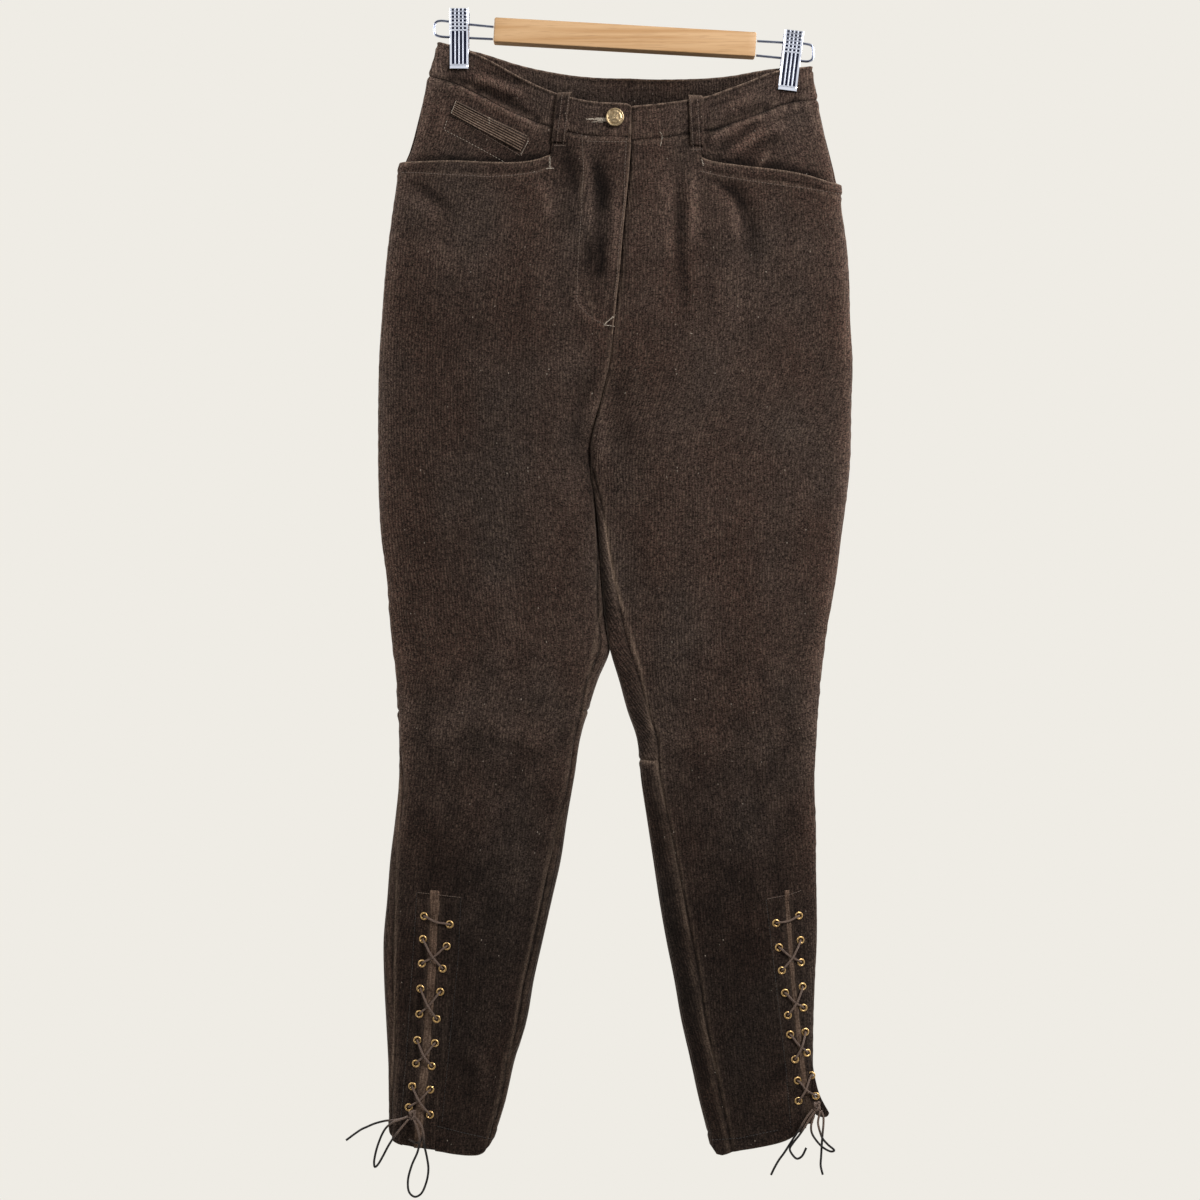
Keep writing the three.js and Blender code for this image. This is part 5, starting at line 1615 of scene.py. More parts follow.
@dataclass
class WaistTop:
    """Waistband, hip yokes, ticket pocket and fly facing."""

    wardrobe: Wardrobe
    cloth: list[Object] = field(default_factory=list)

    def flap(self, side: Side, s: Array) -> Array:
        """The right end of the band laps over the left one at the fly.

        Args:
            side: The half of the garment.
            s: Places round the half.

        Returns:
            The heights.
        """
        from_centre = (1 - s) * GARMENT.ring(side, 95.0).width
        if side is Side.RIGHT:
            return 1.3 * (1 - smooth((from_centre - 10) / 40))
        return -0.9 * (1 - smooth(from_centre / 12))

    def band_rows(self) -> Array:
        """Shares of the band's width, close together at its two edges."""
        return ladder(BAND_WIDTH, 2.0, (0, 0.3, 0.8, 1.6, 2.6)) / BAND_WIDTH

    def band(self, side: Side) -> None:
        """One front half of the waistband.

        Args:
            side: The half of the garment.
        """
        u = ladder(1.0, 0.013, EDGE_STATIONS)
        rows = self.band_rows()
        top = GARMENT.band_top(side, "front", u)
        from_centre = (1 - u) * GARMENT.ring(side, 95.0).width
        if side is Side.RIGHT:
            corner = 5.0
            top = top + corner * (1 - np.sqrt(1 - np.clip(1 - from_centre / corner, 0, 1) ** 2)) * 0.8
        drop = mix(top, GARMENT.band_foot(side, "front", u, 70), rows[:, None])
        s = np.broadcast_to(u, drop.shape)
        points, outward = GARMENT.surface(side, s, drop, BAND_LIFT + self.flap(side, u))
        sheet = Sheet(
            f"waistband_{side.value}", points, outward, (232, BAND_WIDTH + 3),
            thickness=BAND_THICKNESS, top=Trim.FOLDED,
            end=Trim.FOLDED if side is Side.RIGHT else Trim.SEAM, stitch_at=BAND_STITCH,
            rub=worn_streaks(points), tone=GARMENT.tone(side, s, drop))
        self.cloth.append(sheet.sew(self.wardrobe.corduroy))

    def back_band(self) -> None:
        """The back of the waistband, one piece from side seam to side seam."""
        u = ladder(1.0, 0.013, EDGE_STATIONS)
        rows = self.band_rows()
        halves, tones = [], []
        for side, stations in ((Side.RIGHT, u), (Side.LEFT, u[::-1][1:])):
            drop = mix(GARMENT.band_top(side, "back", stations),
                       GARMENT.band_foot(side, "back", stations, 70), rows[:, None])
            s = np.broadcast_to(-stations, drop.shape)
            halves.append(GARMENT.surface(side, s, drop, BAND_LIFT))
            tones.append(GARMENT.tone(side, s, drop))
        points = np.concatenate([halves[0][0], halves[1][0]], 1)
        outward = np.concatenate([halves[0][1], halves[1][1]], 1)
        # The band's inner face is painted darker lower down: painted shade where the front of the band
        # hides it.
        sheet = Sheet("waistband_back", points, outward, (470, BAND_WIDTH),
                      thickness=BAND_THICKNESS, top=Trim.FOLDED,
                      stitch_at=BAND_STITCH, centre=len(u) - 1, tone=np.concatenate(tones, 1),
                      inside=(0.05 - 0.6 * smooth(rows * 1.1))[:, None])
        self.cloth.append(sheet.sew(self.wardrobe.corduroy))

    def yoke(self, side: Side) -> None:
        """The hip yoke between the band and the pocket mouth.

        Args:
            side: The half of the garment.
        """
        last = POCKET_END + 0.03
        u = ladder(last, 0.012, EDGE_STATIONS)
        mouth = GARMENT.mouth(side, np.minimum(u, POCKET_END))
        start = GARMENT.band_foot(side, "front", u)
        rows = ladder(1.0, 0.055, (0, 0.006, 0.016, 0.03, 0.05))
        drop = mix(start, mouth + POCKET_UNDERLAP, rows[:, None])
        s = np.broadcast_to(u, drop.shape)
        sunk = -CLOTH - 2 * PLY_GAP
        lift = mix(0.4, sunk, smooth(rows / 0.7))[:, None]
        points, outward = GARMENT.surface(side, s, drop, lift)
        # Painted shadow on the yoke at and just above the pocket's mouth, and painted shade where the
        # pocket's front covers it.
        hidden = -0.72 * np.exp(-((mouth + 1 - drop) / 6.5) ** 2) - 0.35 * (drop > mouth + 1)
        sheet = Sheet(f"hip_yoke_{side.value}", points, outward, (150, 100), foot=Trim.RAW, end=Trim.RAW,
                      rub=worn_streaks(points), area=0.0108e6,
                      across=GARMENT.arc(side, s, drop), tone=GARMENT.tone(side, s, drop) + hidden)
        self.cloth.append(sheet.sew(self.wardrobe.corduroy))

    def ticket_pocket(self) -> None:
        """A slanting jetted pocket: two narrow welts with fine cords, in a stitched frame."""
        outer_top, outer_low = np.array([-169.5, 75.0]), np.array([-174.0, 89.5])
        inner_top, inner_low = np.array([-97.0, 113.5]), np.array([-104.5, 129.5])
        ribs = 7
        length = ladder(1.0, 0.03, (0, 0.006, 0.016))
        width = np.linspace(0, 1, ribs * 8 + 1)
        line = mix(mix(outer_top, inner_top, length[None, :, None]),
                   mix(outer_low, inner_low, length[None, :, None]), width[:, None, None])
        x, drop = line[..., 0], line[..., 1]
        s = GARMENT.share_of_x(Side.RIGHT, x, drop)
        seat = mix(0.3, -CLOTH - 2 * PLY_GAP, np.clip((drop - 88) / 52, 0, 1))
        crest = np.abs(np.sin(math.pi * width * ribs))[:, None] + np.zeros(x.shape)
        slot = np.exp(-((width - 1 / ribs) / 0.035) ** 2)[:, None]
        ridge = 0.9 * crest ** 0.7 - 0.5 * slot
        points, outward = GARMENT.surface(Side.RIGHT, s, drop, seat + 1.0 + ridge)
        # Painted shade between the cords and in the slot, and painted highlights on their crests, which
        # are also rubbed.
        sheet = Sheet("ticket_pocket", points, outward, (82, 18), thickness=1.6, **PLAIN,
                      rub=0.85 * crest ** 5 * (1 - slot), wales_level=True, held="laid",
                      tone=0.4 * GARMENT.tone(Side.RIGHT, s, drop) + crest - 0.92 - 0.55 * slot)
        self.cloth.append(sheet.sew(self.wardrobe.corduroy))

    def fly_facing(self) -> None:
        """The strip behind the fly that the flap closes on."""
        rows = np.linspace(118, 304, 40)[:, None]
        left = mix(-43, -50, (rows - 110) / 170) + 22 * smooth((rows - 250) / 50)
        inner = column(SECTIONS, SECTION_COLUMNS, "innerright", rows)
        x = mix(left, inner - 0.6, ladder(1.0, 0.08, (0, 0.01, 0.03)))
        drop = np.broadcast_to(rows, x.shape)
        s = GARMENT.share_of_x(Side.RIGHT, x, drop)
        points, outward = GARMENT.surface(Side.RIGHT, s, drop, -CLOTH - 1.2)
        Sheet("fly_facing", points, outward, (48, 188), **PLAIN).sew(self.wardrobe.corduroy)


@dataclass(frozen=True)
class BeltLoop:
    """A strip folded in three, stitched twice along its length and tacked at both ends."""

    name: str
    side: Side
    face: str
    top_x: float
    low_x: float
    width: float = 14.0
    thickness: float = 2.0
    clearance: float = 2.0

    def span(self, x: float) -> float:
        """Share of the way across the band at this X."""
        ring = GARMENT.ring(self.side, 80.0)
        return float(abs(x - ring.outer) / ring.width)

    def make(self, wardrobe: Wardrobe) -> Object:
        """Builds the loop.

        Args:
            wardrobe: The finishes.

        Returns:
            What was made.
        """
        face_sign = 1 if self.face == "front" else -1
        table = BAND_TOP[(self.face, self.side)]
        overhang = 3.0 if self.face == "front" else -0.4
        top = float(along(table, self.span(self.top_x))) - overhang
        step, below_band = 0.02, 14
        u = self.span(self.low_x)
        slope = float(along(table, u + step) - along(table, u - step)) / (
            2 * step * float(GARMENT.ring(self.side, 90.0).width))
        low = float(along(table, u)) + BAND_WIDTH * math.hypot(1, slope) + below_band
        rise = ladder(1.0, 0.04, (0, 0.012, 0.03, 0.06))[:, None]
        clear = through([0, 0.12, 0.3, 0.82, 0.93, 1],
                        [0.7, self.clearance, self.clearance, self.clearance, 1.0, 0.2], rise)
        across = ladder(self.width, 1.0, (0, 0.3, 0.8, 1.5))[None, :] - self.width / 2
        edge_wave = 0.8 * ripple(rise * 60, across * 0, 15, len(self.name), 4)
        x = mix(self.top_x, self.low_x, rise) + across * (1 + 0.05 * edge_wave) + edge_wave * 0.6
        drop = np.broadcast_to(mix(top, low, rise), x.shape)
        s = face_sign * GARMENT.share_of_x(self.side, x, drop)
        dip = 0.5 * np.exp(-((np.abs(across) - LOOP_STITCH) / 0.8) ** 2)
        crown = 0.5 * (1 - (across / (self.width / 2)) ** 2)
        points, outward = GARMENT.surface(
            self.side, s, drop, BAND_LIFT + clear + self.thickness + crown - dip)
        tip = np.exp(-(rise * (low - top) / 4) ** 2)
        # Painted shade in the dips along the stitch rows, with random tone along the wavy edges; the
        # rubbed tip and edges are wear.
        sheet = Sheet(self.name, points, outward, (self.width, 64), thickness=self.thickness,
                      held="stretched", **PLAIN,
                      rub=np.clip(0.35 * tip + 0.1 * np.exp(-((np.abs(across) - 6.6) / 0.8) ** 2)
                                  + np.zeros(x.shape), 0, 1),
                      tone=-0.6 * dip + 0.25 * edge_wave - 0.04)
        return sheet.sew(wardrobe.corduroy)


BELT_LOOPS = (
    BeltLoop("belt_loop_front_right", Side.RIGHT, "front", -60, -66),
    BeltLoop("belt_loop_front_left", Side.LEFT, "front", 68, 71),
    BeltLoop("belt_loop_back_right", Side.RIGHT, "back", -118, -122),
    BeltLoop("belt_loop_back_left", Side.LEFT, "back", 124, 128),
    BeltLoop("belt_loop_centre_back", Side.RIGHT, "back", -6, -6),
)


# ---- turned and drawn shapes

def turned(profile: Sequence[tuple[float, float]], sides: int) -> tuple[Array, Array]:
    """A closed turned shape.

    Args:
        profile: Radius and height of each corner, all of them off the axis.
        sides: Faces round it.

    Returns:
        Points, with the axis along Z, and faces.
    """
    ring = np.linspace(0, 2 * math.pi, sides, endpoint=False)
    r, h = np.array(profile, float).T
    points = np.stack([r[:, None] * np.cos(ring), r[:, None] * np.sin(ring),
                       np.broadcast_to(h[:, None], (len(r), sides))], -1)
    a = np.arange(len(r) * sides).reshape(len(r), sides)
    down, right = np.roll(a, -1, 0), np.roll(a, -1, 1)
    faces = np.stack([a, right, np.roll(down, -1, 1), down], -1)
    return points.reshape(-1, 3), faces.reshape(-1, 4)


def seated(points: Array, seat: Array, out: Array) -> Array:
    """Points made along Z, turned so that Z runs outward and moved to their seat.

    Args:
        points: The points, in millimetres.
        seat: Where the shape sits.
        out: Which way it faces.

    Returns:
        The moved points.
    """
    axis = unit(np.asarray(out, float))
    side = unit(np.cross([0, 0, 1.0], axis))
    up = np.cross(axis, side)
    return seat + points @ np.stack([side, up, axis])


def smooth_path(points: Sequence[Sequence[float]], spacing: float) -> Array:
    """A smooth curve through points, with stations evenly spaced along it.

    Args:
        points: What it runs through.
        spacing: Distance between stations.

    Returns:
        The stations.
    """
    p = np.asarray(points, float)
    p = np.concatenate([[2 * p[0] - p[1]], p, [2 * p[-1] - p[-2]]])
    t = np.concatenate([[0], np.cumsum(np.sqrt(np.linalg.norm(np.diff(p, axis=0), axis=1)))])
    dense = []
    for i in range(1, len(p) - 2):
        for at in np.linspace(t[i], t[i + 1], 24, endpoint=False):
            blend = lambda a, b, ta, tb: ((tb - at) * a + (at - ta) * b) / (tb - ta)
            a1, a2 = blend(p[i - 1], p[i], t[i - 1], t[i]), blend(p[i], p[i + 1], t[i], t[i + 1])
            a3 = blend(p[i + 1], p[i + 2], t[i + 1], t[i + 2])
            b1, b2 = blend(a1, a2, t[i - 1], t[i + 1]), blend(a2, a3, t[i], t[i + 2])
            dense.append(blend(b1, b2, t[i], t[i + 1]))
    dense = np.array([*dense, p[-2]])
    run = lengths_along(dense)
    stations = np.linspace(0, run[-1], max(2, round(run[-1] / spacing) + 1))
    return np.stack([np.interp(stations, run, dense[:, k]) for k in range(3)], -1)


def tube(path: Array, radius: Array | float, sides: int = 10) -> tuple[Array, list, Array]:
    """A round tube with closed ends along a path.

    Args:
        path: Stations of its middle line.
        radius: Its radius, or one for each station.
        sides: Faces round it.

    Returns:
        Points, faces, and for each point its distance along and around.
    """
    tangent = unit(np.gradient(path, axis=0))
    normal = unit(np.cross(tangent[0], [0.3, 0.2, 0.93]))
    normals = []
    for direction in tangent:
        normal = unit(normal - direction * (normal @ direction))
        normals.append(normal)
    normals = np.array(normals)
    binormal = np.cross(tangent, normals)
    ring = np.linspace(0, 2 * math.pi, sides, endpoint=False)
    size = np.broadcast_to(np.asarray(radius, float), (len(path),))[:, None, None]
    points = path[:, None] + size * (np.cos(ring)[:, None] * normals[:, None]
                                     + np.sin(ring)[:, None] * binormal[:, None])
    a = np.arange(len(path) * sides).reshape(len(path), sides)
    quads = np.stack([a[:-1], np.roll(a, -1, 1)[:-1], np.roll(a, -1, 1)[1:], a[1:]], -1)
    faces = [*quads.reshape(-1, 4)[:, ::-1].tolist(), a[0].tolist(), a[-1][::-1].tolist()]
    run = lengths_along(path)
    around = np.broadcast_to(ring * float(np.mean(size)), (len(path), sides))
    grain = np.stack([np.broadcast_to(run[:, None], around.shape), around, around * 0], -1)
    return points.reshape(-1, 3), faces, grain.reshape(-1, 3)


class Gathered:
    """Collects small solids that make one piece together."""

    def __init__(self) -> None:
        """Starts with nothing."""
        self.points: list[Array] = []
        self.faces: list[list[int]] = []
        self.grain: list[Array] = []
        self.count = 0

    def add(self, points: Array, faces: Array | list, grain: Array | None = None) -> None:
        """Adds one solid.

        Args:
            points: The points, in millimetres.
            faces: Vertex numbers of each face.
            grain: Distances along and around, if any.
        """
        self.faces.extend([[int(v) + self.count for v in f] for f in faces])
        self.points.append(points)
        self.grain.append(np.zeros((len(points), 3)) if grain is None else grain)
        self.count += len(points)

    def make(self, name: str, material: Material, slot: str,
             replaces: Sequence[str] = ()) -> Object:
        """Makes the piece.

        Args:
            name: Its name.
            material: Its finish.
            slot: Not used.
            replaces: CAD nodes that it stands for.

        Returns:
            What was made.
        """
        grain = np.concatenate(self.grain)
        made = make_object(name, np.concatenate(self.points), self.faces, material, slot,
                           {"grain": grain}, replaces)
        LOG.info("%s: %d faces", name, len(self.faces))
        return made


# ---- lacing

@dataclass
class Ankle:
    """Slit, plackets, gusset, eyelets, lacing and bow of one leg."""

    side: Side
    wardrobe: Wardrobe
    thickness: float = 2.4
    lift: float = 0.5
    flare: float = 0.35
    rim: float = 0.8
    eyelet_radius: float = 4.1
    hole_radius: float = 2.1
    gusset_depth: float = 5.6
    cloth: list[Object] = field(default_factory=list)

    def slit_x(self, name: str, drop: Array | float) -> Array:
        """X of one edge of the slit at a drop."""
        return column(SLIT[self.side], SLIT_COLUMNS, name, drop)

    def placket_points(self, part: str, share: Array, drop: Array) -> Array:
        """Points of a placket, from its sewn edge (0) to its lip (1).

        Args:
            part: "outer" or "inner".
            share: Share of the way from the sewn edge to the lip.
            drop: Heights, as drops.

        Returns:
            The points.
        """
        share, drop = paired(share, drop)
        x = mix(self.slit_x(f"{part}Edge", drop), self.slit_x(f"{part}Lip", drop), share)
        sign = self.side.sign
        limit = sign * GARMENT.ring(self.side, drop).outer - 3.5
        kept = sign * np.minimum(sign * x, limit)
        s = GARMENT.share_of_x(self.side, kept, drop)
        points, _ = GARMENT.surface(self.side, s, drop)
        points = points.copy()
        points[..., 0] = x
        points[..., 1] -= self.flare * np.abs(x - kept)
        return points

    def placket_face(self, part: str, share: Array, drop: Array) -> tuple[Array, Array]:
        """Points of a placket and its outward directions.

        Args:
            part: "outer" or "inner".
            share: Share of the way from the sewn edge to the lip.
            drop: Heights, as drops.

        Returns:
            Points and directions.
        """
        low, high = np.clip(np.asarray(share) - 0.25, 0, 1), np.clip(np.asarray(share) + 0.25, 0, 1)
        run = self.placket_points(part, high, drop) - self.placket_points(part, low, drop)
        out = unit(np.stack([run[..., 1], -run[..., 0], run[..., 0] * 0], -1))
        out = np.where(out[..., 1:2] > 0, -out, out)
        return self.placket_points(part, share, drop), out

    def seats(self, part: str) -> tuple[Array, Array]:
        """Where the eyelets of a placket sit, and which way they face.

        Args:
            part: "outer" or "inner".

        Returns:
            Points and directions.
        """
        x, drop = np.array(EYELETS[(self.side, part)], float).T
        edge, lip = self.slit_x(f"{part}Edge", drop), self.slit_x(f"{part}Lip", drop)
        return self.placket_face(part, (x - edge) / (lip - edge), drop)

    def placket(self, part: str) -> None:
        """A doubled facing strip with holes for its eyelets.

        Args:
            part: "outer" or "inner".
        """
        share = ladder(1.0, 0.06, (0, 0.015, 0.04, 0.08))
        foot, start = PLACKET_END[(self.side, part)], SLIT_TOP + 0.5
        drops = ladder(foot - start, 1.3, (0, 0.4, 1)) + start
        share, drop = np.broadcast_arrays(share[None, :], drops[:, None])
        x = self.placket_points(part, share, drop)[..., 0]
        if (self.side, part) != (Side.LEFT, "outer"):
            s_end = GARMENT.share_of_x(self.side, x[-1], np.full(len(x[-1]), 1100.0))
            end = np.minimum(GARMENT.hem(self.side, s_end) - 0.4, foot + 4)
        else:
            end = foot - 5.0 * (1 - share[0]) ** 4 - 2.5 * share[0] ** 5
        drop = mix(drops[0], end[None, :], ((drops - drops[0]) / (drops[-1] - drops[0]))[:, None])
        points, outward = self.placket_face(part, share, drop)
        seats, _ = self.seats(part)
        middle = (points[:-1, :-1] + points[1:, 1:]) / 2
        gap = np.linalg.norm(middle[:, :, None] - seats, axis=-1).min(-1)
        name = f"placket_{self.side.value}_{part}"
        wave = 0.25 * ripple(drop, share * 16, 21, 5 if part == "outer" else 6)
        lift = 0.1 + 0.5 * share
        # The plackets carry the broad painted shades of the front and a little random tone.
        sheet = Sheet(name, points + outward * lift[..., None], outward, (16, foot - SLIT_TOP),
                      thickness=self.thickness, foot=Trim.RAW, end=Trim.RAW, keep=gap > 2.5,
                      press=wave, held="laid", across=x, relief=0.3,
                      tone=painted_shade_of(points) + 0.06 + 0.15 * wave,
                      rub=0.08 * np.clip(share * 3 - 2, 0, 1), pucker=0.5)
        self.cloth.append(sheet.sew(self.wardrobe.corduroy))

    def eyelets(self, part: str) -> None:
        """Rolled brass eyelets with their barrels.

        Args:
            part: "outer" or "inner".
        """
        hole, edge = self.hole_radius, self.eyelet_radius
        profile = [(hole, 0.1), (hole + 0.25, self.rim * 0.75), (hole + 0.8, self.rim),
                   (hole + 1.5, self.rim * 0.8), (edge - 0.25, 0.3), (edge, 0.02),
                   (edge - 0.2, -0.25), (hole + 0.6, -0.25), (hole + 0.5, -2.2), (hole, -2.3)]
        points, faces = turned(profile, 26)
        gathered = Gathered()
        for seat, out in zip(*self.seats(part)):
            gathered.add(seated(points, seat + out * (self.lift + 0.1), out), faces)
        name = f"eyelets_{self.side.value}_{part}"
        gathered.make(name, self.wardrobe.brass, "brass", (f"placket_{self.side.value}_{part}",))

    def gusset(self) -> None:
        """The tongue behind the slit."""
        start, end = SLIT_TOP - 7, 1118.6 if self.side is Side.RIGHT else 1096.0
        drop = np.linspace(start, end, 90)[:, None]
        sign = self.side.sign
        outer_lip, inner_lip = (self.slit_x(f"{part}Lip", drop) for part in ("outer", "inner"))
        outer = outer_lip + sign * 3.0
        if self.side is Side.LEFT:
            outer = np.minimum(outer, 190 - 4 * smooth((drop - 1085) / 8))
        x = mix(outer, inner_lip - sign * 4.0, ladder(1.0, 0.05, (0, 0.02, 0.05)))
        drop = np.broadcast_to(drop, x.shape)
        kept = sign * np.minimum(sign * x, sign * GARMENT.ring(self.side, drop).outer - 3.5)
        s = GARMENT.share_of_x(self.side, kept, drop)
        wave = 0.4 * ripple(drop, x, 26, 31)
        middle, half = (outer_lip + inner_lip) / 2, np.abs(outer_lip - inner_lip) / 2
        bulge = 6.2 * np.exp(-((x - middle) / (half * 1.15 + 0.6)) ** 10)
        points, outward = GARMENT.surface(self.side, s, drop, -self.gusset_depth + bulge + wave)
        points[..., 0] = x
        points[..., 1] -= self.flare * np.abs(x - kept)
        sheet = Sheet(f"gusset_{self.side.value}", points, outward, (22, end - start),
                      held="laid", slot="gusset_corduroy", **PLAIN,
                      tone=0.4 + 0.3 * smooth((905 - drop) / 40) + 0.3 * wave
                      - (0.75 * smooth((drop - 1058) / 16) if self.side is Side.LEFT else 0))
        sheet.sew(self.wardrobe.gusset)

    def lacing_route(self, knot: Array) -> list[Array]:
        """The lacing's route: a bar on top, then crossings outside and runs behind in turn.

        Args:
            knot: The middle of the bow's knot.

        Returns:
            The marks of the route.
        """
        (outer, outer_out), (inner, inner_out) = self.seats("outer"), self.seats("inner")
        seats = {"outer": list(zip(outer, outer_out)), "inner": list(zip(inner, inner_out))}
        over = self.lift + self.rim + LACE_DIAMETER / 2 + 0.4
        under = self.lift - self.thickness - LACE_DIAMETER / 2 - 0.3

        def lifted(seat: Seat, height: float, toward: Array, shift: float = 0.0) -> Array:
            """A point above or below an eyelet, drawn towards another place.

            Args:
                seat: The eyelet's place and direction.
                height: Height above the cloth.
                toward: The place that it is drawn to.
                shift: How far it is drawn.

            Returns:
                The point.
            """
            point, out = seat
            run = toward - point
            run = unit(run - out * (run @ out))
            return point + run * shift + out * height

        def passing(seat: Seat, outside: Array, inside: Array) -> list[Array]:
            """From outside the cloth through an eyelet to the inside.

            Args:
                seat: The eyelet's place and direction.
                outside: Where the lace comes from.
                inside: Where it goes on to.

            Returns:
                The marks.
            """
            return [lifted(seat, over + 0.1, outside, 3.0), lifted(seat, self.lift + 1.0, outside, 0.4),
                    lifted(seat, self.lift - self.thickness, inside, 0.2),
                    lifted(seat, under, inside, 2.6)]

        def between(a: Seat, b: Seat, height: float) -> Array:
            """The middle of a crossing strand."""
            sag = np.array([0, 0, -1.7])
            return (a[0] + b[0]) / 2 + unit(a[1] + b[1]) * height + sag

        def walk(start: str) -> list[Array]:
            """One half of the lace, from the top bar down to the knot.

            Args:
                start: The placket that it starts on.

            Returns:
                The marks.
            """
            other = "inner" if start == "outer" else "outer"
            part = start
            leg = passing(seats[start][0], seats[other][0][0], seats[start][1][0])
            for row in range(1, 9, 2):
                cross = "inner" if part == "outer" else "outer"
                here, there = seats[part][row], seats[cross][row + 1]
                leg += passing(here, there[0], seats[part][row - 1][0])[::-1]
                top = part == "outer"
                leg.append(between(here, there, over + (LACE_DIAMETER + 0.7 if top else 0.1)))
                part = cross
                onward = seats[part][row + 2][0] if row + 2 < 9 else knot
                leg += passing(there, here[0], onward)
            return leg

        bar = between(seats["outer"][0], seats["inner"][0], over + 0.2)
        return [*walk("outer")[::-1], bar, *walk("inner")]


# Free cords of the bows, each as X, Y, drop, X, Y, drop.
KNOTS = {Side.RIGHT: (-211.5, -20.5, 1084.0), Side.LEFT: (189.5, -23.0, 1075.0)}
BOW_CORDS = {
    Side.RIGHT: {
        "end_long": (-215.5, -21, 1085.5, -221, -20.6, 1087.4, -227, -19.8, 1089, -232, -18.6, 1089.8,
            -238, -17.5, 1090.4, -244, -17, 1091.8, -250, -17, 1093.6, -257, -17.2, 1096.6, -262, -17.4,
            1098.8, -267, -17.6, 1102, -272, -17.8, 1105.6, -277.5, -18, 1109.7),
        "end_curl": (-208.5, -20.8, 1086.6, -205.5, -21.2, 1089.5, -202.6, -21.2, 1094, -201.2, -21, 1099,
            -201.3, -20.8, 1105, -203, -20.8, 1109.5, -206.6, -20.6, 1111.6, -211, -20.4, 1110.4, -215.2,
            -20.2, 1108.2),
        "loop_left": (-215, -24, 1087.6, -219, -24.6, 1092, -223.5, -24.4, 1097.5, -230, -23.4, 1106,
            -235.6, -22.2, 1115, -240.5, -21.2, 1124.4, -246, -20.4, 1133.6, -248.8, -20, 1135.8, -249.6,
            -19.6, 1131.6, -248.2, -19.2, 1122.4, -245, -19.2, 1111.6, -240.4, -20.4, 1101, -236.4, -21.4,
            1095.4, -229.8, -22.6, 1090.4, -222, -23.8, 1087.6, -215.6, -24.6, 1084.8),
        "loop_low": (-209.6, -24.8, 1087.8, -207, -25.2, 1094, -204.6, -25, 1102, -204, -24.6, 1110,
            -206.2, -24, 1120, -212, -23, 1133.6, -215.8, -22.4, 1149, -214.4, -22, 1160.6, -209, -22,
            1164.8, -203, -22, 1162, -197.6, -22.2, 1150.4, -195.5, -22.6, 1137.4, -196.8, -23.2, 1126,
            -199.2, -24.2, 1114, -200, -25, 1104, -202, -25.4, 1094.6, -206.6, -25, 1087.4),
    },
    Side.LEFT: {
        "end_long": (185.5, -23.4, 1078, 181.6, -23.2, 1082.5, 176.5, -22.8, 1090, 171.5, -22.4, 1098.6,
            166.5, -22, 1106.4, 160.5, -21.6, 1116, 156.5, -21.2, 1122.2, 152, -21, 1128.4, 147.6, -20.8,
            1136, 144, -20.6, 1143.5),
        "end_hook": (187, -26.4, 1079.4, 182.6, -26.2, 1085.6, 177, -25.6, 1095, 171.4, -25, 1103.4,
            165.6, -24.4, 1111, 162.4, -23.8, 1117, 165.2, -23.4, 1123, 169.6, -23.2, 1126.8, 174.2,
            -23.2, 1124.6, 178.8, -23.2, 1116.1),
        "loop_right": (192.2, -27, 1078.6, 190.8, -27.4, 1084.6, 190, -27.4, 1090.2, 191.8, -27, 1098.6,
            194.8, -26.6, 1106.2, 200.2, -26.2, 1112.4, 206.3, -26, 1118, 203.4, -25.4, 1119.2, 195.6,
            -24.8, 1115.6, 188.7, -24.2, 1108.6, 184.1, -24, 1100.8, 183.6, -24.2, 1093, 186.4, -25.2,
            1083.6),
        "end_short": (193.4, -23.6, 1079, 195.6, -23.6, 1085, 195.8, -23, 1093, 194.9, -22.6, 1103, 194.2,
            -22, 1114, 193.6, -21.8, 1125, 193.2, -21.6, 1134, 195.2, -21.6, 1142.9),
    },
}
# Real lengths in millimetres. A loop goes back into the knot.
CORD_LENGTHS = {
    (Side.RIGHT, "lacing"): 590.0, (Side.LEFT, "lacing"): 540.0,
    (Side.RIGHT, "end_long"): 68.0, (Side.RIGHT, "end_curl"): 38.0,
    (Side.RIGHT, "loop_left"): 124.0, (Side.RIGHT, "loop_low"): 175.0,
    (Side.LEFT, "end_long"): 78.0, (Side.LEFT, "end_hook"): 72.0,
    (Side.LEFT, "loop_right"): 98.0, (Side.LEFT, "end_short"): 65.0,
}


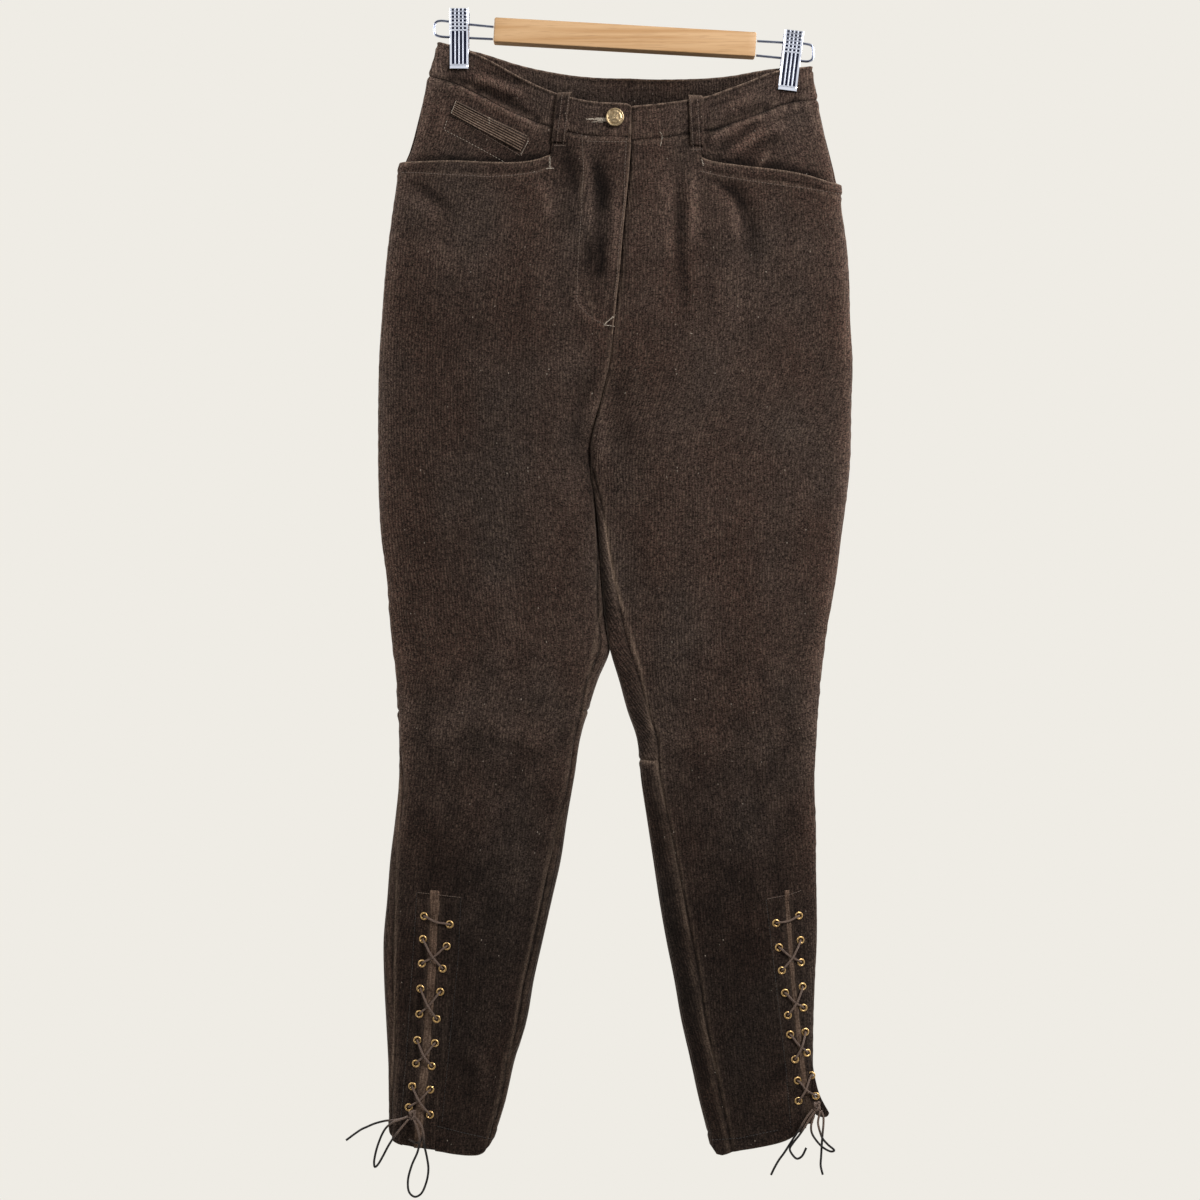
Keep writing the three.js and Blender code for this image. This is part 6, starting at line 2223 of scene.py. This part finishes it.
@dataclass
class Laces:
    """The lace of one leg: the lacing, the knot and the free ends and loops of the bow."""

    ankle: Ankle

    def strand(self, name: str, path: Array, length: float, far_end: str, lay: str) -> None:
        """One stretch of lace.

        Args:
            name: Its name.
            path: Stations of the middle line.
            length: Not used.
            far_end: Not used.
            lay: How it lies.
        """
        points, faces, grain = tube(path, LACE_DIAMETER / 2, 10)
        from_knot = np.linalg.norm(points - path[0], axis=1)
        # Hanging cords are painted darker from 12 mm past the knot: painted shade.
        fade = smooth((from_knot - 12) / 16) * (lay == "hanging")
        made = make_object(f"{name}_cord", points, faces, self.ankle.wardrobe.lace, "lace",
                           {"grain": grain, "fade": fade}, (name,))
        LOG.info("%s: %.0f mm of lace", name, lengths_along(path)[-1])

    def make(self) -> None:
        """Builds all of the lace on this leg."""
        side = self.ankle.side
        x, y, drop = KNOTS[side]
        centre = np.array([x, y, -drop])
        route = smooth_path(self.ankle.lacing_route(centre), 0.9)
        self.strand(f"lacing_{side.value}", route, CORD_LENGTHS[(side, "lacing")], "object", "taut")
        for name, marks in BOW_CORDS[side].items():
            path = smooth_path(np.reshape(marks, (-1, 3)) * (1, 1, -1), 0.9)
            self.strand(f"bow_{name}_{side.value}", path, CORD_LENGTHS[(side, name)],
                        "object" if "loop" in name else "bare", "hanging")
        gathered = Gathered()
        turns = np.linspace(0, 2 * math.pi, 70)
        for tilt, size in ((-0.5, 4.4), (0.1, 3.6), (0.75, 4.0)):
            loop = np.stack([size * 0.42 * np.cos(turns), size * 0.3 * np.sin(2 * turns + tilt),
                             size * np.sin(turns + tilt * 0.3)], -1)
            lean = np.array([[math.cos(tilt), 0, math.sin(tilt)], [0, 1, 0],
                             [-math.sin(tilt), 0, math.cos(tilt)]])
            path = centre + loop @ lean
            gathered.add(*tube(path, LACE_DIAMETER / 2 * 0.95, 10))
        gathered.make(f"bow_knot_{side.value}_cord", self.ankle.wardrobe.lace, "lace",
                      (f"bow_knot_{side.value}",))


# ---- button

@dataclass(frozen=True)
class WaistButton:
    """A shank button: a turned rim round a slightly domed, worn face."""

    radius: float = 9.0
    x: float = -10.5
    drop: float = 98.0

    def make(self, wardrobe: Wardrobe) -> Object:
        """Builds the button.

        Args:
            wardrobe: The finishes.

        Returns:
            What was made.
        """
        drop = np.array([self.drop])
        s = GARMENT.share_of_x(Side.RIGHT, np.array([self.x]), drop)
        seat, out = GARMENT.surface(Side.RIGHT, s, drop, BAND_LIFT + 1.3)
        r = self.radius
        face = ((0.86, 1.7), (0.98, 2.3), (1, 3.0), (0.965, 3.7), (0.9, 4.0), (0.83, 3.75), (0.8, 3.3),
                (0.72, 3.35), (0.68, 3.75), (0.6, 3.95), (0.5, 3.8), (0.36, 3.95), (0.2, 4.25))
        profile = [(0.4, 0.3), (3.2, 0.3), (3.2, 1.4), *((r * share, z) for share, z in face),
                   (0.4, 4.35)]
        points, faces = turned(profile, 48)
        height = points[:, 2] > 3.2
        wobble = ripple(points[:, 0], points[:, 1], 3.2, 77)
        points[:, 2] += np.where(height, 0.12 * wobble, 0)
        made = make_object("waist_button_brass", seated(points, seat[0], out[0]), faces,
                           wardrobe.antique, "brass", {}, ("waist_button",))
        LOG.info("waist button: %.0f mm across", 2 * r)
        return made


# ---- hanger

@dataclass
class ClipHanger:
    """A beech bar with a wire loop at each end and two chromed clips."""

    wardrobe: Wardrobe
    length: float = 261.6
    height: float = 24.3
    depth: float = 17.0
    tilt: float = math.radians(3.26)
    wire: float = 2.4
    jaw_width: float = 19.0
    groove_half: float = 0.75
    groove_depth: float = 0.46
    sheet: float = 1.2

    def turned_level(self, points: Array, angle: float) -> Array:
        """Points turned about the Y axis, positive lowering +X."""
        c, s = math.cos(angle), math.sin(angle)
        return points @ np.array([[c, 0, -s], [0, 1, 0], [s, 0, c]])

    def bar(self) -> None:
        """The wooden bar, with its four long edges rounded."""
        radius, steps = 1.3, 5
        middle, half = np.array([0, -self.height / 2]), np.array([self.depth / 2, self.height / 2])
        outline = []
        for across, up, start in ((1, 1, 0), (-1, 1, 90), (-1, -1, 180), (1, -1, 270)):
            for angle in np.radians(start + 90 * np.arange(steps + 1) / steps):
                outline.append(middle + (half - radius) * (across, up)
                               + radius * np.array([math.cos(angle), math.sin(angle)]))
        end = self.length / 2
        # Distance from the bar's end, and how much smaller the bar is there.
        rounded = ((0, 1.4), (0.25, 0.8), (0.8, 0.25), (1.6, 0))
        stations = [(gap - end, inset) for gap, inset in rounded]
        stations += [(x, 0.0) for x in np.linspace(8 - end, end - 8, 30)]
        stations += [(end - gap, inset) for gap, inset in rounded[::-1]]
        rings = []
        for x, inset in stations:
            drawn = middle + (np.array(outline) - middle) * (1 - inset / half)
            rings.append(np.column_stack([np.full(len(drawn), x), drawn]))
        points = np.array(rings)
        index = np.arange(points.shape[0] * points.shape[1]).reshape(points.shape[:2])
        onward = np.roll(index, -1, 1)
        quads = np.stack([index[:-1], index[1:], onward[1:], onward[:-1]], -1)
        faces = [*quads.reshape(-1, 4).tolist(), index[0].tolist(), index[-1][::-1].tolist()]
        make_object("hanger_bar_beech", self.turned_level(points.reshape(-1, 3), self.tilt), faces,
                    self.wardrobe.beech, "beech", {}, ("hanger_bar",))
        LOG.info("hanger bar: %.0f mm long", self.length)

    def wire_loop(self, side: Side, marks: Sequence[float]) -> None:
        """A wire bent to a U between four X and drop marks; its two ends go into the bar.

        Args:
            side: The half of the garment.
            marks: Four corners, as X, drop, X, drop.
        """
        start, upper, lower, low = np.reshape(marks, (4, 2))
        direction = math.copysign(1, upper[0] - start[0])
        corner = 5.0
        stops = [start, (start + upper) / 2, upper - (direction * corner, 0),
                 upper + (-direction * 1.2, 1.6), upper + (0, corner), lower - (0, corner),
                 lower + (-direction * 1.2, -1.6), lower - (direction * corner, 0),
                 (low + lower) / 2, low]
        path = smooth_path([(x, 0, -drop) for x, drop in stops], 0.9)
        points, faces, _ = tube(path, self.wire / 2, 12)
        name = f"hanger_wire_{side.value}"
        make_object(f"{name}_steel", points, faces, self.wardrobe.wire, "chrome", {}, (name,))

    def jaw(self, name: str, x: float, drop: float, lean: float, front: bool) -> None:
        """A pressed jaw: squares near the finger end, long ribs below, a flared lip at the foot.

        Args:
            name: Its name.
            x: X of its middle.
            drop: Drop of its top.
            lean: Degrees that it leans.
            front: Whether it is a front jaw.
        """
        half = self.jaw_width / 2
        # Each groove is an edge, its bottom line and the next edge.
        groove = ((-self.groove_half, 0), (0, self.groove_depth), (self.groove_half, 0))
        rim = ((-half, 1.6), (-half + 0.25, 1.2), (-7.25, 0))
        across = [*rim, *((3.9 * k + x, deep) for k in (-1, 0, 1) for x, deep in groove),
                  *((-x, deep) for x, deep in rim[::-1])]
        down = [(0, 0.9), (0.4, 0.2), (1, 0), (2.6, 0)]
        down += [(3.3 + 3.7 * k + z, deep) for k in range(6) for z, deep in groove]
        down += [(z, 0) for z in (28, 34, 40, 46, 52, 55.2)] + [(56.2, 0.7), (57, 0.5), (60, 0.3)]
        x_at, x_deep = np.array(across, float).T
        z_at, z_deep = np.array(down, float).T
        profile = through([0, 14, 30, 52, 57, 60], [8.2, 8.2, 6.4, 5.7, 5.7, 7.4], z_at)
        zz, xx = np.meshgrid(z_at, x_at, indexing="ij")
        deep = np.maximum(z_deep[:, None], np.where(zz > 56.3, x_deep * (np.abs(xx) > 7.3), x_deep))
        sign = -1 if front else 1
        outer = np.stack([xx, sign * (profile[:, None] + self.sheet + 0.5 - deep), -zz], -1)
        inner = np.stack([xx, sign * (profile[:, None] - np.clip(deep - 1.2, 0, 1)), -zz], -1)
        points, faces, _ = closed_sheet(outer, inner)
        shaped = self.turned_level(points, math.radians(lean)) + (x, 0, -drop)
        made = make_object(f"{name}_steel", shaped, faces, self.wardrobe.chrome, "chrome", {}, (name,))
        made.data.shade_flat()

    def make(self) -> None:
        """Builds the hanger; the clips' springs keep their CAD shape."""
        self.bar()
        self.wire_loop(Side.RIGHT, (-131.9, 0.4, -191, -5.6, -191, 9.8, -132.6, 12.6))
        self.wire_loop(Side.LEFT, (131.6, 14.6, 187.5, 17.8, 187.5, 34.8, 130.6, 29))
        for side, x, drop, lean in ((Side.RIGHT, -166, -16.2, 0), (Side.LEFT, 168.4, 5.9, 6.8)):
            for face in ("front", "back"):
                self.jaw(f"clip_{side.value}_{face}", x, drop, lean, face == "front")
            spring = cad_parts[f"clip_{side.value}_spring"]
            spring.data.materials.clear()
            spring.data.materials.append(self.wardrobe.chrome)
        LOG.info("clip hanger: done")


# ---- stitching

class Stitching:
    """Rows of stitches that lie on the cloth, found by looking at it from the camera's place."""

    def __init__(self, cloth: Sequence[Object]) -> None:
        """Keeps the cloth to be sewn on as one shape for ray casts.

        Args:
            cloth: The pieces to sew on.
        """
        points, faces, count = [], [], 0
        for piece in cloth:
            mesh = piece.data
            co = np.empty(len(mesh.vertices) * 3, np.float32)
            mesh.vertices.foreach_get("co", co)
            points.append(co.reshape(-1, 3))
            faces.extend([[v + count for v in p.vertices] for p in mesh.polygons])
            count += len(mesh.vertices)
        self.tree = BVHTree.FromPolygons(np.concatenate(points).tolist(), faces)
        self.eye = Vector((CAMERA_X * MM, -CAMERA_DISTANCE * MM, -CAMERA_DROP * MM))

    def seen(self, x: float, y: float) -> tuple[Array, Array] | None:
        """The place on the front cloth of a mark on the elevation, and its normal, in mm.

        Args:
            x: First coordinate on the elevation.
            y: Second coordinate.

        Returns:
            Place and normal, or None for a miss.
        """
        target = Vector(((x - ELEVATION_ORIGIN[0]) * MM, 0, -(y - ELEVATION_ORIGIN[1]) * MM))
        hit, normal, _, _ = self.tree.ray_cast(self.eye, (target - self.eye).normalized())
        return None if hit is None else (np.array(hit) / MM, np.array(normal))

    def behind(self, x: float, drop: float) -> tuple[Array, Array] | None:
        """The place on the back cloth at X and drop, and its normal, in mm.

        Args:
            x: X of the places.
            drop: Heights, as drops.

        Returns:
            Place and normal, or None for a miss.
        """
        start = Vector((x * MM, 0.4, -drop * MM))
        hit, normal, _, _ = self.tree.ray_cast(start, Vector((0, -1, 0)))
        return None if hit is None else (np.array(hit) / MM, np.array(normal))

    def row(self, gathered: Gathered, marks: Sequence[tuple[float, float]], pitch: float = 3.1,
            length: float = 2.3, radius: float = 0.32, back: bool = False) -> None:
        """Adds one row of stitches.

        Args:
            gathered: The piece that they belong to.
            marks: Corners of the row on the elevation, or X and drop behind.
            pitch: Distance from stitch to stitch.
            length: How much of a stitch shows.
            radius: The thread's radius.
            back: Whether the row is on the back.
        """
        line = np.array(marks, float)
        run = lengths_along(line)
        place = lambda t: (np.interp(t, run, line[:, 0]), np.interp(t, run, line[:, 1]))
        for begin in np.arange(0, run[-1] - length * 0.5, pitch):
            find = self.behind if back else self.seen
            ends = [find(*place(t)) for t in (begin, begin + length)]
            if None in ends or np.linalg.norm(ends[0][0] - ends[1][0]) > 3 * length:
                continue
            (a, na), (b, nb) = ends
            middle = (a + b) / 2 + unit(na + nb) * radius * 0.9
            path = np.array([a - na * radius * 0.6, mix(a, middle, 0.45) + na * radius * 0.35, middle,
                             mix(b, middle, 0.45) + nb * radius * 0.35, b - nb * radius * 0.6])
            sizes = radius * np.array([0.55, 0.95, 1, 0.95, 0.55])
            gathered.add(*tube(path, sizes, 6))

    def bar(self, gathered: Gathered, a: tuple[float, float], b: tuple[float, float],
            width: float, turns: int, radius: float = 0.3) -> None:
        """A bar tack: threads laid close across a short line.

        Args:
            gathered: The piece that they belong to.
            a: Its first end.
            b: Its other end.
            width: How wide it is.
            turns: How many threads it has.
            radius: The thread's radius.
        """
        start, end = np.array(a, float), np.array(b, float)
        direction = unit(end - start)
        across = np.array([-direction[1], direction[0]]) * width / 2
        for k in range(turns):
            centre = mix(start, end, (k + 0.5) / turns)
            slip = direction * 0.25
            self.row(gathered, [tuple(centre - across - slip), tuple(centre + across + slip)],
                     pitch=width * 4, length=width, radius=radius)


@dataclass(frozen=True)
class Row:
    """A row of stitches: its flat marks, and the pitch, length and radius of its stitches."""

    marks: Sequence[float]
    gauge: tuple[float, ...] = ()


POCKET_ROWS = (
    Row((402, 172.5, 420, 172.8, 457, 175, 490, 176.7, 515, 175, 537, 172, 552, 166.5)),
    Row((700, 171, 719, 175.6, 748, 180.4, 780, 185, 812, 189, 839, 193.8)),
)
TICKET_ROWS = tuple(Row(marks, (2.5, 1.9)) for marks in (
    (456, 101, 451.5, 115), (451.5, 115, 521, 156), (521, 156, 528.5, 139), (528.5, 139, 456, 101)))
FLY_ROWS = (
    Row((582, 134, 583.5, 169, 580.8, 218, 578, 266, 576.5, 300, 580, 307, 586.6, 312.7, 594.6, 320,
         605, 324, 613, 326)),
    Row((626.5, 138, 624.5, 177, 624.3, 201, 619.6, 235, 616.6, 280, 613.5, 300)),
    Row((586, 141, 600, 141.6, 614, 141.8, 627, 141.5)),
)
FLY_TACKS = tuple(Row(marks, (3.0, 2.7, 0.36)) for marks in (
    (604.5, 324.3, 615.2, 314.6), (603.5, 324.8, 614.5, 326.4), (605.5, 322.8, 614.2, 316.6)))
PLACKET_ROWS = tuple(Row(marks, (2.9, 2.1, 0.24)) for marks in (
    (461, 897.5, 458, 960, 449, 1050, 442, 1122), (417, 892, 411, 985, 406, 1060, 400, 1130),
    (766, 899, 775, 975, 786, 1070, 791, 1130)))
HEAD_ROWS = tuple(Row(marks, (2.4, 2.0, 0.3)) for marks in (
    (418, 892.5, 461, 897.5), (767, 899, 790, 894.5, 801, 890.5)))
LOOSE_THREADS = (
    Row((659.5, 131.5, 662.4, 135), (20.0, 4.2, 0.24)), Row((662.2, 135, 661.6, 141), (20.0, 5.6, 0.24)),
    Row((661.6, 141, 660.2, 147), (20.0, 5.6, 0.24)), Row((690, 333, 693, 334), (20.0, 2.6, 0.24)),
)


@dataclass
class Needlework:
    """All the visible sewing, a piece for each part of the garment."""

    stitching: Stitching
    wardrobe: Wardrobe

    def sew(self, gathered: Gathered, rows: Sequence[Row], back: bool = False) -> None:
        """Adds rows to a piece."""
        for row in rows:
            self.stitching.row(gathered, np.reshape(row.marks, (-1, 2)), *row.gauge, back=back)

    def piece(self, name: str, thread: Material, rows: Sequence[Row]) -> None:
        """A piece that is rows and nothing else.

        Args:
            name: Its name.
            thread: The thread.
            rows: The rows.
        """
        gathered = Gathered()
        self.sew(gathered, rows)
        gathered.make(name, thread, "corduroy")

    def pockets(self) -> None:
        """Stitches along the pocket mouths and their end tacks."""
        self.piece("stitches_pockets", self.wardrobe.topstitch, POCKET_ROWS)
        tacks = Gathered()
        self.stitching.bar(tacks, (549.8, 156.5), (549.8, 168.6), 2.0, 9)
        self.stitching.bar(tacks, (701.5, 158.5), (703.5, 166), 1.6, 5)
        self.sew(tacks, (Row((546, 168.8, 554, 168.2), (2.0, 1.7, 0.36)),))
        tacks.make("tacks_pockets", self.wardrobe.pale_thread, "corduroy")

    def ticket(self) -> None:
        """The frame of the ticket pocket and the seam of its bag."""
        self.piece("stitches_ticket_pocket", self.wardrobe.topstitch, TICKET_ROWS)
        pale = Gathered()
        self.sew(pale, (Row((455.8, 101.6, 451.3, 113.5), (1.6, 1.4, 0.36)),
                        Row((528.3, 141, 520.6, 155), (2.0, 1.4, 0.3))))
        self.stitching.bar(pale, (489, 117), (489.5, 124.5), 1.6, 5, 0.26)
        self.sew(pale, (Row((447, 120.5, 444, 129.7, 466, 141, 490, 154, 506, 163), (3.4, 1.9, 0.2)),))
        pale.make("tacks_ticket_pocket", self.wardrobe.pale_thread, "corduroy")

    def fly(self) -> None:
        """The J of the fly, its edge, and the tacks that close it."""
        self.piece("stitches_fly", self.wardrobe.topstitch, FLY_ROWS)
        self.piece("tacks_fly", self.wardrobe.pale_thread, FLY_TACKS)

    def loops(self) -> None:
        """Two rows on every belt loop, and bars at the feet of the two front loops."""
        gathered = Gathered()
        pair = lambda x_top, top, x_low, low: [
            Row((x_top + shift, top, x_low + shift, low), (2.5, 1.8))
            for shift in (-LOOP_STITCH, LOOP_STITCH)]
        for x_top, top, x_low, low in ((565.5, 95, 559.7, 146), (694, 99.5, 696.7, 150)):
            self.sew(gathered, pair(x_top, top, x_low, low))
            self.stitching.bar(gathered, (x_low - 6, low - 0.5), (x_low + 6, low - 0.5), 1.8, 10)
        for ends in ((-118, 32, -122, 82), (124, 42, 128, 92), (-6, 42, -6, 90)):
            self.sew(gathered, pair(*ends), back=True)
        gathered.make("stitches_belt_loops", self.wardrobe.topstitch, "corduroy")

    def ankles(self) -> None:
        """Rows beside the eyelets and round the hems."""
        self.piece("stitches_plackets", self.wardrobe.dark_thread, PLACKET_ROWS)
        hems = Gathered()
        self.sew(hems, [Row(marks, (3.4, 2.4)) for marks in (
            (437, 1126, 460, 1132, 492, 1139), (712, 1140, 740, 1138, 778, 1130))])
        for side in Side:
            s = np.linspace(-0.06, -0.96, 30)
            drop = GARMENT.hem(side, s) - 15
            x = GARMENT.place(side, s, drop)[:, 0]
            self.sew(hems, (Row(np.stack([x, drop], -1), (3.4, 2.4)),), back=True)
        hems.make("stitches_hems", self.wardrobe.dark_thread, "corduroy")
        self.piece("stitches_placket_heads", self.wardrobe.topstitch, HEAD_ROWS)

    def buttonhole(self) -> None:
        """A worked buttonhole whose pale threads have frayed."""
        rows = []
        draw = np.random.default_rng(41)
        for k in range(30):
            x = 586.5 + 21 * k / 29
            spread = 0.5 + 1.5 * smooth((x - 594) / 10) * draw.uniform(0.4, 1.2)
            lean = draw.uniform(-1.2, 1.2)
            rows.append(Row((x - lean, 119.2 - spread, x + lean, 119.6 + spread),
                            (12.0, 2 * spread + 0.4, 0.24)))
        for k in range(8):
            y = 117.8 + 0.6 * k
            rows.append(Row((588 + draw.uniform(0, 9), y, 607, y + draw.uniform(-1, 1)),
                            (6.4, 5.2, 0.22)))
        self.piece("buttonhole_threads", self.wardrobe.pale_thread, rows)

    def make(self) -> None:
        """Sews everything; the last piece is a loose thread that clings to the front."""
        for work in (self.pockets, self.ticket, self.fly, self.loops, self.ankles, self.buttonhole):
            work()
        self.piece("loose_threads", self.wardrobe.pale_thread, LOOSE_THREADS)


# ---- studio

@dataclass(frozen=True)
class Studio:
    """Pale backdrop colour, floor, soft lights and the camera."""

    backdrop: str = "#efece5"
    floor_paint: str = "#c3c0b8"
    ambient: float = 0.3
    dark_room: str = "#10142e"
    key_power: float = 76.0
    fill_power: float = 14.0
    rim_power: float = 34.0
    floor_drop: float = 1400.0
    floor_radius: float = 650.0

    def put(self, name: str, data: bpy.types.ID) -> Object:
        """Adds an object to the scene.

        Args:
            name: Its name.
            data: What the object shows.

        Returns:
            The new object.
        """
        made = bpy.data.objects.new(name, data)
        bpy.context.scene.collection.objects.link(made)
        return made

    def camera(self) -> None:
        """Level, square on to the garment, framing 1.2 m at the plane of the side seams."""
        data = bpy.data.cameras.new("camera")
        data.sensor_width = 36.0
        data.lens = data.sensor_width * CAMERA_DISTANCE / ELEVATION_SIZE
        made = self.put("camera", data)
        made.location = (CAMERA_X * MM, -CAMERA_DISTANCE * MM, -CAMERA_DROP * MM)
        made.rotation_euler = (math.pi / 2, 0, 0)
        bpy.context.scene.camera = made

    def world(self) -> None:
        """An even pale surround; what shines in metal is a pale room with two dark ends."""
        world = bpy.data.worlds.new("surround")
        bpy.context.scene.world = world
        world.use_nodes = True
        n = Nodes(world.node_tree)
        path = n.add("LightPath").outputs
        way = n.add("SeparateXYZ", links={0: n.add("TexCoord").outputs["Generated"]})
        dark = n.spread(n.math("ABSOLUTE", way.outputs["Y"]), 0.5, 0.78)
        lit = n.blend(path["Is Glossy Ray"], self.backdrop, n.blend(dark, "#ffffff", self.dark_room))
        strength = n.math("MAXIMUM", n.spread(path["Is Glossy Ray"], 0, 1, self.ambient, 0.95),
                          path["Is Camera Ray"])
        surround = n.add("Background", links={"Color": lit, "Strength": strength})
        n.add("OutputWorld", links={"Surface": surround.outputs[0]})

    def lamp(self, name: str, place: Sequence[float], target: Sequence[float], size: float,
             power: float) -> None:
        """One soft box aimed at a point; it lights and is not seen itself.

        Args:
            name: Its name.
            place: Where it stands.
            target: What it is aimed at.
            size: Its width, in metres.
            power: Watts.
        """
        data = bpy.data.lights.new(name, "AREA")
        data.shape = "RECTANGLE"
        data.size, data.size_y = size, size * 1.2
        data.energy = power
        made = self.put(name, data)
        made.location = place
        made.rotation_euler = (Vector(target) - Vector(place)).to_track_quat("-Z", "Y").to_euler()
        made.visible_camera = False

    def floor(self) -> None:
        """A round pale floor well below the hems, which fades into the backdrop at its rim."""
        radius = self.floor_radius
        ring = np.linspace(0, 2 * math.pi, 96, endpoint=False)
        rim = np.stack([radius * np.cos(ring), radius * np.sin(ring), ring * 0 - self.floor_drop], -1)
        mesh = bpy.data.meshes.new("floor")
        mesh.from_pydata((rim * MM).tolist(), [], [list(range(len(rim)))])
        f = Finish("matt_floor_paint", {"Base Color": linear(self.floor_paint), "Roughness": 0.9})
        out = f.add("VectorMath", links={0: f.scaled(f.here(), (1, 1, 0))}, operation="LENGTH")
        rim_fade = f.spread(out.outputs["Value"], 0.2, radius * MM * 0.96,
                            interpolation_type="SMOOTHSTEP")
        fade = f.math("MULTIPLY", rim_fade, f.add("LightPath").outputs["Is Camera Ray"])
        glow = f.add("Emission", {"Color": linear(self.backdrop)})
        mixed = f.add("MixShader", links={0: fade, 1: f.shader.outputs[0], 2: glow.outputs[0]})
        f.tree.links.new(mixed.outputs[0], f.output.inputs["Surface"])
        mesh.materials.append(f.material)
        self.put("floor", mesh)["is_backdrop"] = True

    def make(self) -> None:
        """Sets everything up."""
        bpy.context.scene.view_settings.view_transform = "Standard"
        self.camera()
        self.world()
        self.lamp("key_softbox", (1.5, -1.9, 0.85), (-0.02, 0, -0.36), 0.8, self.key_power)
        self.lamp("fill_softbox", (-1.7, -1.9, 0.2), (-0.05, 0, -0.6), 1.2, self.fill_power)
        for name, x in (("rim_softbox_right", -1.6), ("rim_softbox_left", 1.6)):
            self.lamp(name, (x, 0.9, 0.1), (0, 0, -0.55), 1.1, self.rim_power)
        self.floor()
        LOG.info("studio: done")


def write_sizes() -> None:
    """Measures the CAD box and the dressed box; neither is kept."""
    plain = lambda box: [[float(c) for c in corner] for corner in box]
    {"cad": plain(CAD_BOX), "visual": plain(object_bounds())}


def main() -> None:
    """Builds the studio, the pants and the hanger in order."""
    logging.basicConfig(level=logging.INFO, format="%(name)s: %(message)s")
    Studio().make()
    wardrobe = Wardrobe()
    cloth: list[Object] = []
    for side in Side:
        ankle = Ankle(side, wardrobe)
        Laces(ankle).make()
        panels = LegPanels(side, wardrobe)
        panels.front()
        panels.back(upper=True)
        panels.back(upper=False)
        ankle.gusset()
        for part in ("outer", "inner"):
            ankle.placket(part)
            ankle.eyelets(part)
        cloth += [*panels.cloth, *ankle.cloth]
    top = WaistTop(wardrobe)
    for side in Side:
        top.band(side)
        top.yoke(side)
    top.back_band()
    top.ticket_pocket()
    top.fly_facing()
    cloth += [*top.cloth, *(loop.make(wardrobe) for loop in BELT_LOOPS)]
    WaistButton().make(wardrobe)
    ClipHanger(wardrobe).make()
    Needlework(Stitching(cloth), wardrobe).make()
    write_sizes()


if __name__ == "__main__":
    main()
